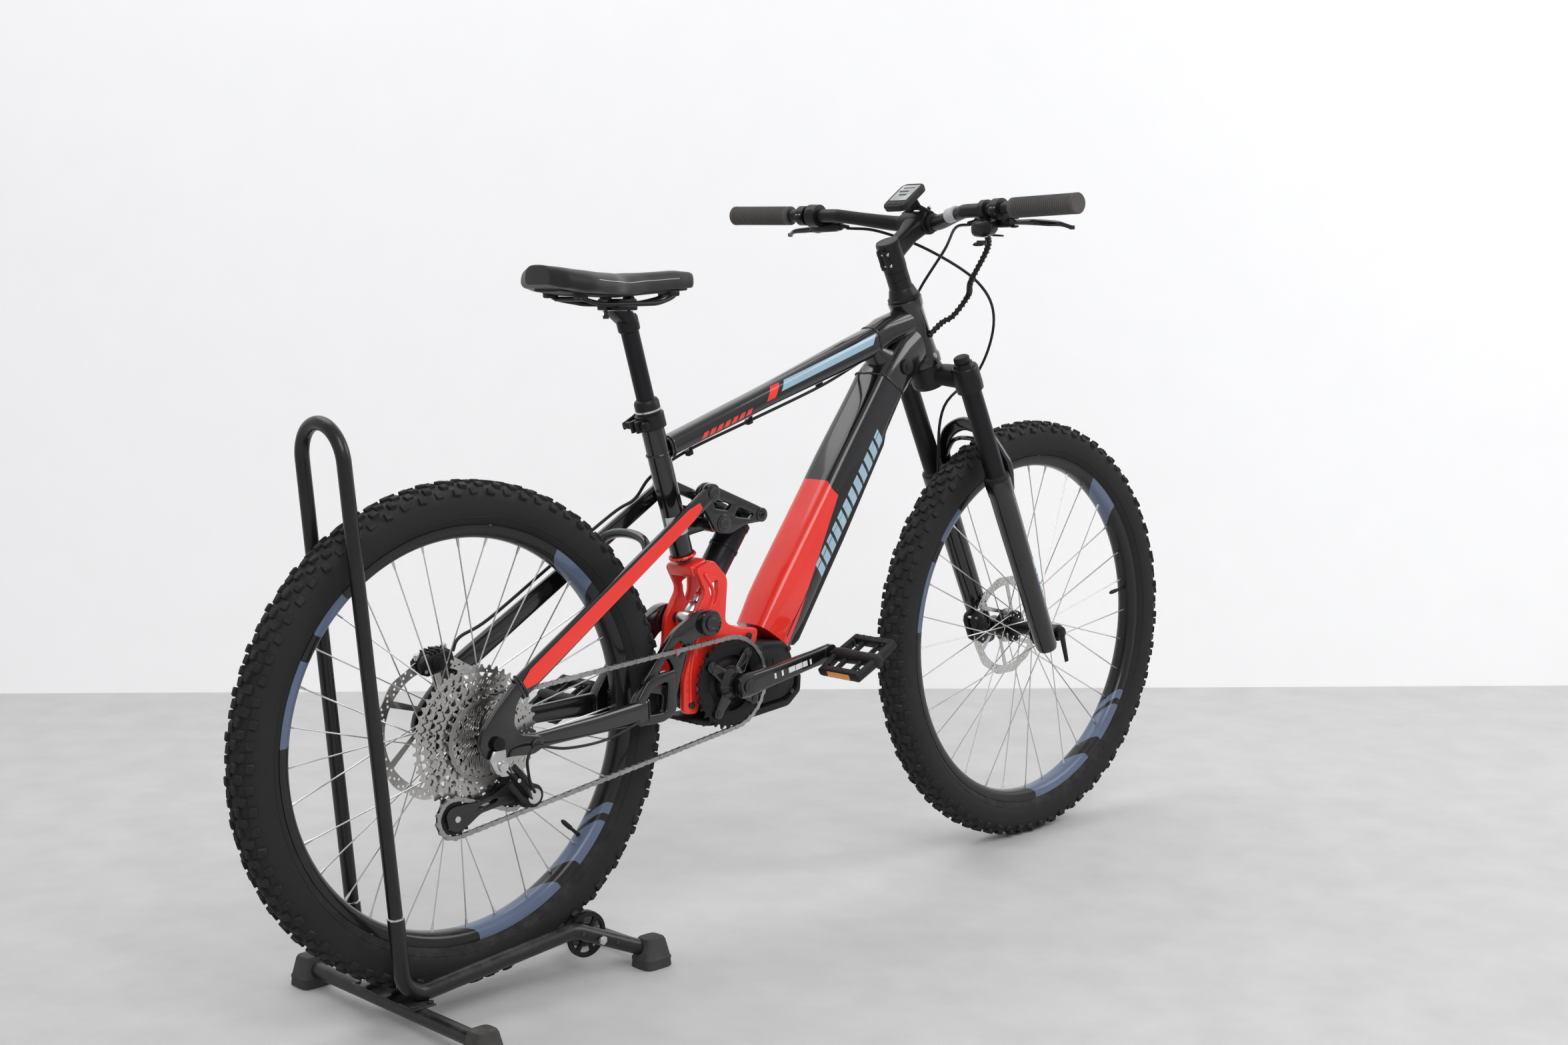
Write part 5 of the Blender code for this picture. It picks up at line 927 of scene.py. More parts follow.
def headJunction():
    low, high = bike["forkLength"], headTop
    shell = latheShape(onSteerer(low), steerUp, [(0.0003, 0.0262), (0.0008, 0.03), (0.013, 0.03),
            (0.0155, 0.0285), (0.02, 0.027),
                                                (0.06, 0.0258), (0.1, 0.0262), (0.1045, 0.0285),
                                                (0.118, 0.029), (0.1197, 0.0275)], 64)
    # two webs flow from the tubes into the head tube, each a loft of sections turned on the way
    topWay = (topFront - topRear).normalized()
    topUp = Vector((-topWay.z, 0, topWay.x))
    upper = [(topFront - topWay * 0.002, Vector((0, 0.0207, 0)), topUp * 0.023, 3.0),
             (topFront.lerp(onSteerer(low + 0.092, -0.02), 0.35) + topUp * 0.001, Vector((0, 0.0225, 0)),
             topUp * 0.024, 2.8),
             (topFront.lerp(onSteerer(low + 0.084, -0.006), 0.75), Vector((0, 0.0235, 0)),
             (topUp + steerUp).normalized() * 0.025, 2.5),
             (onSteerer(low + 0.082, -0.002), Vector((0, 0.0225, 0)), steerUp * 0.025, 2.2)]
    lower = [(downTop - downWay * 0.002, Vector((0, 0.0352, 0)), downSquare * 0.0336, 4.2),
             (downTop.lerp(onSteerer(low + 0.05, -0.02), 0.3), Vector((0, 0.0335, 0)),
             (downSquare - steerUp * 0.15).normalized() * 0.035, 3.6),
             (downTop.lerp(onSteerer(low + 0.046, -0.012), 0.7), Vector((0, 0.0285, 0)),
             (downSquare - steerUp * 1.2).normalized() * 0.037, 3.0),
             (onSteerer(low + 0.043, -0.003), Vector((0, 0.0235, 0)), -steerUp * 0.038, 2.4)]
    middle = [(topFront.lerp(downTop, 0.15) - topWay * 0.004, Vector((0, 0.019, 0)), topWay * 0.012, 2.6),
              (topFront.lerp(downTop, 0.5) + topWay * 0.024, Vector((0, 0.025, 0)), topWay * 0.034, 2.6),
              (topFront.lerp(downTop, 0.85) + topWay * 0.026, Vector((0, 0.027, 0)), topWay * 0.034, 2.6)]
    pieces = [shell, loftShape(upper, 48), loftShape(lower, 56), loftShape(middle, 48)]
    beads = [weldBead(topFront, topWay, 0.0208, 0.0232, 3.0), weldBead(downTop, downWay, 0.0354, 0.0338,
            4.2, 0.0019, 96)]
    give(smoothed(joined(pieces), 40), "headTubeShell", gloss, "frame", "black_paint", "head_tube")
    beads.append(weldBead(topRear + topWay * 0.002, topWay, 0.0168, 0.0158, 3.0))
    give(smoothed(joined(beads), 60), "frameWelds", gloss, "frame", "black_paint")
    # cable port on the front left, key cover on the right of the junction
    port = onSteerer(low + 0.058, 0.004, 0.03)
    cover = downTop.lerp(onSteerer(low + 0.05, -0.02), 0.42)
    plate = crossRod(cover, -0.03, -0.0372, 0.013, 36, 0.0018)
    lock = crossRod(cover, -0.037, -0.0384, 0.0052, 20, 0.0004)
    grommet = latheShape(port + Vector((0.01, -0.008, 0.004)), (0.35, 0.9, 0.1), [(0, 0.01),
            (0.006, 0.0095), (0.009, 0.007), (0.0105, 0.006)], 24)
    give(smoothed(joined([plate, lock, grommet]), 35), "frameCovers", matt, "frame", "plastic")
    ring = [latheShape(onSteerer(high + 0.0004), steerUp, [(0, 0.02), (0.0002, 0.0272), (0.003, 0.0275),
            (0.004, 0.0262), (0.006, 0.024)], 48)]
    give(smoothed(joined(ring), 30), "headsetCap", anodised, "frame", "satin_black")


def seatTube():
    foot = onSeatTube(tubes["seatFoot"])
    r = tubes["seatRadius"]
    shell = latheShape(foot, seatUp, [(0.0, r * 0.9), (0.003, r), (0.12, r), (0.204, r), (0.2076,
            r * 0.98)], 48)
    lugX = onSeatTube(-0.154).x
    lug = loftShape([(Vector((lugX, 0, rockerPin.z)), (0, 0.015, 0), (0, 0, 0.025), 3.4),
                     (Vector((lugX, 0, rockerPin.z)).lerp(rockerPin, 0.5), (0, 0.015, 0), (0, 0, 0.0175),
                     3.2),
                     (rockerPin, (0, 0.015, 0), (0, 0, 0.0135), 2.6)], 40)
    boss = crossRod(rockerPin, -0.0368, 0.0368, 0.0145, 40, 0.0016)
    beads = [weldBead(onSeatTube(-0.051), seatUp, r + 0.0004, r + 0.0004, 2.0, 0.0014, 60)]
    give(smoothed(joined([shell, lug, boss] + beads), 40), "seatTubeShell", gloss, "frame", "black_paint",
            "seat_tube")
    # a blank white label wrapped on the right of the tube
    label = latheShape(onSeatTube(-0.178), seatUp, [(0, r + 0.0002), (0.0002, r + 0.0004),
            (0.03, r + 0.0004), (0.0302, r + 0.0002)], 48)
    pick(label)
    bpy.ops.object.mode_set(mode="EDIT")
    bpy.ops.mesh.select_all(action="SELECT")
    bpy.ops.mesh.bisect(plane_co=(0, -0.002, 0), plane_no=(0, 1, 0), use_fill=True, clear_outer=True)
    bpy.ops.object.mode_set(mode="OBJECT")
    give(clean(label), "blankLabel", whiteLabel, "frame", "plastic")


cradle = {"cheek": [(-0.056, 0.178), (-0.021, 0.19), (0.009, 0.158), (0.003, 0.09), (0.028, 0.08),
                    (0.072, 0.074), (0.066, 0.048), (-0.006, 0.053), (-0.04, 0.03), (-0.049, -0.006),
                    (-0.054, -0.042), (-0.083, -0.038), (-0.082, 0.013), (-0.066, 0.055), (-0.063, 0.098),
                    (-0.036, 0.14)],
          "window": [(-0.03, 0.15), (-0.012, 0.158), (-0.012, 0.135), (-0.02, 0.118)],
          "motor": [(-0.046, 0.022), (-0.03, 0.044), (0.0, 0.05), (0.062, 0.044), (0.08, 0.052),
                    (0.128, 0.047), (0.142, 0.022), (0.149, -0.008), (0.146, -0.03), (0.124, -0.044),
                    (0.05, -0.05), (-0.03, -0.05), (-0.046, -0.034)],
          "guard": [(0.151, -0.002), (0.158, -0.01), (0.156, -0.036), (0.13, -0.056), (0.054, -0.063),
                    (-0.034, -0.063), (-0.06, -0.057), (-0.056, -0.052), (-0.03, -0.0525),
                    (0.05, -0.0525), (0.1255, -0.0465), (0.1485, -0.031)]}
mainPin = spot["swingarm_pivot"]
rockerPin = spot["rocker_pivot"]
shockPin = spot["shock_top"]
stayPin = near(crankAxle, -0.043, 0.293)
dropPin = spot["dropout_pivot"]


def motorCradle():
    cheeks = []
    for side in (-1, 1):
        y0, y1 = sorted((side * 0.0262, side * 0.0362))
        outlines = [cradle["cheek"], softCorners(cradle["window"], 0.006)]
        cheeks.append(slabShape(outlines, y0, y1, 0.0022, 0.01, crankAxle, 3))
        # raised rib along the strut
        rib = [near(crankAxle, x, z, side * 0.0362) for x, z in ((-0.04, 0.17), (-0.022, 0.135),
                (-0.05, 0.088), (-0.068, 0.03), (-0.07, -0.022))]
        cheeks.append(tubeShape(rib, 0.003, 12, True, 5))
    top = boxShape(near(crankAxle, -0.04, 0.177), (0.034, 0.056, 0.02), radians(20), 0.005)
    web = beamShape(near(crankAxle, 0.03, 0.064), near(crankAxle, 0.066, 0.064), (0.056, 0.014),
            (0.064, 0.018), 3.0)
    collar = weldBead(onSeatTube(tubes["seatFoot"] + 0.006), seatUp, 0.019, 0.019, 2.0, 0.0022, 56)
    give(smoothed(joined(cheeks + [top, web, collar]), 40), "cradleCheeks", redPaint, "frame", "red_paint",
            "motor_cradle")
    bolts = []
    for x, z in ((-0.068, -0.026), (-0.034, 0.045), (0.05, 0.064)):
        p = near(crankAxle, x, z)
        for side in (-1, 1):
            bolts.append(crossRod(p, side * 0.036, side * 0.0395, 0.0056, 24, 0.0008))
            bolts.append(crossRod(p, side * 0.0394, side * 0.0402, 0.0028, 6))
    give(smoothed(joined(bolts), 35), "cradleBolts", darkGrey, "frame", "steel")


def motorUnit():
    case = slabShape([cradle["motor"]], -0.04, 0.04, 0.006, 0.012, crankAxle, 4)
    rims = []
    for side in (-1, 1):
        rims.append(turnedShape([(0.012, side * 0.0425), (0.024, side * 0.0445), (0.033, side * 0.0425),
                (0.0385, side * 0.0395), (0.0385, side * 0.036), (0.012, side * 0.036)], crankAxle, 0.0,
                96))
        cover = [(0.04, 0.03), (0.08, 0.04), (0.122, 0.036), (0.134, 0.01), (0.136, -0.024),
                (0.112, -0.036), (0.05, -0.04)]
        y0, y1 = sorted((side * 0.0385, side * 0.0415))
        rims.append(slabShape([cover], y0, y1, 0.0012, 0.012, crankAxle, 2))
        for k in range(4):
            line = [near(crankAxle, 0.058 + 0.013 * k, 0.026 - 0.001 * k, side * 0.0412), near(crankAxle,
                    0.066 + 0.013 * k, -0.026 + 0.001 * k, side * 0.0412)]
            rims.append(tubeShape(line, 0.0014, 10, False))
    collar = turnedShape([(0.0115, -0.044), (0.024, -0.044), (0.024, -0.036), (0.0115, -0.036)], crankAxle,
            0.0, 64)
    far = turnedShape([(0.0115, 0.048), (0.018, 0.048), (0.023, 0.044), (0.023, 0.036), (0.0115, 0.036)],
            crankAxle, 0.0, 64)
    give(smoothed(joined([case] + rims + [collar, far]), 40), "motorCase", matt, "frame", "plastic",
            "motor")
    screws = []
    for x, z in ((-0.036, 0.03), (-0.038, -0.038), (0.0, -0.044), (0.07, 0.041), (0.132, 0.034),
            (0.138, -0.034), (0.06, -0.0445)):
        for side in (-1, 1):
            screws.append(crossRod(near(crankAxle, x, z), side * 0.039, side * 0.0422, 0.004, 20, 0.0006))
    give(smoothed(joined(screws), 35), "motorScrews", darkGrey, "frame", "steel")
    guard = slabShape([cradle["guard"]], -0.042, 0.042, 0.0016, 0.006, crankAxle, 2)
    ribs = []
    for k in range(5):
        y = -0.03 + 0.015 * k
        ribs.append(tubeShape([near(crankAxle, -0.04, -0.0628, y), near(crankAxle, 0.052, -0.0628, y),
                near(crankAxle, 0.128, -0.056, y), near(crankAxle, 0.1555, -0.036, y)], 0.0016, 8, True, 4))
    give(smoothed(joined([guard] + ribs), 40), "guardPlate", matt, "frame", "plastic", "motor_guard")


mainTubes()
battery()
headJunction()
seatTube()
motorCradle()
motorUnit()
print("main frame built")

# rear suspension
swing = {"yoke": [(-0.041, 0.118), (-0.062, 0.116), (-0.11, 0.092), (-0.165, 0.03), (-0.19, -0.002),
                  (-0.19, -0.038), (-0.135, -0.038), (-0.112, -0.026), (-0.1, 0.012), (-0.086, 0.055),
                  (-0.062, 0.078), (-0.036, 0.076), (-0.022, 0.09), (-0.022, 0.106)],
         "windows": [[(-0.098, 0.078), (-0.116, 0.062), (-0.104, 0.052), (-0.086, 0.066)],
                     [(-0.122, 0.056), (-0.154, 0.018), (-0.13, 0.012), (-0.11, 0.036)],
                     [(-0.162, 0.008), (-0.176, -0.008), (-0.172, -0.024), (-0.136, -0.024),
                     (-0.132, 0.0)]],
         "low": [(-0.112, 0.038), (-0.165, 0.03), (-0.19, -0.002), (-0.19, -0.038),
                 (-0.135, -0.038), (-0.112, -0.026)],
         "lowWindow": [(-0.128, 0.022), (-0.156, 0.016), (-0.174, -0.006), (-0.172, -0.024),
         (-0.132, -0.024)],
         "dropout": [(-0.022, 0.02), (-0.027, 0.0), (-0.018, -0.02), (0.006, -0.022), (0.03, -0.022),
                     (0.062, -0.025), (0.079, -0.018), (0.079, -0.002), (0.04, 0.006), (0.03, 0.022),
                     (0.034, 0.046), (0.06, 0.084), (0.036, 0.08), (0.0, 0.046)],
         "rocker": [(-0.057, 0.3), (-0.04, 0.309), (-0.026, 0.302), (0.06, 0.266), (0.082, 0.256),
                    (0.08, 0.24), (0.036, 0.238), (0.004, 0.226), (-0.022, 0.23), (-0.04, 0.26),
                    (-0.058, 0.284)],
         "rockerWindows": [[(-0.03, 0.286), (0.01, 0.27), (0.0, 0.262), (-0.026, 0.268)],
                           [(0.022, 0.266), (0.056, 0.252), (0.046, 0.246), (0.014, 0.252)]]}


def pivotBolt(point, y, side, radius, proud=0.0036):
    # a round bolt head with a raised ring on its face
    head = crossRod(point, y, y + side * proud, radius, 36, 0.0008)
    rim = turnedShape([(radius * 0.5, side * proud), (radius * 0.62, side * (proud + 0.0007)),
            (radius * 0.74, side * proud)], point, y, 36)
    return joined([head, rim])


def swingarm():
    pieces = []
    for side in (-1, 1):
        outer = 0.055 if side > 0 else 0.0468
        y0, y1 = sorted((side * 0.0375, side * outer))
        windows = [softCorners(w, 0.006) for w in swing["windows"]]
        pieces.append(slabShape([swing["yoke"]] + windows, y0, y1, 0.0016, 0.01, crankAxle, 3))
        front = near(crankAxle, -0.166, -0.018, side * 0.0475)
        back = Vector((dropPin.x, side * 0.0692, dropPin.z))
        knee = front.lerp(back, 0.45) + Vector((0, side * 0.001, 0))
        pieces.append(loftShape([(front, (0, 0.0075, 0), (0, 0, 0.018), 3.4), (front.lerp(back, 0.08),
                (0, 0.0078, 0), (0, 0, 0.017), 3.0),
                                 (knee, (0, 0.0066, 0), (0, 0, 0.0135), 2.6), (front.lerp(back, 0.86),
                                 (0, 0.0048, 0), (0, 0, 0.0115), 2.8),
                                 (back, (0, 0.0042, 0), (0, 0, 0.011), 3.0)], 40))
        pieces.append(crossRod(Vector((dropPin.x, 0, dropPin.z)), side * 0.065, side * 0.0734, 0.013, 40,
                0.0012))
        pieces.append(weldBead(front, back - front, 0.008, 0.0188, 3.2, 0.0016, 56))
    pieces.append(slabShape([swing["low"], softCorners(swing["lowWindow"], 0.008)], -0.055, -0.0405, 0.002,
            0.01, crankAxle, 3))
    pieces.append(crossRod(mainPin, -0.055, -0.0405, 0.02, 48, 0.0018))
    pieces.append(beamShape(near(crankAxle, -0.088, 0.088, -0.04), near(crankAxle, -0.088, 0.088, 0.04),
            (0.02, 0.032), (0.02, 0.032), 3.0, 32))
    arm = joined(pieces)
    give(smoothed(arm, 40), "swingarmForging", gloss, "swingarm", "black_paint", "chainstays")
    bolts = [pivotBolt(mainPin, side * 0.0548, side, 0.0125) for side in (-1, 1)]
    bolts += [crossRod(mainPin, -0.055, 0.055, 0.0079, 32)]
    give(smoothed(joined(bolts), 35), "mainPivotBolts", darkGrey, "swingarm", "steel")


def stayRoute(side, t):
    low = near(rearAxle, 0.04, 0.068, side * 0.0793)
    return low.lerp(Vector((stayPin.x, side * 0.056, stayPin.z)), t)


def rearStays():
    pieces, flats = [], []
    for side in (-1, 1):
        y0, y1 = sorted((side * 0.0743, side * 0.0835))
        hole = circlePoints(0.0068, 28)
        pieces.append(slabShape([swing["dropout"], hole], y0, y1, 0.0014, 0.006, rearAxle, 3))
        low, high = stayRoute(side, 0.0), stayRoute(side, 1.0)
        way = (high - low).normalized()
        up = Vector((-way.z, 0, way.x)).normalized()
        across = up.cross(way).normalized()
        rows = [(0.0, 0.0048, 0.017), (0.12, 0.0052, 0.0165), (0.5, 0.006, 0.014), (0.9, 0.006, 0.0125),
                (1.0, 0.006, 0.012)]
        pieces.append(loftShape([(low.lerp(high, t), across * a, up * d, 3.2) for t, a, d in rows], 40))
        pieces.append(crossRod(Vector((stayPin.x, 0, stayPin.z)), side * 0.05, side * 0.0622, 0.014, 40,
                0.0014))
        pieces.append(crossRod(Vector((stayPin.x, 0, stayPin.z)), side * 0.0392, side * 0.052, 0.0046, 20))
        pieces.append(crossRod(Vector((dropPin.x, 0, dropPin.z)), side * 0.0652, side * 0.082, 0.005, 24))
        pieces.append(weldBead(low.lerp(high, 0.015), way, 0.0056, 0.0176, 3.0, 0.0014, 44))
        start, stop = low.lerp(high, 0.02), low.lerp(high, 0.93)
        lift = across * (0.0056 if across.y * side > 0 else -0.0056)
        flats.append(loftShape([(start.lerp(stop, t) + lift * (1 + 0.12 * t), across * 0.0006, up * d,
                4.0) for t, d in ((0, 0.006), (0.05, 0.012), (0.5, 0.0112), (0.94, 0.0098), (1, 0.005))],
                32))
    t = 0.66
    foot = near(rearAxle, 0.04, 0.068).lerp(stayPin, t)
    reach = 0.0793 + (0.056 - 0.0793) * t
    rise = Vector((0.01, 0, 0.02))
    arch = [foot + Vector((0, reach, 0)), foot + rise + Vector((0, reach * 0.62, 0)), foot + rise * 1.3,
            foot + rise + Vector((0, -reach * 0.62, 0)), foot + Vector((0, -reach, 0))]
    pieces.append(tubeShape(arch, 0.007, 20))
    mount0 = near(rearAxle, 0.02, 0.052, 0.0793)
    pieces.append(beamShape(mount0, near(rearAxle, 0.022, 0.084, 0.0793), (0.009, 0.02), (0.009, 0.016),
            3.0))
    give(smoothed(joined(pieces), 40), "rearStays", gloss, "rear_triangle", "black_paint", "seatstays")
    give(smoothed(flats[0], 40), "stayPanelRight", redPaint, "rear_triangle", "red_paint")
    give(smoothed(flats[1], 40), "stayPanelLeft", redPaint, "rear_triangle", "red_paint")
    bolts = [pivotBolt(stayPin, side * 0.0618, side, 0.0092, 0.0026) for side in (-1, 1)]
    bolts += [pivotBolt(dropPin, side * 0.0832, side, 0.0078, 0.0022) for side in (-1, 1)]
    give(smoothed(joined(bolts), 35), "stayBolts", darkGrey, "rear_triangle", "steel")
    axle = [crossRod(rearAxle, -0.0865, 0.0865, 0.006, 32), crossRod(rearAxle, 0.0838, 0.0905, 0.01, 36,
            0.0012),
            crossRod(rearAxle, -0.0838, -0.0905, 0.0098, 36, 0.0012), crossRod(rearAxle, 0.0903, 0.0909,
            0.0034, 6),
            crossRod(rearAxle, -0.0903, -0.0908, 0.0045, 6)]
    give(smoothed(joined(axle), 35), "rearThruAxle", anodised, "rear_triangle", "satin_black", "rear_axle")


def rockerLink():
    pieces = []
    for side in (-1, 1):
        y0, y1 = sorted((side * 0.0375, side * 0.0465))
        outlines = [swing["rocker"]] + [softCorners(w, 0.004) for w in swing["rockerWindows"]]
        pieces.append(slabShape(outlines, y0, y1, 0.0016, 0.008, crankAxle, 3))
        for point, radius in ((rockerPin, 0.0135), (shockPin, 0.011)):
            pieces.append(crossRod(point, side * 0.046, side * 0.048, radius, 36, 0.0008))
    pieces.append(boxShape(near(crankAxle, 0.016, 0.278), (0.036, 0.078, 0.007), radians(-22), 0.0025))
    give(smoothed(joined(pieces), 40), "rockerPlates", gloss, "rocker_link", "black_paint", "rocker")
    bolts = [pivotBolt(rockerPin, side * 0.0476, side, 0.0094, 0.0012) for side in (-1, 1)]
    bolts += [pivotBolt(shockPin, side * 0.047, side, 0.007, 0.001) for side in (-1, 1)]
    bolts += [crossRod(rockerPin, -0.047, 0.047, 0.0079, 24), crossRod(shockPin, -0.046, 0.046, 0.0062, 24)]
    give(smoothed(joined(bolts), 35), "rockerBolts", darkGrey, "rocker_link", "steel")


def rearShock():
    way = (mainPin - shockPin).normalized()
    long = (mainPin - shockPin).length
    can = latheShape(shockPin, way, [(0.008, 0.0085), (0.012, 0.012), (0.016, 0.0215), (0.018, 0.0233),
            (0.026, 0.0233), (0.0272, 0.0222), (0.06, 0.0222),
                                     (0.0612, 0.0234), (0.066, 0.0234), (0.0672, 0.0222), (0.102, 0.0222),
                                     (0.1035, 0.0232), (0.1085, 0.023), (0.11, 0.02), (0.1102, 0.011)], 56)
    eye = crossRod(shockPin, -0.013, 0.013, 0.0128, 40, 0.0012)
    side = Vector((way.z, 0, -way.x))
    bottle = latheShape(shockPin + way * 0.02 + side * 0.02, way, [(0, 0.006), (0.002, 0.008),
            (0.022, 0.008), (0.024, 0.006)], 24)
    give(smoothed(joined([can, eye, bottle]), 35), "shockCan", anodised, "shock_can", "satin_black",
            "shock_body")
    red = makeMaterial("red anodised", (0.7, 0.02, 0.02), 0.25, metal=0.8)
    blue = makeMaterial("blue anodised", (0.02, 0.1, 0.55), 0.25, metal=0.8)
    knob = latheShape(shockPin + way * 0.022 + side * 0.026, side, [(0, 0.006), (0.001, 0.0072),
            (0.006, 0.0072), (0.007, 0.006)], 12)
    give(smoothed(knob, 30), "reboundKnob", red, "shock_can", "steel")
    lever = latheShape(shockPin + way * 0.034 + side * 0.025, side, [(0, 0.005), (0.001, 0.006),
            (0.005, 0.006), (0.006, 0.005)], 12)
    give(smoothed(lever, 30), "lockoutKnob", blue, "shock_can", "steel")
    shaft = latheShape(shockPin, way, [(long - 0.094, 0.0069), (long - 0.03, 0.0069), (long - 0.027, 0.01),
            (long - 0.024, 0.012), (long - 0.009, 0.0118), (long - 0.004, 0.007)], 40)
    eye = crossRod(mainPin, -0.013, 0.013, 0.0138, 40, 0.0012)
    give(smoothed(joined([shaft, eye]), 35), "shockShaft", silver, "shock_rod", "steel", "shock_shaft")
    seal = latheShape(shockPin, way, [(long - 0.044, 0.007), (long - 0.0435, 0.0084), (long - 0.0415,
            0.0084), (long - 0.041, 0.007)], 32)
    give(smoothed(seal, 60), "sagRing", redPaint, "shock_rod", "red_paint")


swingarm()
rearStays()
rockerLink()
rearShock()
print("rear suspension built")

# drivetrain
drive = {"line": -0.0505, "pitch": 0.0127, "ring": 0.0647, "cog": 0.0486, "pulley": 0.022, "height": 0.008,
         "room": 0.0012, "crankAngle": radians(10.1), "crankLong": 0.17, "crankY": 0.083}
drive["above"] = drive["room"] + drive["height"] / 2  # from a wheel's rim to the line of the pins


def toothed(radius, teeth, tip=0.001, root=0.0046, phase=0.0):
    # the outline of a sprocket whose chain pins lie on a circle of this radius
    points = []
    for k in range(teeth):
        for share, r in ((-0.34, radius - root), (-0.22, radius - root * 0.55), (-0.09, radius + tip),
                         (0.09, radius + tip), (0.22, radius - root * 0.55), (0.34, radius - root)):
            a = tau * (k + 0.5 + share) / teeth + phase
            points.append((r * cos(a), r * sin(a)))
    return points


def ringWindows(inner, outer, count, share=0.72, twist=0.25, phase=0.0):
    # rounded openings between spider arms
    windows = []
    for k in range(count):
        a0, width = tau * k / count + phase, tau / count * share
        line = [(inner * cos(a0 + width * i / 4), inner * sin(a0 + width * i / 4)) for i in range(5)]
        line += [(outer * cos(a0 + twist + width * i / 6),
                outer * sin(a0 + twist + width * i / 6)) for i in range(6, -1, -1)]
        windows.append(softCorners(line, 0.003, 2))
    return windows


def cassetteCogs():
    radii = [0.101, 0.0905, 0.0805, 0.0705, 0.061, 0.0538, 0.0462, 0.0405, 0.035, 0.0305, 0.0265, 0.0225]
    cogs = []
    for k, radius in enumerate(radii):
        y = -0.0355 - 0.003 * k
        teeth = round(tau * radius / drive["pitch"])
        outlines = [toothed(radius, teeth, 0.0008, phase=0.2 * k), circlePoints(0.0176, 32)]
        if radius > 0.042:
            outlines += ringWindows(max(0.0235, radius * 0.42), radius - 0.01, 7 if radius > 0.06 else 6,
                    0.7, 0.3, 0.35 * k)
        if radius > 0.075:
            for i in range(28):
                a = tau * i / 28
                outlines.append(circlePoints(0.0017, 8, ((radius - 0.0072) * cos(a),
                        (radius - 0.0072) * sin(a))))
        cogs.append(slabShape(outlines, y - 0.0009, y + 0.0009, 0.0, base=rearAxle))
    give(smoothed(joined(cogs), 30), "cassetteCogs", cogSteel, "cassette_drum", "steel", "cassette")
    core = turnedShape([(0.0176, -0.0352), (0.0225, -0.0352), (0.0225, -0.06), (0.019, -0.0675),
            (0.0176, -0.0675)], rearAxle, 0.0, 48)
    lockRing = slabShape([toothed(0.0178, 16, 0.0004, 0.0016), circlePoints(0.0118, 24)], -0.0702, -0.0684,
            0.0003, base=rearAxle)
    give(smoothed(joined([core, lockRing]), 30), "cassetteCore", darkGrey, "cassette_drum", "steel")


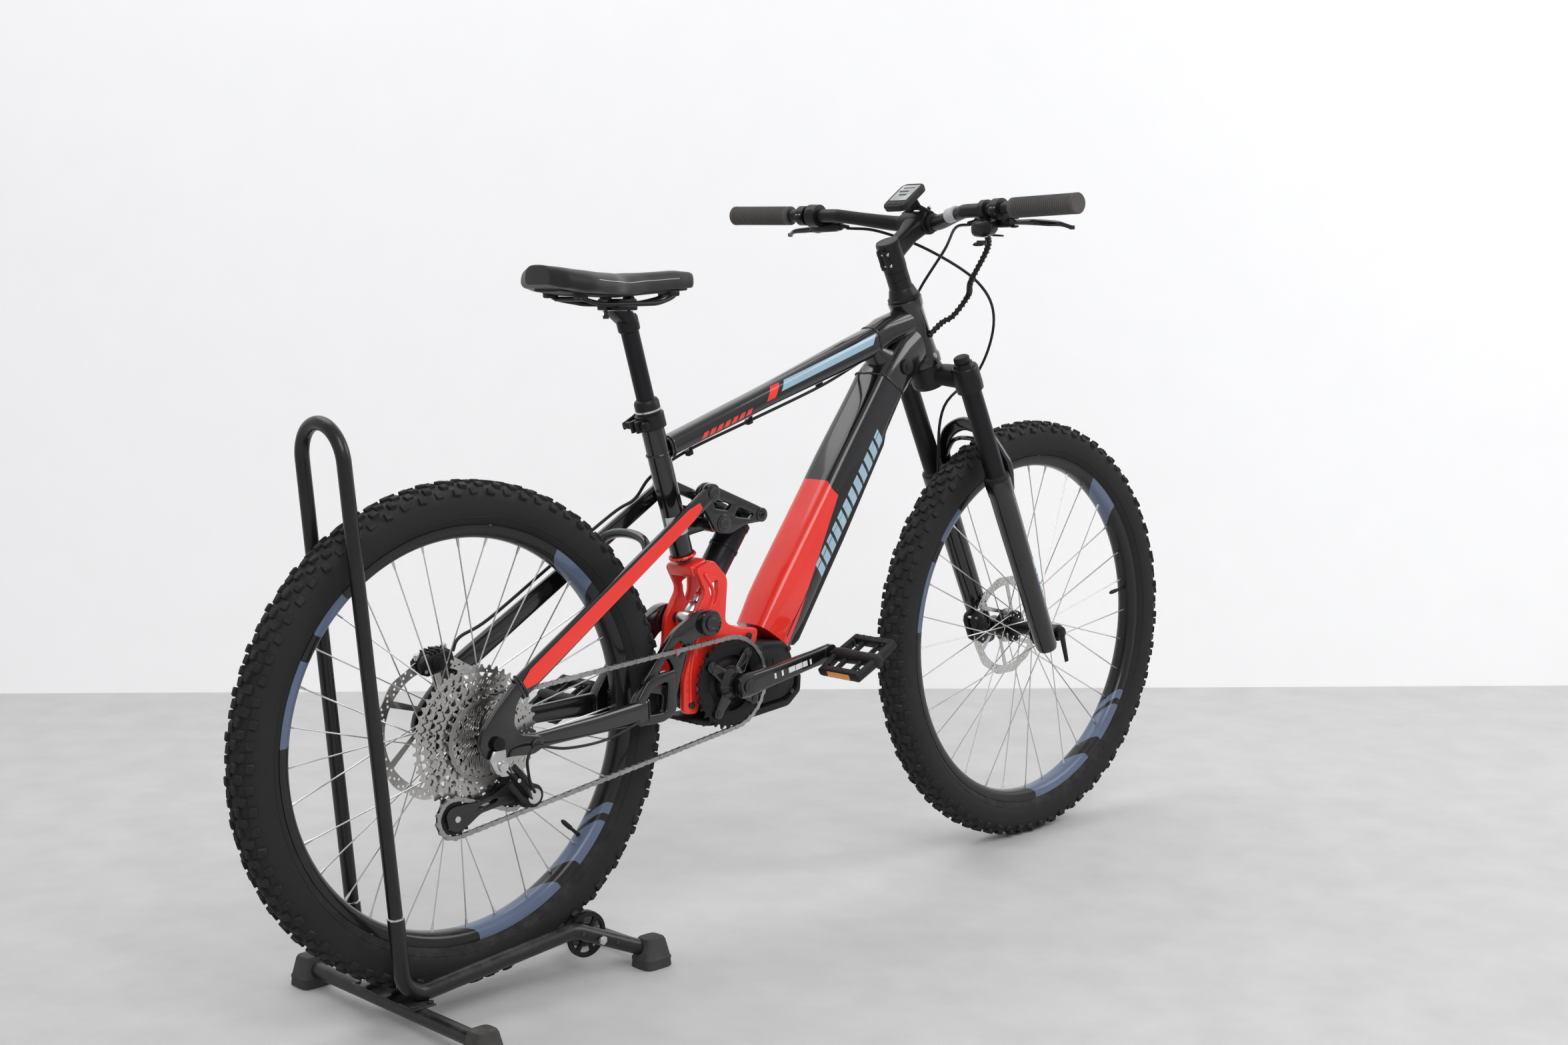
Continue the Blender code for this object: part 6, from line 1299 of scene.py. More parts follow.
def chainringAndCranks():
    radius = drive["ring"] + drive["above"]
    y = drive["line"]
    outlines = [toothed(radius, 32, 0.0012), circlePoints(0.043, 64)]
    for k in range(4):
        a = tau * k / 4 + radians(45) + drive["crankAngle"]
        outlines.append(circlePoints(0.0036, 12, (0.052 * cos(a), 0.052 * sin(a))))
    ring = [slabShape(outlines, y - 0.0011, y + 0.0011, 0.0003, base=crankAxle)]
    give(smoothed(joined(ring), 30), "chainringTeeth", anodised, "crankset", "black_paint", "chainring")
    arms, bolts = [], []
    for k in range(4):
        a = tau * k / 4 + radians(45) + drive["crankAngle"]
        root, tip = near(crankAxle, 0.014 * cos(a), 0.014 * sin(a), y - 0.0052), near(crankAxle,
                0.053 * cos(a), 0.053 * sin(a), y - 0.0034)
        arms.append(beamShape(root, tip, (0.006, 0.024), (0.004, 0.015), 3.0, 24))
        p = near(crankAxle, 0.052 * cos(a), 0.052 * sin(a))
        arms.append(crossRod(p, y - 0.0014, y - 0.0056, 0.0086, 28, 0.0008))
        bolts.append(crossRod(p, y - 0.0054, y - 0.0068, 0.0048, 20, 0.0004))
        bolts.append(crossRod(p, y + 0.0012, y + 0.0024, 0.0052, 20, 0.0004))
    hub = turnedShape([(0.0112, -0.0495), (0.028, -0.0495), (0.026, -0.058), (0.02, -0.064),
            (0.018, -0.072), (0.0112, -0.072)], crankAxle, 0.0, 64)
    give(smoothed(joined(arms + [hub]), 40), "chainringSpider", gloss, "crankset", "black_paint")
    pieces, caps, marks = [crossRod(crankAxle, -0.083, 0.083, 0.0109, 40)], [], []
    for side in (-1, 1):
        turn = drive["crankAngle"] + (0 if side < 0 else pi)
        way = Vector((cos(turn), 0, sin(turn)))
        up = Vector((-way.z, 0, way.x))
        root = near(crankAxle, 0, 0, side * drive["crankY"])
        tip = root + way * drive["crankLong"] + Vector((0, side * 0.01, 0))
        rows = [(-0.1, 0.004, 0.01, 2.2), (-0.085, 0.0088, 0.016, 2.4), (0.0, 0.0098, 0.0182, 2.4), (0.09,
                0.0088, 0.0176, 3.2),
                (0.25, 0.0076, 0.015, 3.8), (0.8, 0.0064, 0.0132, 3.8), (0.93, 0.0066, 0.014, 3.0), (1.0,
                0.0068, 0.0145, 2.2), (1.07, 0.006, 0.01, 2.2), (1.083, 0.003, 0.005, 2.2)]
        pieces.append(loftShape([(root.lerp(tip, t), (0, a, 0), up * d, q) for t, a, d, q in rows], 48))
        pieces.append(crossRod(tip, side * 0.088, side * 0.1, 0.0135, 40, 0.0012))
        pieces.append(crossRod(tip, side * 0.093, side * 0.182, 0.0044, 20))
        caps.append(crossRod(crankAxle, side * 0.092, side * 0.0945, 0.0105, 36, 0.0008))
        caps.append(crossRod(crankAxle, side * 0.0944, side * 0.0951, 0.005, 8))
        if side < 0:
            for k, length in enumerate((0.004, 0.004, 0.014, 0.014, 0.01, 0.004)):
                start = root.lerp(tip, 0.3 + 0.085 * k)
                stripe = boxShape(start + Vector((0, -0.00755, 0)) + way * length / 2, (length, 0.0006,
                        0.0085), drive["crankAngle"], 0.0002, 1)
                marks.append(stripe)
    give(smoothed(joined(pieces), 40), "crankArms", gloss, "crankset", "black_paint", "cranks")
    give(smoothed(joined(caps + bolts), 35), "crankCaps", darkGrey, "crankset", "steel")
    give(smoothed(joined(marks), 35), "crankMarks", whiteLabel, "crankset", "plastic")


def tangentRun(first, second):
    (p, rp, tp), (q, rq, tq) = first, second
    gap = q - p
    lean = acos((rp * tp - rq * tq) / gap.length)
    angle = atan2(gap.z, gap.x) - lean
    square = Vector((cos(angle), 0, sin(angle)))
    return p + square * rp * tp, q + square * rq * tq


def chainPath():
    above = drive["above"]
    guide, tension = spot["guide_pulley_spin"].copy(), spot["tension_pulley_spin"].copy()
    guide.y = tension.y = 0
    wheels = [(crankAxle, drive["ring"] + above, 1), (rearAxle, drive["cog"] + above, 1),
              (guide, drive["pulley"] + drive["height"] / 2 + drive["room"], -1), (tension,
              drive["pulley"] + above, 1)]
    points = []
    for i, (here, radius, turn) in enumerate(wheels):
        first = tangentRun(wheels[i - 1], wheels[i])[1] - here
        last = tangentRun(wheels[i], wheels[(i + 1) % 4])[0] - here
        start, stop = atan2(first.z, first.x), atan2(last.z, last.x)
        sweep = (stop - start) % tau if turn > 0 else -((start - stop) % tau)
        steps = max(3, int(abs(sweep) / 0.06))
        points += [near(here, radius * cos(start + sweep * k / steps),
                radius * sin(start + sweep * k / steps)) for k in range(steps + 1)]
    return points


def chainLinks():
    path = chainPath()
    path.append(path[0])
    lengths = [0.0]
    for a, b in zip(path, path[1:]):
        lengths.append(lengths[-1] + (b - a).length)
    count = 2 * round(lengths[-1] / drive["pitch"] / 2)

    def pointAt(distance):
        distance = distance % lengths[-1]
        for i in range(len(lengths) - 1):
            if lengths[i] <= distance <= lengths[i + 1]:
                return path[i].lerp(path[i + 1], (distance - lengths[i]) / max(1e-9,
                        lengths[i + 1] - lengths[i]))
        return path[-1]

    pins = [pointAt(lengths[-1] * k / count) for k in range(count)]
    half = lengths[-1] / count / 2
    plate = []
    for k in range(16):
        a = tau * k / 16
        end = 1 if cos(a) > 0.05 else (-1 if cos(a) < -0.05 else 0)
        plate.append((end * half + 0.0036 * cos(a), (0.0038 if end else 0.0026) * sin(a)))
    links = []
    for kind in range(2):
        inner, outer = (0.00125, 0.00205) if kind else (0.0021, 0.0027)
        sides = [slabShape([plate], side * inner, side * outer, 0.0) for side in (-1, 1)]
        for end in (-1, 1):
            p = Vector((end * half, 0, 0))
            sides.append(crossRod(p, -0.0012, 0.0012, 0.0036, 12) if kind else crossRod(p, -0.0029, 0.0029,
                    0.0017, 8))
        template = joined(sides)
        places = []
        for k in range(kind, count, 2):
            a, b = pins[k], pins[(k + 1) % count]
            middle = (a + b) / 2
            places.append(Matrix.Translation((middle.x, drive["line"],
                    middle.z)) @ Matrix.Rotation(-atan2(b.z - a.z, b.x - a.x), 4, "Y"))
        links.append(manyOf(template, places))
    loop = joined(links)
    give(smoothed(loop, 30), "chainLinks", chainSteel, "frame", "steel", "chain",
         blended=("swingarm", near(crankAxle, -0.03, 0), near(crankAxle, -0.3, 0)))


def pulleyWheel(name, point, body, node0):
    outline = toothed(drive["pulley"] + drive["above"] - 0.0004, 13, 0.0004, 0.0044)
    wheel = slabShape([outline, circlePoints(0.0026, 16)] + ringWindows(0.0095, 0.0165, 5, 0.66, 0.0),
            drive["line"] - 0.001, drive["line"] + 0.001, 0.0002, base=point)
    boss = turnedShape([(0.0026, 0.0036), (0.0065, 0.0036), (0.009, 0.0012), (0.009, -0.0012),
            (0.0065, -0.0036), (0.0026, -0.0036)], point, drive["line"], 32)
    give(smoothed(joined([wheel, boss]), 35), name, matt, body, "plastic", node0)


def derailleurParts():
    guide, tension, cagePin = spot["guide_pulley_spin"], spot["tension_pulley_spin"], spot["cage_pivot"]
    line = drive["line"]
    plates, pins = [], []
    way = Vector((tension.x - guide.x, 0, tension.z - guide.z))
    flat = Vector((way.z, 0, -way.x)).normalized()
    for y, wide in ((line - 0.0056, 0.011), (line + 0.0056, 0.01)):
        base = Vector((guide.x, 0, guide.z))
        outline = []
        for t, w in ((-0.12, 0.55), (-0.05, 1.15), (0.12, 1.3), (0.3, 0.85), (0.62, 0.8), (0.84, 1.35),
                (1.04, 1.7), (1.16, 1.1)):
            p = way * t + flat * wide * w
            outline.append((p.x, p.z))
        for t, w in ((1.16, -0.9), (1.04, -1.6), (0.86, -1.45), (0.62, -0.7), (0.3, -0.95), (0.1, -1.35),
                (-0.06, -1.1)):
            p = way * t + flat * wide * w
            outline.append((p.x, p.z))
        hole = []
        for t, w in ((0.34, 0.3), (0.6, 0.3), (0.68, 0.0), (0.6, -0.3), (0.34, -0.3), (0.28, 0.0)):
            p = way * t + flat * wide * w
            hole.append((p.x, p.z))
        plates.append(slabShape([outline, softCorners(hole, 0.003, 3)], y - 0.0009, y + 0.0009, 0.0003,
                0.006, base))
    for point in (guide, tension):
        pins.append(crossRod(point, line - 0.0062, line + 0.0062, 0.0021, 16))
        pins.append(crossRod(point, line - 0.0062, line - 0.0078, 0.0046, 20, 0.0005))
        pins.append(crossRod(point, line - 0.0077, line - 0.0082, 0.0022, 6))
    plates.append(crossRod(cagePin, -0.0596, -0.0552, 0.012, 36, 0.0006))
    give(smoothed(joined(plates), 35), "cagePlates", darkGrey, "cage", "plastic", "derailleur_cage")
    give(smoothed(joined(pins), 35), "cageBolts", silver, "cage", "steel")
    pulleyWheel("guideWheel", guide, "guide_wheel", "guide_pulley")
    pulleyWheel("tensionWheel", tension, "tension_wheel", "tension_pulley")
    hanger = near(rearAxle, 0.0, -0.029)
    body, shine = [], []
    shine.append(crossRod(hanger, -0.0842, -0.093, 0.0125, 36, 0.0014))
    shine.append(loftShape([(near(rearAxle, 0.0, -0.008, -0.0885), (0, 0.004, 0), (0.011, 0, 0), 2.4),
            (near(rearAxle, -0.004, -0.02, -0.09), (0, 0.0048, 0), (0.0135, 0, 0), 2.6),
                            (near(rearAxle, 0.002, -0.034, -0.0905), (0, 0.005, 0), (0.014, 0, 0), 2.6),
                            (near(rearAxle, 0.01, -0.044, -0.09), (0, 0.0044, 0), (0.01, 0, 0), 2.4)], 36))
    shine.append(crossRod(hanger, -0.093, -0.1, 0.0075, 28, 0.001))
    shine.append(crossRod(hanger, -0.0999, -0.1006, 0.0038, 6))
    knuckle = near(rearAxle, 0.02, -0.05, -0.09)
    body.append(loftShape([(near(rearAxle, 0.006, -0.036, -0.0915), (0, 0.007, 0), (0.008, 0, -0.01), 2.8),
            (knuckle, (0, 0.0095, 0), (0.011, 0, -0.013), 3.0),
                           (near(rearAxle, 0.04, -0.066, -0.085), (0, 0.01, 0), (0.008, 0, -0.016), 3.2),
                           (near(rearAxle, 0.056, -0.078, -0.076), (0, 0.008, 0), (0.006, 0, -0.014), 2.8)],
                           40))
    for lift in (0.012, -0.01):  # the two parallel links
        start, end = near(rearAxle, 0.012 + lift * 0.4, -0.044 + lift, -0.0975), near(rearAxle,
                0.05 + lift * 0.4, -0.078 + lift, -0.083)
        body.append(beamShape(start, end, (0.005, 0.0085), (0.005, 0.0085), 3.0, 24))
    body.append(crossRod(cagePin, -0.06, -0.083, 0.0165, 44, 0.0016))
    body.append(loftShape([(near(cagePin, -0.004, 0.012, -0.07), (0, 0.0095, 0), (0.014, 0, 0), 3.0),
            (near(cagePin, -0.002, -0.01, -0.07), (0, 0.0095, 0), (0.016, 0, 0), 3.0),
                           (near(cagePin, -0.001, -0.0165, -0.07), (0, 0.006, 0), (0.009, 0, 0), 3.0)], 32))
    give(smoothed(joined(body), 38), "derailleurBody", matt, "rear_triangle", "plastic", "derailleur")
    shine.append(crossRod(cagePin, -0.083, -0.0846, 0.011, 32, 0.0005))
    shine.append(crossRod(near(rearAxle, 0.024, -0.052), -0.0985, -0.1, 0.003, 14))
    shine.append(crossRod(near(rearAxle, 0.052, -0.082), -0.085, -0.0868, 0.003, 14))
    give(smoothed(joined(shine), 38), "derailleurKnuckle", silver, "rear_triangle", "steel")


def pedals():
    for name, side in (("right", -1), ("left", 1)):
        turn = drive["crankAngle"] + (0 if side < 0 else pi)
        tip = near(crankAxle, drive["crankLong"] * cos(turn), drive["crankLong"] * sin(turn))
        tilt = radians(28)
        ahead, up = Vector((cos(tilt), 0, sin(tilt))), Vector((-sin(tilt), 0, cos(tilt)))
        centre = Vector((tip.x, side * 0.155, tip.z))
        cage = [latheShape((tip.x, side * 0.1084, tip.z), (0, side, 0), [(0, 0.0085), (0.002, 0.0105),
                (0.02, 0.0118), (0.05, 0.0105), (0.084, 0.011), (0.091, 0.01), (0.0936, 0.006)], 32)]
        spikes, lamps = [], []
        for end in (-1, 1):
            cage.append(boxShape(centre + ahead * end * 0.041, (0.0125, 0.082, 0.015), tilt, 0.0028))
            for k in range(6):
                p = centre + ahead * end * 0.044 + Vector((0, -0.034 + 0.0136 * k, 0))
                cage.append(rodShape(p - up * 0.007, p + up * 0.008, 0.0026, 0.0018, 10))
            for edge in (-1, 1):
                start, stop = centre + ahead * end * 0.046 + Vector((0, edge * 0.037,
                        0)), centre + Vector((0, edge * 0.0405, 0))
                cage.append(beamShape(start, stop, (0.012, 0.013), (0.009, 0.015), 3.4, 24))
            for k in (-1, 1):
                p = centre + ahead * end * 0.03 + Vector((0, k * 0.03, 0))
                spikes.append(rodShape(p - up * 0.008, p + up * 0.008, 0.0017, sides=8))
            lamps.append(boxShape(centre + ahead * end * 0.0474, (0.002, 0.046, 0.0095), tilt, 0.0008))
        for k in (-1, 1):
            cage.append(beamShape(centre + Vector((0, k * 0.016, 0)) - ahead * 0.038,
                    centre + Vector((0, k * 0.016, 0)) + ahead * 0.038, (0.006, 0.008), (0.006, 0.008), 3.0,
                    20))
        body = name + "_pedal"
        give(smoothed(joined(cage), 38), name + "PedalCage", matt, body, "plastic", "pedal_" + name)
        give(smoothed(joined(spikes), 35), name + "PedalPins", darkGrey, body, "steel")
        give(smoothed(joined(lamps), 35), name + "PedalReflectors", amber, body, "plastic")


cassetteCogs()
chainringAndCranks()
chainLinks()
derailleurParts()
pedals()
print("drivetrain built")

# fork
fork = {"crownTop": bike["forkLength"] - 0.0006, "ahead": 0.0165, "spread": 0.07, "top": 0.329,
        "foot": -0.014, "stanchion": 0.0175}


def forkCrown():
    top = fork["crownTop"]
    steerer = latheShape(onSteerer(top - 0.04), steerUp, [(0, 0.025), (0.004, 0.029), (0.01, 0.03),
            (0.032, 0.0285), (0.0395, 0.0268), (0.0396, 0.015), (0.262, 0.015)], 48)
    pieces = [steerer]
    for side in (-1, 1):
        # an arm from the steerer sweeps out and down to the leg
        y = side * fork["spread"]
        rows = [(onSteerer(top - 0.024, 0.004, side * 0.004), 0.026, 0.017),
                (onSteerer(top - 0.0235, 0.009, side * 0.03), 0.022, 0.015),
                (onSteerer(top - 0.029, 0.014, side * 0.052), 0.02, 0.017),
                (onSteerer(top - 0.033, 0.0165, side * 0.07), 0.019, 0.019)]
        pieces.append(loftShape([(c, steerAhead * a, steerUp * d, 2.6) for c, a, d in rows], 40))
        pieces.append(latheShape(onSteerer(top - 0.055, fork["ahead"], y), steerUp, [(0, 0.02),
                (0.001, 0.0228), (0.01, 0.0235), (0.04, 0.0232), (0.0435, 0.0215), (0.045, 0.019)], 40))
        pieces.append(latheShape(onSteerer(top - 0.0105, fork["ahead"], y), steerUp, [(0, 0.018),
                (0.002, 0.0172), (0.006, 0.0165), (0.0075, 0.012)], 12))
    give(smoothed(joined(pieces), 40), "crownForging", satin, "steerer", "black_paint", "fork_crown")
    tubesPair = [latheShape(onSteerer(0.16, fork["ahead"], side * fork["spread"]), steerUp,
            [(0, fork["stanchion"]), (top - 0.18, fork["stanchion"])], 48) for side in (-1, 1)]
    give(smoothed(joined(tubesPair), 40), "stanchions", anodised, "steerer", "satin_black")
    knob = latheShape(onSteerer(top - 0.003, fork["ahead"], -fork["spread"]), steerUp, [(0, 0.012),
            (0.001, 0.0135), (0.008, 0.0135), (0.01, 0.011), (0.0105, 0.005)], 18)
    give(smoothed(knob, 30), "compressionKnob", matt, "steerer", "plastic")


def forkLowers():
    pieces, seals, marks = [], [], []
    for side in (-1, 1):
        y = side * fork["spread"]
        pieces.append(latheShape(onSteerer(0.0, fork["ahead"], y), steerUp, [(-0.014, 0.013),
                (-0.0125, 0.0165), (-0.006, 0.0188), (0.03, 0.0195), (0.12, 0.0203), (0.25, 0.0216),
                                                                            (0.298, 0.0218),
                                                                            (0.304, 0.0228), (0.326, 0.023), (0.329,
                                                                            0.0222)], 48))
        seals.append(latheShape(onSteerer(0.3288, fork["ahead"], y), steerUp, [(0, 0.0222), (0.002, 0.0226),
                (0.0055, 0.0215), (0.0075, 0.0188), (0.0085, 0.0178)], 48))
        drop = [(onSteerer(0.012, fork["ahead"], side * 0.068), steerUp * 0.02, (0, 0.011, 0), 3.0),
                (onSteerer(0.004, 0.032, side * 0.0665), steerUp * 0.017, (0, 0.01, 0), 3.0),
                (onSteerer(0.0, 0.046, side * 0.066), steerUp * 0.0145, (0, 0.01, 0), 2.6),
                (onSteerer(0.0, 0.06, side * 0.066), steerUp * 0.01, (0, 0.0085, 0), 2.4)]
        pieces.append(loftShape(drop, 40))
        pieces.append(crossRod(frontAxle, side * 0.0553, side * 0.076, 0.0148, 40, 0.0014))
        for k, (t, long) in enumerate(((0.095, 0.006), (0.104, 0.014), (0.121, 0.014), (0.138, 0.008),
                (0.149, 0.018))):
            centre = onSteerer(t + long / 2, fork["ahead"], y)
            shell = latheShape(centre - steerUp * long / 2, steerUp, [(0, 0.0204), (0.0001, 0.0207),
                    (long, 0.021), (long + 0.0001, 0.0206)], 64)
            pick(shell)
            bpy.ops.object.mode_set(mode="EDIT")
            bpy.ops.mesh.select_all(action="SELECT")
            bpy.ops.mesh.bisect(plane_co=centre + steerAhead * 0.006, plane_no=-steerAhead, use_fill=True,
                    clear_outer=True)
            bpy.ops.mesh.select_all(action="SELECT")
            bpy.ops.mesh.bisect(plane_co=centre + Vector((0, side * 0.007, 0)), plane_no=(0, -side, 0),
                    use_fill=True, clear_outer=True)
            bpy.ops.object.mode_set(mode="OBJECT")
            marks.append(shell)
    ahead = fork["ahead"] + 0.032
    arch = [onSteerer(0.3, 0.033, -0.07), onSteerer(0.34, ahead - 0.003, -0.069), onSteerer(0.375, ahead,
            -0.056), onSteerer(0.399, ahead + 0.003, -0.036),
            onSteerer(0.412, ahead + 0.004, 0), onSteerer(0.399, ahead + 0.003, 0.036), onSteerer(0.375,
            ahead, 0.056), onSteerer(0.34, ahead - 0.003, 0.069), onSteerer(0.3, 0.033, 0.07)]
    path = flowing(arch, 5)
    bridge = []
    for i, p in enumerate(path):
        way = (path[min(i + 1, len(path) - 1)] - path[max(i - 1, 0)]).normalized()
        out = way.cross(steerAhead).normalized()
        bridge.append((p, steerAhead * 0.007, out * (0.012 if 6 < i < len(path) - 7 else 0.0145), 3.0))
    pieces.append(loftShape(bridge, 28))
    pieces.append(tubeShape([onSteerer(0.352, ahead - 0.006, -0.058), onSteerer(0.382, ahead - 0.004,
            -0.03), onSteerer(0.388, ahead - 0.003, 0.0), onSteerer(0.382, ahead - 0.004, 0.03),
            onSteerer(0.352, ahead - 0.006, 0.058)], 0.004, 12))
    pieces += [beamShape(onSteerer(t, 0.006, 0.062), onSteerer(t, -0.01, 0.052), (0.012, 0.012),
            (0.01, 0.01), 2.6, 20)
               for t in (0.018, 0.068)]
    give(smoothed(joined(pieces), 40), "lowerLegs", gloss, "fork_slider", "black_paint", "fork_lowers")
    give(smoothed(joined(seals), 35), "legSeals", matt, "fork_slider", "plastic")
    give(clean(joined(marks)), "legMarks", paleBlue, "fork_slider", "plastic")
    axle = [crossRod(frontAxle, -0.0795, 0.0795, 0.0074, 32), crossRod(frontAxle, -0.076, -0.0825, 0.0115,
            36, 0.001), crossRod(frontAxle, 0.0755, 0.08, 0.009, 36, 0.0008)]
    axle.append(beamShape(onSteerer(-0.004, 0.05, -0.081), onSteerer(-0.052, 0.04, -0.084), (0.005, 0.013),
            (0.004, 0.009), 2.6, 24))
    give(smoothed(joined(axle), 35), "frontThruAxle", anodised, "fork_slider", "satin_black", "front_axle")


def brakeCaliper(name, centre, y, pitch, body, node0):
    # two halves bolted together over the disc, with cooling fins, a hose banjo and mounting bolts
    ahead, up = Vector((cos(pitch), 0, sin(pitch))), Vector((-sin(pitch), 0, cos(pitch)))
    halves, bolts = [], []
    for side in (-1, 1):
        c = Vector((centre.x, y + side * 0.0085, centre.z))
        halves.append(loftShape([(c - ahead * 0.0275, (0, 0.004, 0), up * 0.009, 2.8), (c - ahead * 0.018,
                (0, 0.0062, 0), up * 0.015, 3.0),
                                 (c + ahead * 0.018, (0, 0.0062, 0), up * 0.016, 3.0), (c + ahead * 0.0275,
                                 (0, 0.004, 0), up * 0.009, 2.8)], 40))
        halves.append(crossRod(centre - up * 0.001, y + side * 0.014, y + side * 0.0162, 0.0105, 36, 0.001))
        for k in range(3):
            p = c + ahead * (-0.007 + 0.007 * k) + up * 0.015
            halves.append(boxShape(p, (0.0022, 0.011, 0.006), pitch, 0.0006, 1))
    for end in (-1, 1):
        p = Vector((centre.x, y, centre.z)) + ahead * end * 0.0225
        bolts.append(rodShape(p + up * 0.01, p + up * 0.0185, 0.0046, sides=24, bevel=0.0006))
        bolts.append(crossRod(centre + ahead * end * 0.0215 - up * 0.006, y - 0.015, y + 0.015, 0.0028, 16))
    halves.append(crossRod(centre + ahead * 0.012 + up * 0.01, y + (0.006 if y > 0 else -0.006), y + 0.015,
            0.006, 28, 0.0008))
    give(smoothed(joined(halves), 38), name + "CaliperBody", satin, body, "black_paint", node0)
    give(smoothed(joined(bolts), 35), name + "CaliperBolts", silver, body, "steel")


forkCrown()
forkLowers()
brakeCaliper("rear", near(rearAxle, -0.004, 0.0945), 0.058, radians(12), "rear_triangle", "rear_caliper")
brakeCaliper("front", onSteerer(0.043, -0.0235), 0.045, -bike["headAngle"], "fork_slider", "front_caliper")
print("fork and brakes built")

# cockpit
bar = {"width": 0.75, "radius": 0.0111, "grip": 0.13, "reach": 0.085, "rise": 0.02, "sweep": 0.062}
stemMiddle = onSteerer(headTop + 0.079)
barClamp = stemMiddle + Vector((bar["reach"] * cos(radians(37)), 0, bar["reach"] * sin(radians(37))))
barEnd = barClamp + Vector((-bar["sweep"], 0, bar["rise"]))
gripStart = bar["width"] / 2 - bar["grip"]


def barPoint(y):
    t = (abs(y) - gripStart) / bar["grip"]
    p = Vector((barEnd.x + 0.008, 0, barEnd.z - 0.003)).lerp(Vector((barEnd.x, 0, barEnd.z)), t)
    return Vector((p.x, y, p.z))


def barWay(side):
    way = (barPoint(1.0) - barPoint(0.5)).normalized()
    return Vector((way.x, way.y * side, way.z))


def leverPivot(side):
    return barPoint(side * (gripStart - 0.04)) + Vector((0.034, side * 0.012, -0.02))


def handlebar():
    half = [barClamp, barClamp + Vector((0, 0.03, 0)), barClamp + Vector((-0.006, 0.055, 0.001)),
            barPoint(0.13) + Vector((0.004, 0, -0.0015)),
            barPoint(0.145), barPoint(0.165), barPoint(0.23), barPoint(bar["width"] / 2)]
    left = flowing(half, 6)
    path = [Vector((p.x, -p.y, p.z)) for p in reversed(left)][:-1] + left
    reach = [abs(p.y) for p in path]

    def thick(t):
        y = reach[round(t * (len(path) - 1))]
        return 1.16 - 0.16 * min(1.0, max(0.0, (y - 0.045) / 0.06))
    tube = tubeShape(path, bar["radius"], 40, False, radii=thick)
    give(smoothed(tube, 40), "riserBar", satin, "steerer", "satin_black", "handlebar")
    patch = tubeShape([barPoint(-0.118) + Vector((0.0056, 0, -0.0018)),
            barPoint(-0.098) + Vector((0.0095, 0, -0.0048))], bar["radius"] + 0.001, 40)
    give(smoothed(patch, 40), "barLabel", lightGrey, "steerer", "steel")


def stemParts():
    low = headTop
    collar = latheShape(onSteerer(low), steerUp, [(0.0008, 0.024), (0.003, 0.0254), (0.01, 0.0235),
            (0.018, 0.021), (0.02, 0.0198), (0.0205, 0.0192), (0.035, 0.0192), (0.0353, 0.0186),
                                                  (0.0363, 0.0186), (0.0366, 0.0192), (0.05, 0.0192),
                                                  (0.0503, 0.0186), (0.0513, 0.0186), (0.0516, 0.0194),
                                                  (0.056, 0.02), (0.0985, 0.02), (0.099, 0.019)], 56)
    way = (barClamp - stemMiddle).normalized()
    up = Vector((-way.z, 0, way.x))
    body = loftShape([(stemMiddle - way * 0.004, (0, 0.0165, 0), up * 0.0185, 3.2),
            (stemMiddle.lerp(barClamp, 0.25), (0, 0.015, 0), up * 0.016, 3.6),
                      (stemMiddle.lerp(barClamp, 0.6), (0, 0.0155, 0), up * 0.0145, 3.6),
                      (stemMiddle.lerp(barClamp, 0.86), (0, 0.023, 0), up * 0.0165, 3.2),
                      (barClamp - way * 0.004, (0, 0.025, 0), up * 0.0175, 3.0)], 44)
    clamp = crossRod(barClamp, -0.026, 0.026, 0.0195, 56, 0.0014)
    face = [beamShape(barClamp + way * 0.013 + up * s * 0.016 + Vector((0, -0.024, 0)),
            barClamp + way * 0.013 + up * s * 0.016 + Vector((0, 0.024, 0)), (0.01, 0.008), (0.01, 0.008),
            3.0, 24) for s in (-1, 1)]
    for s in (-1, 1):
        p = stemMiddle - way * 0.0165
        face.append(beamShape(p - steerUp * 0.0165 + Vector((0, s * 0.0062, 0)),
                p + steerUp * 0.0165 + Vector((0, s * 0.0062, 0)), (0.009, 0.012), (0.009, 0.012), 3.2, 24))
    give(smoothed(joined([collar, body, clamp] + face), 38), "stemBody", satin, "steerer", "satin_black",
            "stem")
    bolts = []
    for s in (-1, 1):
        for y in (-0.0185, 0.0185):
            p = barClamp + way * 0.0175 + up * s * 0.016 + Vector((0, y, 0))
            bolts.append(rodShape(p, p + way * 0.004, 0.0036, sides=20, bevel=0.0005))
        p = stemMiddle - way * 0.018 + steerUp * s * 0.01
        bolts.append(rodShape(p + Vector((0, -0.0122, 0)), p + Vector((0, 0.0122, 0)), 0.0028, sides=20,
                bevel=0.0005))
    cap = latheShape(onSteerer(low + 0.099), steerUp, [(0.0, 0.0186), (0.0004, 0.0192), (0.0026, 0.0186),
            (0.0032, 0.015), (0.0034, 0.005)], 48)
    give(smoothed(cap, 35), "topCap", darkGrey, "steerer", "steel")
    give(smoothed(joined(bolts), 35), "stemBolts", silver, "steerer", "steel")


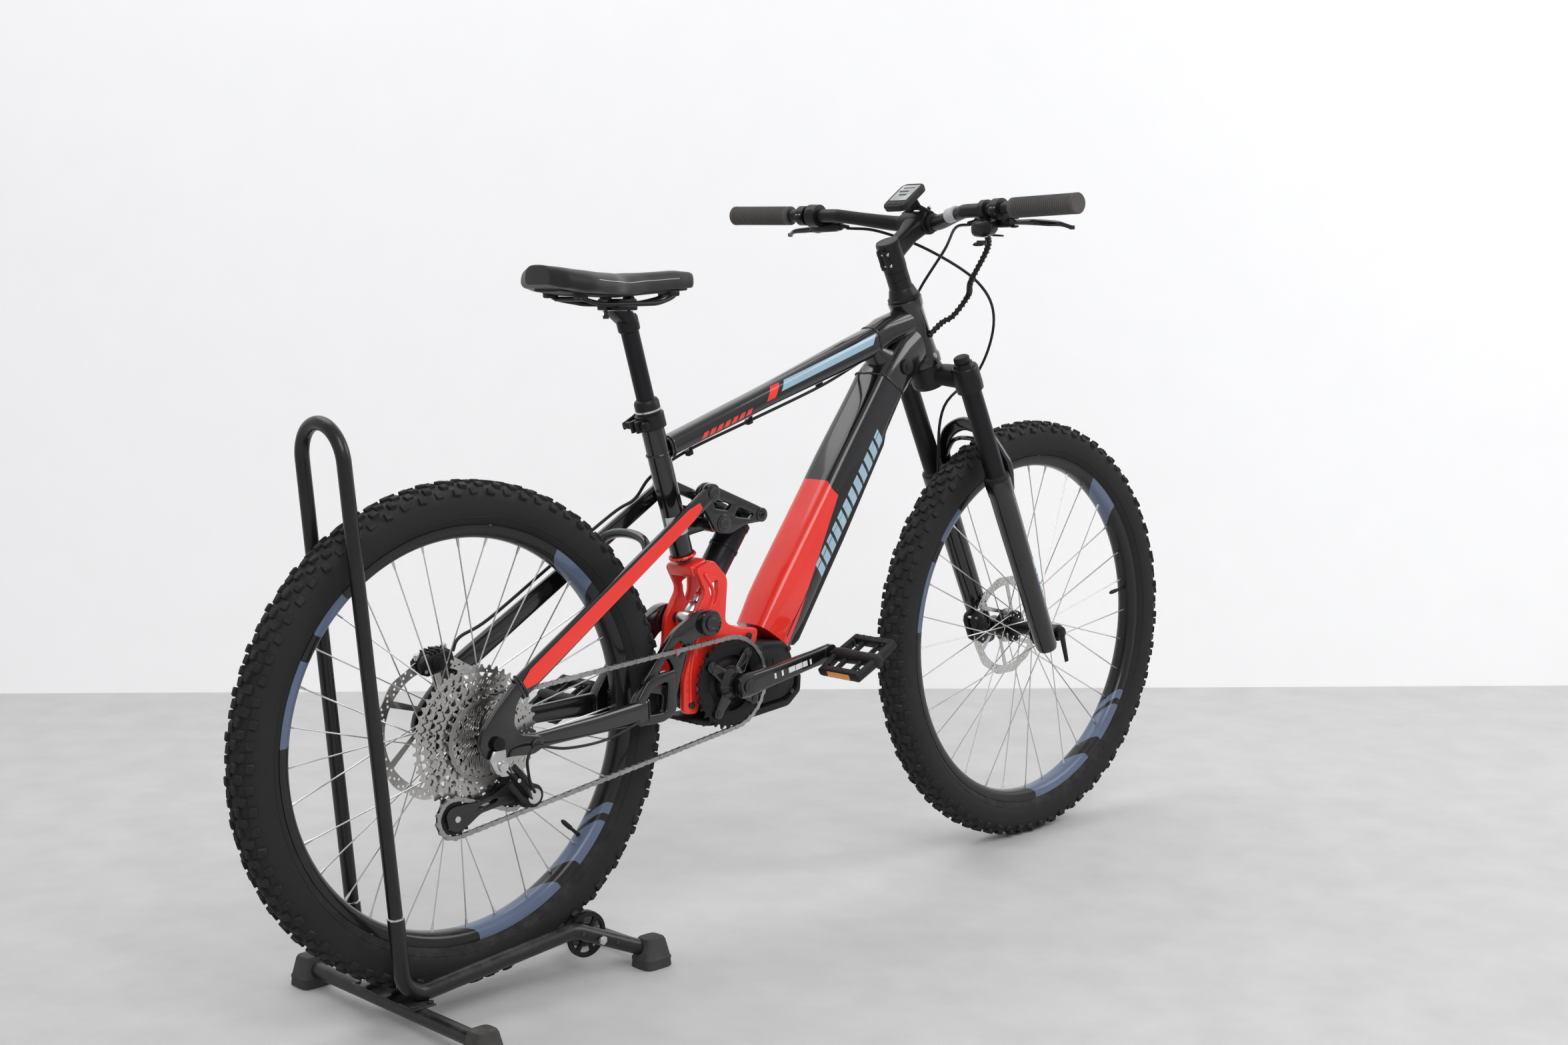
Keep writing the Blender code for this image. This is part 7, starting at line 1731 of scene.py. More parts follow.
def gripSleeve(name, side):
    start = barPoint(side * gripStart)
    profile, long = [(0, 0.0125), (0.0004, 0.016), (0.009, 0.016), (0.0094, 0.015)], bar["grip"] + 0.003
    ribs = 26
    for k in range(ribs):
        d = 0.011 + (long - 0.02) * k / ribs
        step = (long - 0.02) / ribs
        profile += [(d, 0.0148), (d + step * 0.18, 0.0161), (d + step * 0.66, 0.0161), (d + step * 0.84,
                0.0148)]
    profile += [(long - 0.0085, 0.015), (long - 0.008, 0.0163), (long - 0.0015, 0.0163), (long, 0.015),
            (long + 0.0001, 0.002)]
    sleeve = latheShape(start, barWay(side), profile, 40)
    give(smoothed(sleeve, 30), name + "GripSleeve", gripRubber, "steerer", "grip_rubber", "grip_" + name)


def brakeControls(name, side):
    ring = barPoint(side * (gripStart - 0.03))
    along, pivot = barWay(side), leverPivot(side)
    rings = [latheShape(ring - along * 0.008, along, [(0, 0.0135), (0.0006, 0.0166), (0.0154, 0.0166),
            (0.016, 0.0135)], 44),
             boxShape(ring + Vector((-0.015, 0, -0.004)), (0.01, 0.013, 0.011), 0, 0.0025)]
    neck = beamShape(ring + Vector((0.01, 0, -0.006)), pivot + Vector((-0.01, -side * 0.01, 0.001)),
            (0.017, 0.018), (0.016, 0.015), 3.0)
    inner, outer = pivot + Vector((-0.012, -side * 0.07, 0.002)), pivot + Vector((-0.009, side * 0.004, 0))
    body = loftShape([(inner, (0.004, 0, 0), (0, 0, 0.004), 2.0), (inner.lerp(outer, 0.04), (0.0075, 0, 0),
            (0, 0, 0.0075), 2.0), (inner.lerp(outer, 0.15), (0.0082, 0, 0), (0, 0, 0.0082), 2.0),
                      (inner.lerp(outer, 0.2), (0.0092, 0, 0), (0, 0, 0.009), 2.4), (inner.lerp(outer, 0.7),
                      (0.0098, 0, 0), (0, 0, 0.0088), 2.8), (inner.lerp(outer, 0.92), (0.01, 0, 0),
                      (0, 0, 0.0084), 3.0), (outer, (0.007, 0, 0), (0, 0, 0.007), 2.6)], 40)
    lid = boxShape(inner.lerp(outer, 0.48) + Vector((0, 0, 0.0086)), (0.0165, 0.033, 0.003), 0, 0.0012)
    ears = [loftShape([(pivot + Vector((-0.01, 0, s * 0.0062)), (0.008, 0, 0), (0, 0, 0.0016), 3.0),
            (pivot + Vector((-0.01, side * 0.004, s * 0.0062)), (0.009, 0, 0), (0, 0, 0.0016), 3.0)],
            28) for s in (-1, 1)]
    ears += [rodShape(pivot + Vector((0, 0, s * 0.0048)), pivot + Vector((0, 0, s * 0.008)), 0.0075,
            sides=32, bevel=0.0006) for s in (-1, 1)]
    parts = rings + [neck, body, lid] + ears
    bolts = [rodShape(pivot + Vector((0, 0, 0.0078)), pivot + Vector((0, 0, 0.0092)), 0.0042, sides=20,
            bevel=0.0005), rodShape(pivot + Vector((0, 0, -0.0078)), pivot + Vector((0, 0, -0.0092)),
            0.0042, sides=20, bevel=0.0005)]
    for s in (-1, 1):
        bolts.append(rodShape(ring + Vector((-0.015, s * 0.0035, -0.009)),
                ring + Vector((-0.015, s * 0.0035, 0.0025)), 0.0026, sides=14))
        bolts.append(rodShape(inner.lerp(outer, 0.48) + Vector((s * 0.005, s * 0.012, 0.0098)),
                inner.lerp(outer, 0.48) + Vector((s * 0.005, s * 0.012, 0.0106)), 0.0018, sides=12))
    boot = pivot + Vector((-0.012, -side * 0.084, 0.0))
    parts.append(rodShape(inner + Vector((0, side * 0.003, 0)), boot, 0.0046, 0.0031, 20))
    pod = ring + Vector((0.004, -side * 0.03, -0.028))
    if side < 0:
        parts.append(latheShape(ring - along * 0.034, along, [(0, 0.0135), (0.0006, 0.0158),
                (0.0114, 0.0158), (0.012, 0.0135)], 44))
        parts.append(loftShape([(pod + Vector((-0.017, 0, -0.004)), (0, 0.012, 0), (0, 0, 0.008), 3.0),
                (pod + Vector((-0.012, 0, -0.002)), (0, 0.02, 0), (0, 0, 0.013), 3.0),
                                (pod + Vector((0.004, 0.002, 0.001)), (0, 0.0215, 0), (0, 0, 0.0148), 2.8),
                                (pod + Vector((0.014, 0.004, 0.002)), (0, 0.018, 0), (0, 0, 0.012), 2.6),
                                (pod + Vector((0.0185, 0.006, 0.002)), (0, 0.01, 0), (0, 0, 0.006), 2.4)],
                                40))
        parts.append(beamShape(ring - along * 0.028 + Vector((0, 0, -0.008)), pod, (0.012, 0.014),
                (0.016, 0.02), 3.0))
        bolts.append(rodShape(pod + Vector((0.0, 0.004, -0.0128)), pod + Vector((0.0, 0.004, -0.0155)),
                0.006, sides=28, bevel=0.0006))
        release = loftShape([(pod + Vector((0.01, 0.012, -0.01)), (0.004, 0, 0), (0, 0, 0.0016), 2.6),
                (pod + Vector((0.02, 0.0, -0.012)), (0.005, 0, 0), (0, 0, 0.0018), 2.6),
                (pod + Vector((0.026, -0.012, -0.013)), (0.004, 0, 0), (0, 0, 0.0016), 2.4)], 24)
        parts.append(release)
    else:
        parts.append(latheShape(ring - along * 0.036, along, [(0, 0.014), (0.0008, 0.0188), (0.021, 0.019),
                (0.022, 0.014)], 44))
        for k in range(3):
            parts.append(boxShape(ring - along * 0.025 + Vector((-0.0155 + 0.004 * k, 0,
                    0.009 + 0.0028 * k)), (0.0034, 0.012, 0.0034), radians(-40 + 12 * k), 0.0012))
    give(smoothed(joined(parts), 38), name + "BrakeBody", satin, "steerer", "black_paint",
            "brake_mount_" + name)
    give(smoothed(joined(bolts), 35), name + "BrakeBolts", silver, "steerer", "steel")
    path = flowing([pivot + Vector((-0.004, -side * 0.004, 0)), pivot + Vector((0.022, side * 0.02, 0.0)),
            pivot + Vector((0.024, side * 0.05, -0.002)),
                    pivot + Vector((0.02, side * 0.076, -0.004)),
                    pivot + Vector((0.026, side * 0.094, -0.01))], 6)
    rows = []
    for i, p in enumerate(path):
        t = i / (len(path) - 1)
        way = (path[min(i + 1, len(path) - 1)] - path[max(i - 1, 0)]).normalized()
        flat = Vector((way.y, -way.x, 0)).normalized()
        rows.append((p, flat * (0.0036 + 0.0012 * (1 - t)),
                Vector((0, 0, 0.0036 + 0.0016 * sin(pi * min(1, t * 1.2)))), 2.6))
    lever = [loftShape(rows, 24), rodShape(pivot - Vector((0, 0, 0.004)), pivot + Vector((0, 0, 0.004)),
            0.0066, sides=28, bevel=0.0006)]
    lever.append(rodShape(path[-1] - Vector((0, 0, 0.003)), path[-1] + Vector((0, 0, 0.0036)), 0.0046,
            sides=24, bevel=0.001))
    give(smoothed(joined(lever), 40), name + "LeverBlade", gloss, name + "_lever", "black_paint",
            "brake_lever_" + name)


def paddle():
    root = barPoint(-(gripStart - 0.03)) + Vector((-0.006, 0.03, -0.05))
    tip = root + Vector((-0.03, -0.018, -0.006))
    side = (tip - root).cross(Vector((0, 0, 1))).normalized()
    blade = loftShape([(root - Vector((0, 0, 0.003)), side * 0.006, (0, 0, 0.0022), 2.8),
            (root.lerp(tip, 0.5) - Vector((0, 0, 0.0015)), side * 0.0066, (0, 0, 0.002), 2.8),
                       (root.lerp(tip, 0.9), side * 0.009, (0, 0, 0.0024), 2.6), (tip, side * 0.008,
                       (0, 0, 0.002), 2.4)], 28)
    hub = rodShape(root + Vector((0, 0, 0.0014)), root - Vector((0, 0, 0.006)), 0.008, sides=32,
            bevel=0.0008)
    grooves = [rodShape(root.lerp(tip, 0.72 + 0.09 * k) - side * 0.007 + Vector((0, 0, 0.0016)),
            root.lerp(tip, 0.72 + 0.09 * k) + side * 0.007 + Vector((0, 0, 0.0016)), 0.0008,
            sides=8) for k in range(3)]
    give(smoothed(joined([blade, hub] + grooves), 38), "shiftBlade", matt, "shift_thumb", "plastic",
            "shift_paddle")


def displayUnit():
    tilt = radians(35)
    centre = barClamp + Vector((-0.034, 0, 0.04))
    ahead, up = Vector((cos(tilt), 0, sin(tilt))), Vector((-sin(tilt), 0, cos(tilt)))
    case = [loftShape([(centre - up * 0.0064, ahead * 0.029, (0, 0.0205, 0), 6.0), (centre - up * 0.0045,
            ahead * 0.033, (0, 0.024, 0), 6.0), (centre + up * 0.003, ahead * 0.034, (0, 0.025, 0), 6.0),
                       (centre + up * 0.006, ahead * 0.033, (0, 0.024, 0), 6.0), (centre + up * 0.0065,
                       ahead * 0.031, (0, 0.022, 0), 6.0)], 64),
            beamShape(centre + ahead * 0.014 - Vector((0, 0, 0.004)),
            barClamp + Vector((-0.004, 0.0, 0.0228)), (0.02, 0.01), (0.024, 0.006), 3.0)]
    for side in (-1, 1):
        case.append(crossRod(barClamp, side * 0.028, side * 0.036, 0.015, 40, 0.0012))
        case.append(beamShape(Vector((barClamp.x - 0.002, side * 0.032, barClamp.z + 0.014)),
                Vector((barClamp.x - 0.006, side * 0.008, barClamp.z + 0.0245)), (0.008, 0.006),
                (0.01, 0.006), 3.0, 20))
    for k in range(3):
        case.append(boxShape(centre - ahead * 0.027 + up * 0.0066 + Vector((0, -0.012 + 0.012 * k, 0)),
                (0.005, 0.008, 0.0016), tilt, 0.0006))
    give(smoothed(joined(case), 38), "displayCase", matt, "steerer", "plastic", "display")
    glass = boxShape(centre + ahead * 0.005 + up * 0.0068, (0.044, 0.037, 0.0008), tilt, 0.0003, 2)
    give(smoothed(glass, 35), "displayGlass", screen, "steerer", "plastic")
    lines = [boxShape(centre + ahead * (0.019 - 0.01 * k) + up * 0.00735 + Vector((0, 0.004 * (k % 2), 0)),
            (0.004 if k else 0.002, 0.024 - 0.004 * k, 0.0003), tilt, 0.0001, 1) for k in range(3)]
    give(smoothed(joined(lines), 35), "displayBars", darkGrey, "steerer", "plastic")


handlebar()
stemParts()
for word, hand in (("right", -1), ("left", 1)):
    gripSleeve(word, hand)
    brakeControls(word, hand)
paddle()
displayUnit()
print("cockpit built")

# saddle and seat post
seat = {"length": 0.283, "width": 0.146, "railHeight": 0.178, "postTop": 0.148, "post": 0.0135,
        "rows": [(0.0, 0.4, 0.03, 0.056), (0.05, 0.8, 0.034, 0.054), (0.16, 1.0, 0.036, 0.05),
                 (0.32, 0.86, 0.034, 0.046), (0.48, 0.52, 0.034, 0.044), (0.66, 0.34, 0.032, 0.046),
                 (0.86, 0.29, 0.03, 0.048), (0.97, 0.24, 0.026, 0.046), (1.0, 0.12, 0.02, 0.044)]}
saddlePlace = onSeatTube(seat["railHeight"]) + Vector((-0.011, 0, 0))


def saddleRow(share):
    rows = seat["rows"]
    for a, b in zip(rows, rows[1:]):
        if share <= b[0]:
            t = (share - a[0]) / (b[0] - a[0])
            t = t * t * (3 - 2 * t) * 0.5 + t * 0.5
            return [p + (q - p) * t for p, q in zip(a[1:], b[1:])]
    return rows[-1][1:]


def saddleCover():
    tail = saddlePlace.x - seat["length"] * 0.505
    count, wide = 44, 32
    deselectAll()
    bpy.ops.mesh.primitive_grid_add(x_subdivisions=wide, y_subdivisions=count - 1, size=1)
    cover = bpy.context.object
    for i, vert in enumerate(cover.data.vertices):
        row, column = i // (wide + 1), i % (wide + 1)
        share = 0.5 - 0.5 * cos(pi * row / (count - 1))
        spread, thick, high = saddleRow(share)
        half, top = seat["width"] / 2 * spread, saddlePlace.z + high
        turn = tau * column / wide
        a, b = cos(turn), sin(turn)
        y = half * abs(a) ** 0.62 * (1 if a >= 0 else -1)
        if b >= 0:
            z = top - thick * 0.72 * (1 - abs(b) ** 0.75)
            z -= 0.005 * max(0.0, 1 - (y / 0.011) ** 2) * max(0.0, min(1.0, (share - 0.1) * 6,
                    (0.86 - share) * 5))
        else:
            z = top - thick * 0.72 - thick * 0.2 * min(1.0, abs(b) * 2.2)
            y *= 1 - 0.12 * min(1.0, abs(b) * 1.5)
        vert.co = Vector((tail + seat["length"] * share, y, z))
    clean(cover)
    bpy.ops.object.mode_set(mode="EDIT")
    bpy.ops.mesh.select_all(action="SELECT")
    bpy.ops.mesh.fill_holes(sides=0)
    bpy.ops.mesh.normals_make_consistent(inside=False)
    bpy.ops.object.mode_set(mode="OBJECT")
    addModifier(cover, "SUBSURF", levels=1, render_levels=1)
    leather = makeMaterial("saddle leather", (0.014, 0.014, 0.0145), 0.46, grain=(620, 0.55), drift=0.12,
            dust=0.1, sheen=0.15)
    give(smoothed(cover, 60), "saddleCover", leather, "saddle_post", "saddle_cover", "saddle")
    # white stitches along both flanks, a hard shell under the cover
    stitches, places = boxShape((0, 0, 0), (0.0026, 0.0007, 0.0008), 0, 0.0002, 1), []
    for side in (-1, 1):
        for k in range(52):
            share = 0.2 + 0.66 * k / 51
            spread, thick, high = saddleRow(share)
            half = seat["width"] / 2 * spread
            place = Vector((tail + seat["length"] * share, side * half * 0.965,
                    saddlePlace.z + high - thick * 0.4))
            places.append(Matrix.Translation(place))
    give(manyOf(stitches, places), "saddleStitches", whiteLabel, "saddle_post", "plastic")
    shell = []
    for share, wide0 in ((0.06, 0.5), (0.2, 0.72), (0.45, 0.72), (0.75, 0.72), (0.95, 0.55)):
        spread, thick, high = saddleRow(share)
        x = tail + seat["length"] * share
        shell.append((Vector((x, 0, saddlePlace.z + high - thick * 0.96)),
                Vector((0, seat["width"] / 2 * spread * wide0, 0)), Vector((0, 0, 0.0026)), 3.4))
    give(smoothed(loftShape(shell, 32), 40), "saddleShell", matt, "saddle_post", "plastic")


def saddleFittings():
    loop = []
    for side in (-1, 1):
        half = [(0.1, 0.01, 0.0115), (0.085, 0.014, 0.006), (0.06, 0.0195, 0.001), (0.035, 0.0215, 0.0),
                (-0.035, 0.0215, 0.0), (-0.06, 0.024, 0.003), (-0.085, 0.031, 0.008), (-0.096, 0.034,
                0.014)]
        loop.append([saddlePlace + Vector((x, side * y, z)) for x, y, z in half])
    path = list(reversed(loop[0])) + [saddlePlace + Vector((0.104, 0, 0.012))] + loop[1]
    rails = [tubeShape(path, 0.0035, 20), crossRod(saddlePlace + Vector((-0.085, 0, 0.008)), -0.034, 0.034,
            0.0036, 20)]
    rails.append(boxShape(saddlePlace + Vector((0.098, 0, 0.015)), (0.02, 0.03, 0.01), 0, 0.003))
    rails += [boxShape(saddlePlace + Vector((-0.094, side * 0.034, 0.015)), (0.02, 0.014, 0.012), 0,
            0.003) for side in (-1, 1)]
    give(smoothed(joined(rails), 40), "saddleRails", satin, "saddle_post", "black_paint", "saddle_rails")
    top = onSeatTube(seat["postTop"])
    post = [latheShape(onSeatTube(-0.068), seatUp, [(0, seat["post"]), (0.204, seat["post"]),
            (0.206, 0.016), (0.208, 0.0165), (0.224, 0.0165), (0.228, 0.015)], 48)]
    lower = saddlePlace + Vector((0, 0, -0.01))
    post.append(loftShape([(top, (0, 0.0165, 0), (0.015, 0, 0), 2.8), (top.lerp(lower, 0.6), (0, 0.017, 0),
            (0.018, 0, 0), 3.2), (lower, (0, 0.018, 0), (0.02, 0, 0), 3.4)], 36))
    post += [boxShape(saddlePlace + Vector((0, 0, -0.0052)), (0.036, 0.05, 0.008), 0, 0.0022),
            boxShape(saddlePlace + Vector((0, 0, 0.0045)), (0.034, 0.05, 0.006), 0, 0.0022)]
    give(smoothed(joined(post), 40), "dropperPost", anodised, "saddle_post", "satin_black", "seatpost")
    bolts = []
    for end in (-1, 1):
        p = saddlePlace + Vector((end * 0.0215, 0, 0))
        bolts += [rodShape(p + Vector((0, 0, -0.02)), p + Vector((0, 0, 0.008)), 0.0026, sides=16),
                rodShape(p + Vector((0, -0.009, 0.007)), p + Vector((0, 0.009, 0.007)), 0.0045, sides=24,
                bevel=0.0006),
                  rodShape(p + Vector((0, 0, -0.021)), p + Vector((0, 0, -0.016)), 0.0044, sides=20,
                  bevel=0.0006)]
    give(smoothed(joined(bolts), 35), "saddleBolts", darkGrey, "saddle_post", "steel")
    r = tubes["seatRadius"]
    collar = [latheShape(onSeatTube(-0.0116), seatUp, [(0, r + 0.002), (0.0008, r + 0.0044),
            (0.022, r + 0.0044), (0.0228, r + 0.003), (0.0232, r + 0.0014), (0.04, r + 0.0014), (0.042,
            r + 0.0004), (0.044, r - 0.0006), (0.0456, 0.0142)], 48)]
    for side in (-1, 1):
        collar.append(beamShape(onSeatTube(-0.0085, 0.026, side * 0.006), onSeatTube(0.0085, 0.026,
                side * 0.006), (0.007, 0.017), (0.007, 0.017), 3.0, 24))
    give(smoothed(joined(collar), 38), "seatCollar", satin, "frame", "black_paint", "seat_clamp")
    ring = latheShape(onSeatTube(0.015), seatUp, [(0, r + 0.0014), (0.0004, r + 0.0024),
            (0.003, r + 0.0024), (0.0034, r + 0.0014)], 48)
    give(smoothed(ring, 35), "collarRing", silver, "frame", "steel")
    pivot = onSeatTube(0, 0.025)
    handle = [crossRod(pivot, -0.02, 0.018, 0.003, 20), crossRod(pivot, 0.0116, 0.028, 0.0056, 32, 0.001),
            crossRod(pivot, -0.0118, -0.0195, 0.0066, 32, 0.001)]
    handle.append(loftShape([(onSeatTube(0, 0.03, 0.027), (0, 0.0028, 0), seatUp * 0.0055, 2.8),
            (onSeatTube(0.002, 0.01, 0.03), (0, 0.0024, 0), seatUp * 0.006, 3.0),
                             (onSeatTube(0.006, -0.01, 0.0315), (0, 0.0022, 0), seatUp * 0.0068, 3.0),
                             (onSeatTube(0.01, -0.024, 0.03), (0, 0.002, 0), seatUp * 0.006, 2.6)], 28))
    give(smoothed(joined(handle), 38), "clampLever", anodised, "clamp_lever", "satin_black",
            "seat_clamp_lever")


saddleCover()
saddleFittings()
print("saddle built")

# floor stand
stand = {"hoop": 0.0098, "rail": 0.0115, "half": 0.053, "foot": near(rearAxle, -0.1473,
        0.1617 - rearAxle.z), "top": near(rearAxle, -0.2066, 0.4395),
         "cross": near(rearAxle, -0.1214, 0.0252 - rearAxle.z), "rearFoot": 0.207, "frontFoot": 0.078}
rollerAxle = spot["roller_spin"]


def standFoot(x, y):
    rows = [(0.0, 0.0225, 0.0205, 4.0), (0.0015, 0.0248, 0.0228, 4.6), (0.01, 0.024, 0.022, 4.6), (0.012,
            0.0246, 0.0226, 4.6), (0.015, 0.0246, 0.0226, 4.6), (0.0165, 0.0232, 0.0213, 4.6),
            (0.04, 0.0178, 0.0163, 4.4), (0.0436, 0.016, 0.0146, 4.0), (0.044, 0.012, 0.011, 3.4)]
    return loftShape([((x, y, z), (0, b, 0), (a, 0, 0), q) for z, a, b, q in rows], 40)


def floorStand():
    lean = (stand["top"] - stand["foot"]).normalized()
    arch = stand["half"] - 0.003
    crown = stand["top"] - lean * arch
    low = [Vector((stand["foot"].x, side * stand["half"], stand["foot"].z)) for side in (-1, 1)]
    path = [low[0]] + [crown - Vector((0, arch * cos(pi * k / 32),
            0)) + lean * arch * sin(pi * k / 32) for k in range(33)] + [low[1]]
    hoop = tubeShape(path, stand["hoop"], 32, False)
    give(smoothed(hoop, 40), "hoopTube", standPaint, "stand", "stand_paint", "stand_hoop")
    slope = lean.x / lean.z
    heel = Vector((stand["foot"].x + slope * (0.0465 - stand["foot"].z), 0, 0.0465))
    toeX = rollerAxle.x + 0.088
    rails, rings, feet, bolts = [], [], [], []
    for side in (-1, 1):
        y = side * stand["half"]
        route = [low[(side + 1) // 2], Vector((heel.x, y, heel.z)), near(rollerAxle, -0.034, 0.017, y),
                Vector((toeX - 0.008, side * (stand["frontFoot"] - 0.004), 0.0265))]
        rails.append(tubeShape(arcBends(route, 0.038, 10), stand["rail"], 32, False))
        top = route[0]
        rings.append(latheShape(top - lean * 0.0016, lean, [(0, 0.0098), (0.0002, 0.0118), (0.0018, 0.0119),
                (0.0024, 0.0112), (0.0028, 0.0099)], 40))
        for lift in (-0.027, 0.027):
            t = (rollerAxle.x + lift - route[2].x) / (route[3].x - route[2].x)
            p = route[2].lerp(route[3], t)
            bolts.append(crossRod(p, p.y + side * 0.0105, p.y + side * 0.012, 0.0034, 20))
        rails.append(crossRod(Vector((toeX, 0, 0.022)), side * 0.03, side * stand["frontFoot"], 0.0095, 28))
        feet.append(standFoot(toeX, side * stand["frontFoot"]))
        feet.append(standFoot(stand["cross"].x, side * stand["rearFoot"]))
        rails.append(boxShape((stand["cross"].x + 0.002, side * 0.053, 0.0384), (0.036, 0.03, 0.0024), 0,
                0.0008))
    rails.append(crossRod(Vector((toeX, 0, 0.022)), -0.032, 0.032, 0.0095, 28))
    give(smoothed(joined(rails), 40), "standRails", standPaint, "stand", "stand_paint", "stand_rails")
    cross = [crossRod(stand["cross"], -stand["rearFoot"], stand["rearFoot"], stand["rail"], 40)]
    cross.append(boxShape((stand["cross"].x + 0.002, 0, stand["cross"].z + stand["rail"] + 0.0004), (0.036,
            0.15, 0.0024), 0, 0.001))
    give(smoothed(joined(cross), 40), "standCross", standPaint, "stand", "stand_paint", "stand_cross_tube")
    for side in (-1, 1):
        for dx in (-0.013, 0.013):
            p = Vector((stand["cross"].x + 0.002 + dx, side * 0.068,
                    stand["cross"].z + stand["rail"] + 0.0016))
            bolts.append(rodShape(p, p + Vector((0, 0, 0.0036)), 0.0046, sides=6, bevel=0.0004))
    give(smoothed(joined(feet), 40), "standFeet", footRubber, "stand", "rubber")
    give(smoothed(joined(rings), 35), "standRings", silver, "stand", "steel")
    give(smoothed(joined(bolts), 35), "standBolts", darkGrey, "stand", "steel")
    axle = [crossRod(rollerAxle, -0.074, 0.074, 0.004, 24)]
    axle += [crossRod(rollerAxle, side * 0.073, side * 0.078, 0.0068, 6, 0.0005) for side in (-1, 1)]
    give(smoothed(joined(axle), 35), "rollerBolt", silver, "stand", "steel", "stand_roller_axle")
    discs = [turnedShape([(0.0045, -0.035), (0.0153, -0.035), (0.0153, 0.035), (0.0045, 0.035)], rollerAxle,
            0.0, 48)]
    for side in (-1, 1):
        y0, y1 = sorted((side * 0.035, side * 0.0398))
        rim = slabShape([circlePoints(0.0334, 64), circlePoints(0.0045, 20)] + ringWindows(0.0125, 0.0265,
                6, 0.72, 0.0), y0, y1, 0.0008, base=rollerAxle)
        discs += [rim, turnedShape([(0.029, side * 0.0345), (0.0334, side * 0.0345), (0.0334, side * 0.04),
                (0.029, side * 0.04)], rollerAxle, 0.0, 64)]
    give(smoothed(joined(discs), 35), "rollerDiscs", matt, "roller", "plastic", "stand_roller")


floorStand()
print("stand built")

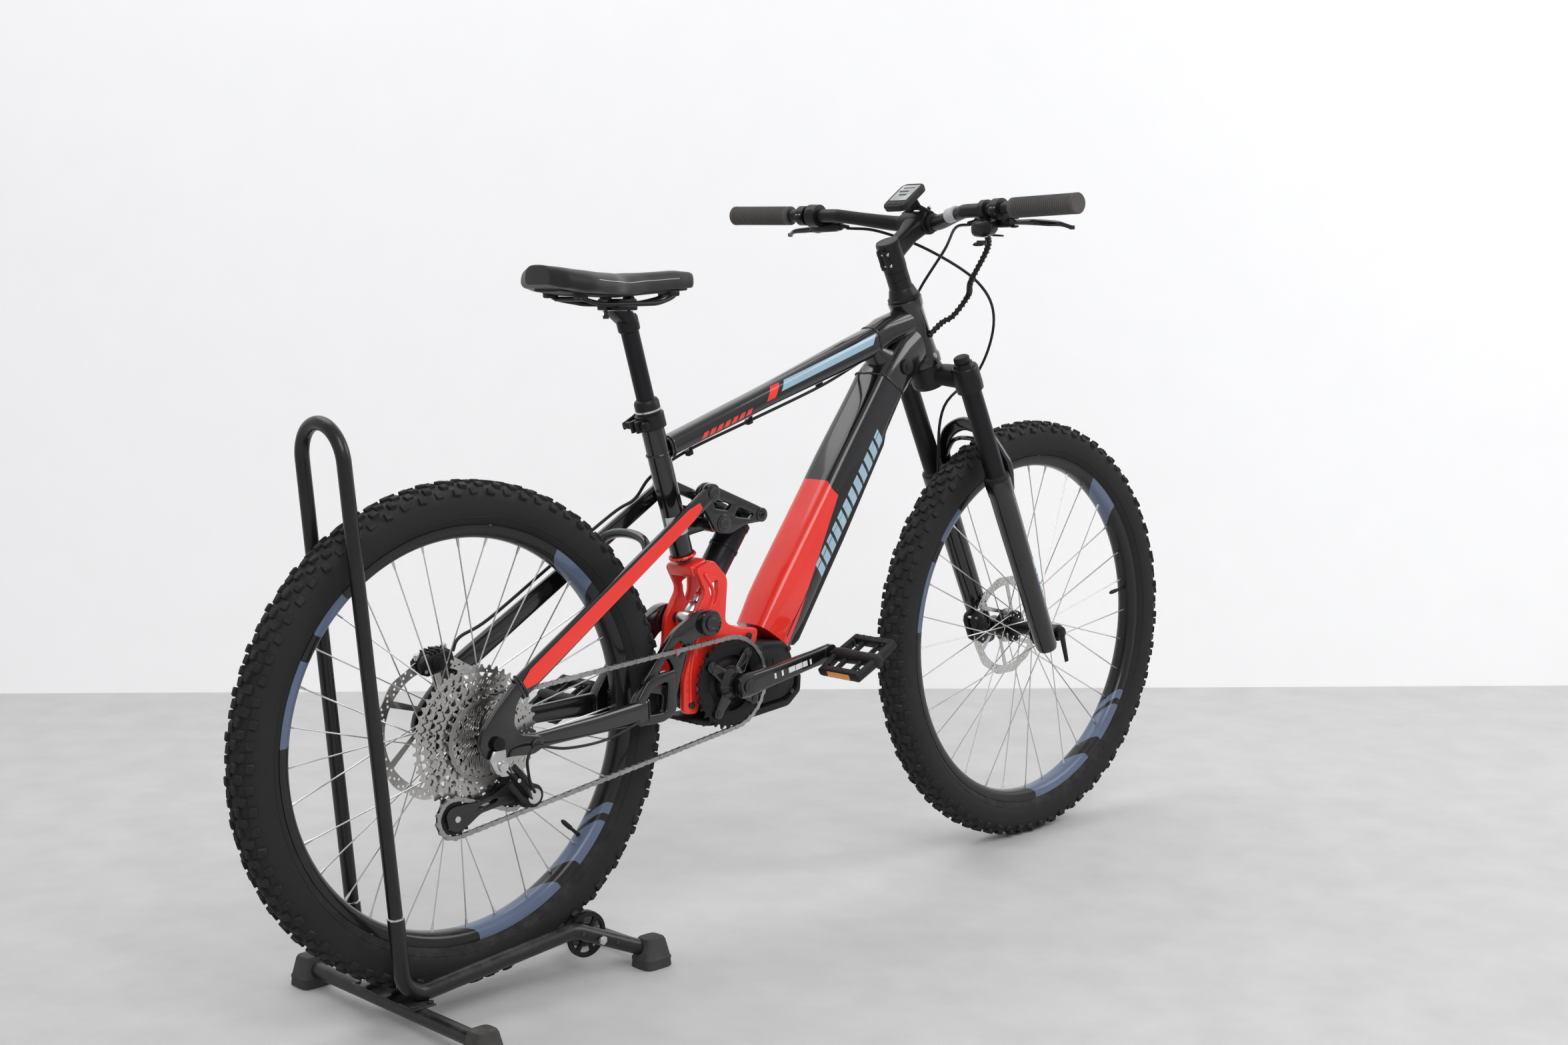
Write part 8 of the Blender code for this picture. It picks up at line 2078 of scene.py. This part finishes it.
# hoses and cables along the part's own routes
def hoseRuns():
    left, right = leverPivot(1), leverPivot(-1)
    length, head = bike["forkLength"], onSteerer(bike["forkLength"] + 0.075)
    down, topSide = Vector((0, 0, -1)), Vector((0, 0.018, 0))
    under = 0.046 / 2 + 0.0025 + 0.004
    low, high = near(rearAxle, 0.04, 0.068), near(crankAxle, -0.043, 0.293)
    rear = [right + Vector((-0.012, 0.08, -0.002)), right + Vector((0.01, 0.13, -0.006)),
            right + Vector((0.052, 0.19, -0.04)),
            onSteerer(headTop - 0.02, 0.085, 0.04), onSteerer(headTop - 0.064, 0.03, 0.052),
            head + Vector((-0.04, 0.046, -0.052)),
            topFront + down * under + Vector((0.02, 0.044, -0.006)), topFront.lerp(topRear,
            0.25) + down * (under + 0.004) + topSide * 0.5,
            topFront.lerp(topRear, 0.6) + down * under + topSide * 0.5, topFront.lerp(topRear,
            0.88) + down * under + topSide,
            onSeatTube(-0.09, 0.0, 0.03), onSeatTube(-0.12, 0.02, 0.055), high.lerp(low,
            0.22) + Vector((-0.012, 0.058, 0.02)),
            high.lerp(low, 0.5) + Vector((-0.012, 0.066, 0.022)), high.lerp(low,
            0.8) + Vector((-0.012, 0.072, 0.024)),
            near(rearAxle, 0.046, 0.122, 0.062), near(rearAxle, 0.032, 0.104, 0.06)]
    path = flowing(rear, 8)
    middle = next(i for i, p in enumerate(path) if (p - rear[10]).length < 0.0005)
    give(smoothed(tubeShape(path[:middle + 1], 0.0025, 12, False), 60), "rearHoseFront", hoseRubber,
            "steerer", "rubber", "rear_brake_hose",
         blended=("frame", rear[2], rear[4]))
    give(smoothed(tubeShape(path[middle:], 0.0025, 12, False), 60), "rearHoseBack", hoseRubber, "frame",
            "rubber",
         blended=("swingarm", rear[10] + Vector((-0.01, 0, 0)), rear[12]))
    front = [left + Vector((-0.012, -0.08, -0.002)), left + Vector((0.014, -0.13, -0.008)),
            left + Vector((0.062, -0.2, -0.04)),
             onSteerer(headTop - 0.03, 0.125, -0.052), onSteerer(length + 0.01, 0.15, -0.04),
             onSteerer(length - 0.07, 0.12, -0.004),
             onSteerer(fork["top"] + 0.118, 0.046, 0.03), onSteerer(fork["top"] + 0.03, 0.002, 0.04),
             onSteerer(fork["top"] - 0.06, -0.012, 0.052),
             onSteerer(0.16, -0.014, 0.058), onSteerer(0.09, -0.016, 0.056)]
    give(smoothed(tubeShape(front, 0.0025, 12, True, 8), 60), "frontHose", hoseRubber, "steerer", "rubber",
            "front_brake_hose",
         blended=("fork_slider", onSteerer(length - 0.02, 0.05), onSteerer(fork["top"] + 0.01, 0.0)))
    pod = barPoint(-(gripStart - 0.03)) + Vector((0.026, 0.044, -0.04))
    bundle = flowing([pod, pod + Vector((0.022, 0.02, -0.022)), pod + Vector((0.03, 0.06, -0.072)),
            onSteerer(headTop - 0.03, 0.074, -0.07),
                      onSteerer(headTop - 0.056, 0.052, -0.046), onSteerer(headTop - 0.06, 0.036, -0.034),
                      onSteerer(headTop - 0.064, 0.018, -0.031), onSteerer(headTop - 0.07, 0.004, -0.026)],
                      8)
    wrap, turns, travelled = [], 0.0, 0.0
    for a, b in zip(bundle, bundle[1:]):
        way = (b - a).normalized()
        side = way.cross(Vector((0, 0, 1))).normalized()
        up = side.cross(way)
        for k in range(6):
            p = a.lerp(b, k / 6)
            turns = tau * (travelled + (b - a).length * k / 6) / 0.0085
            wrap.append(p + (side * cos(turns) + up * sin(turns)) * 0.004)
        travelled += (b - a).length
    bound = joined([tubeShape(bundle, 0.004, 12, False), tubeShape(wrap, 0.0016, 8, False)])
    give(smoothed(bound, 60), "cableBundle", hoseRubber, "steerer", "rubber", "control_cables",
            blended=("frame", bundle[6], bundle[-14]))
    # the gear cable leaves the yoke and loops back into the derailleur
    gear = [near(crankAxle, -0.186, -0.03, -0.056), near(rearAxle, 0.2, -0.03, -0.068), near(rearAxle, 0.12,
            -0.026, -0.083), near(rearAxle, 0.06, -0.012, -0.096),
            near(rearAxle, 0.036, -0.022, -0.104), near(rearAxle, 0.04, -0.048, -0.1),
            near(rearAxle, 0.046, -0.064, -0.098), near(rearAxle, 0.052, -0.074, -0.097)]
    give(smoothed(tubeShape(gear, 0.0021, 12, True, 8), 60), "gearCable", hoseRubber, "swingarm", "rubber")
    clips = []
    for t in (0.25, 0.6, 0.88):
        p = topFront.lerp(topRear, t)
        clips.append(boxShape(p + Vector((0, 0.01, -under - 0.001)), (0.011, 0.0095, 0.0085), radians(18),
                0.002))
        clips.append(rodShape(p + Vector((0, 0.006, -under)), p + Vector((0, 0.006, -0.014)), 0.003,
                sides=16))
    give(smoothed(joined(clips), 38), "hoseClips", matt, "frame", "plastic")


hoseRuns()
print("hoses built")
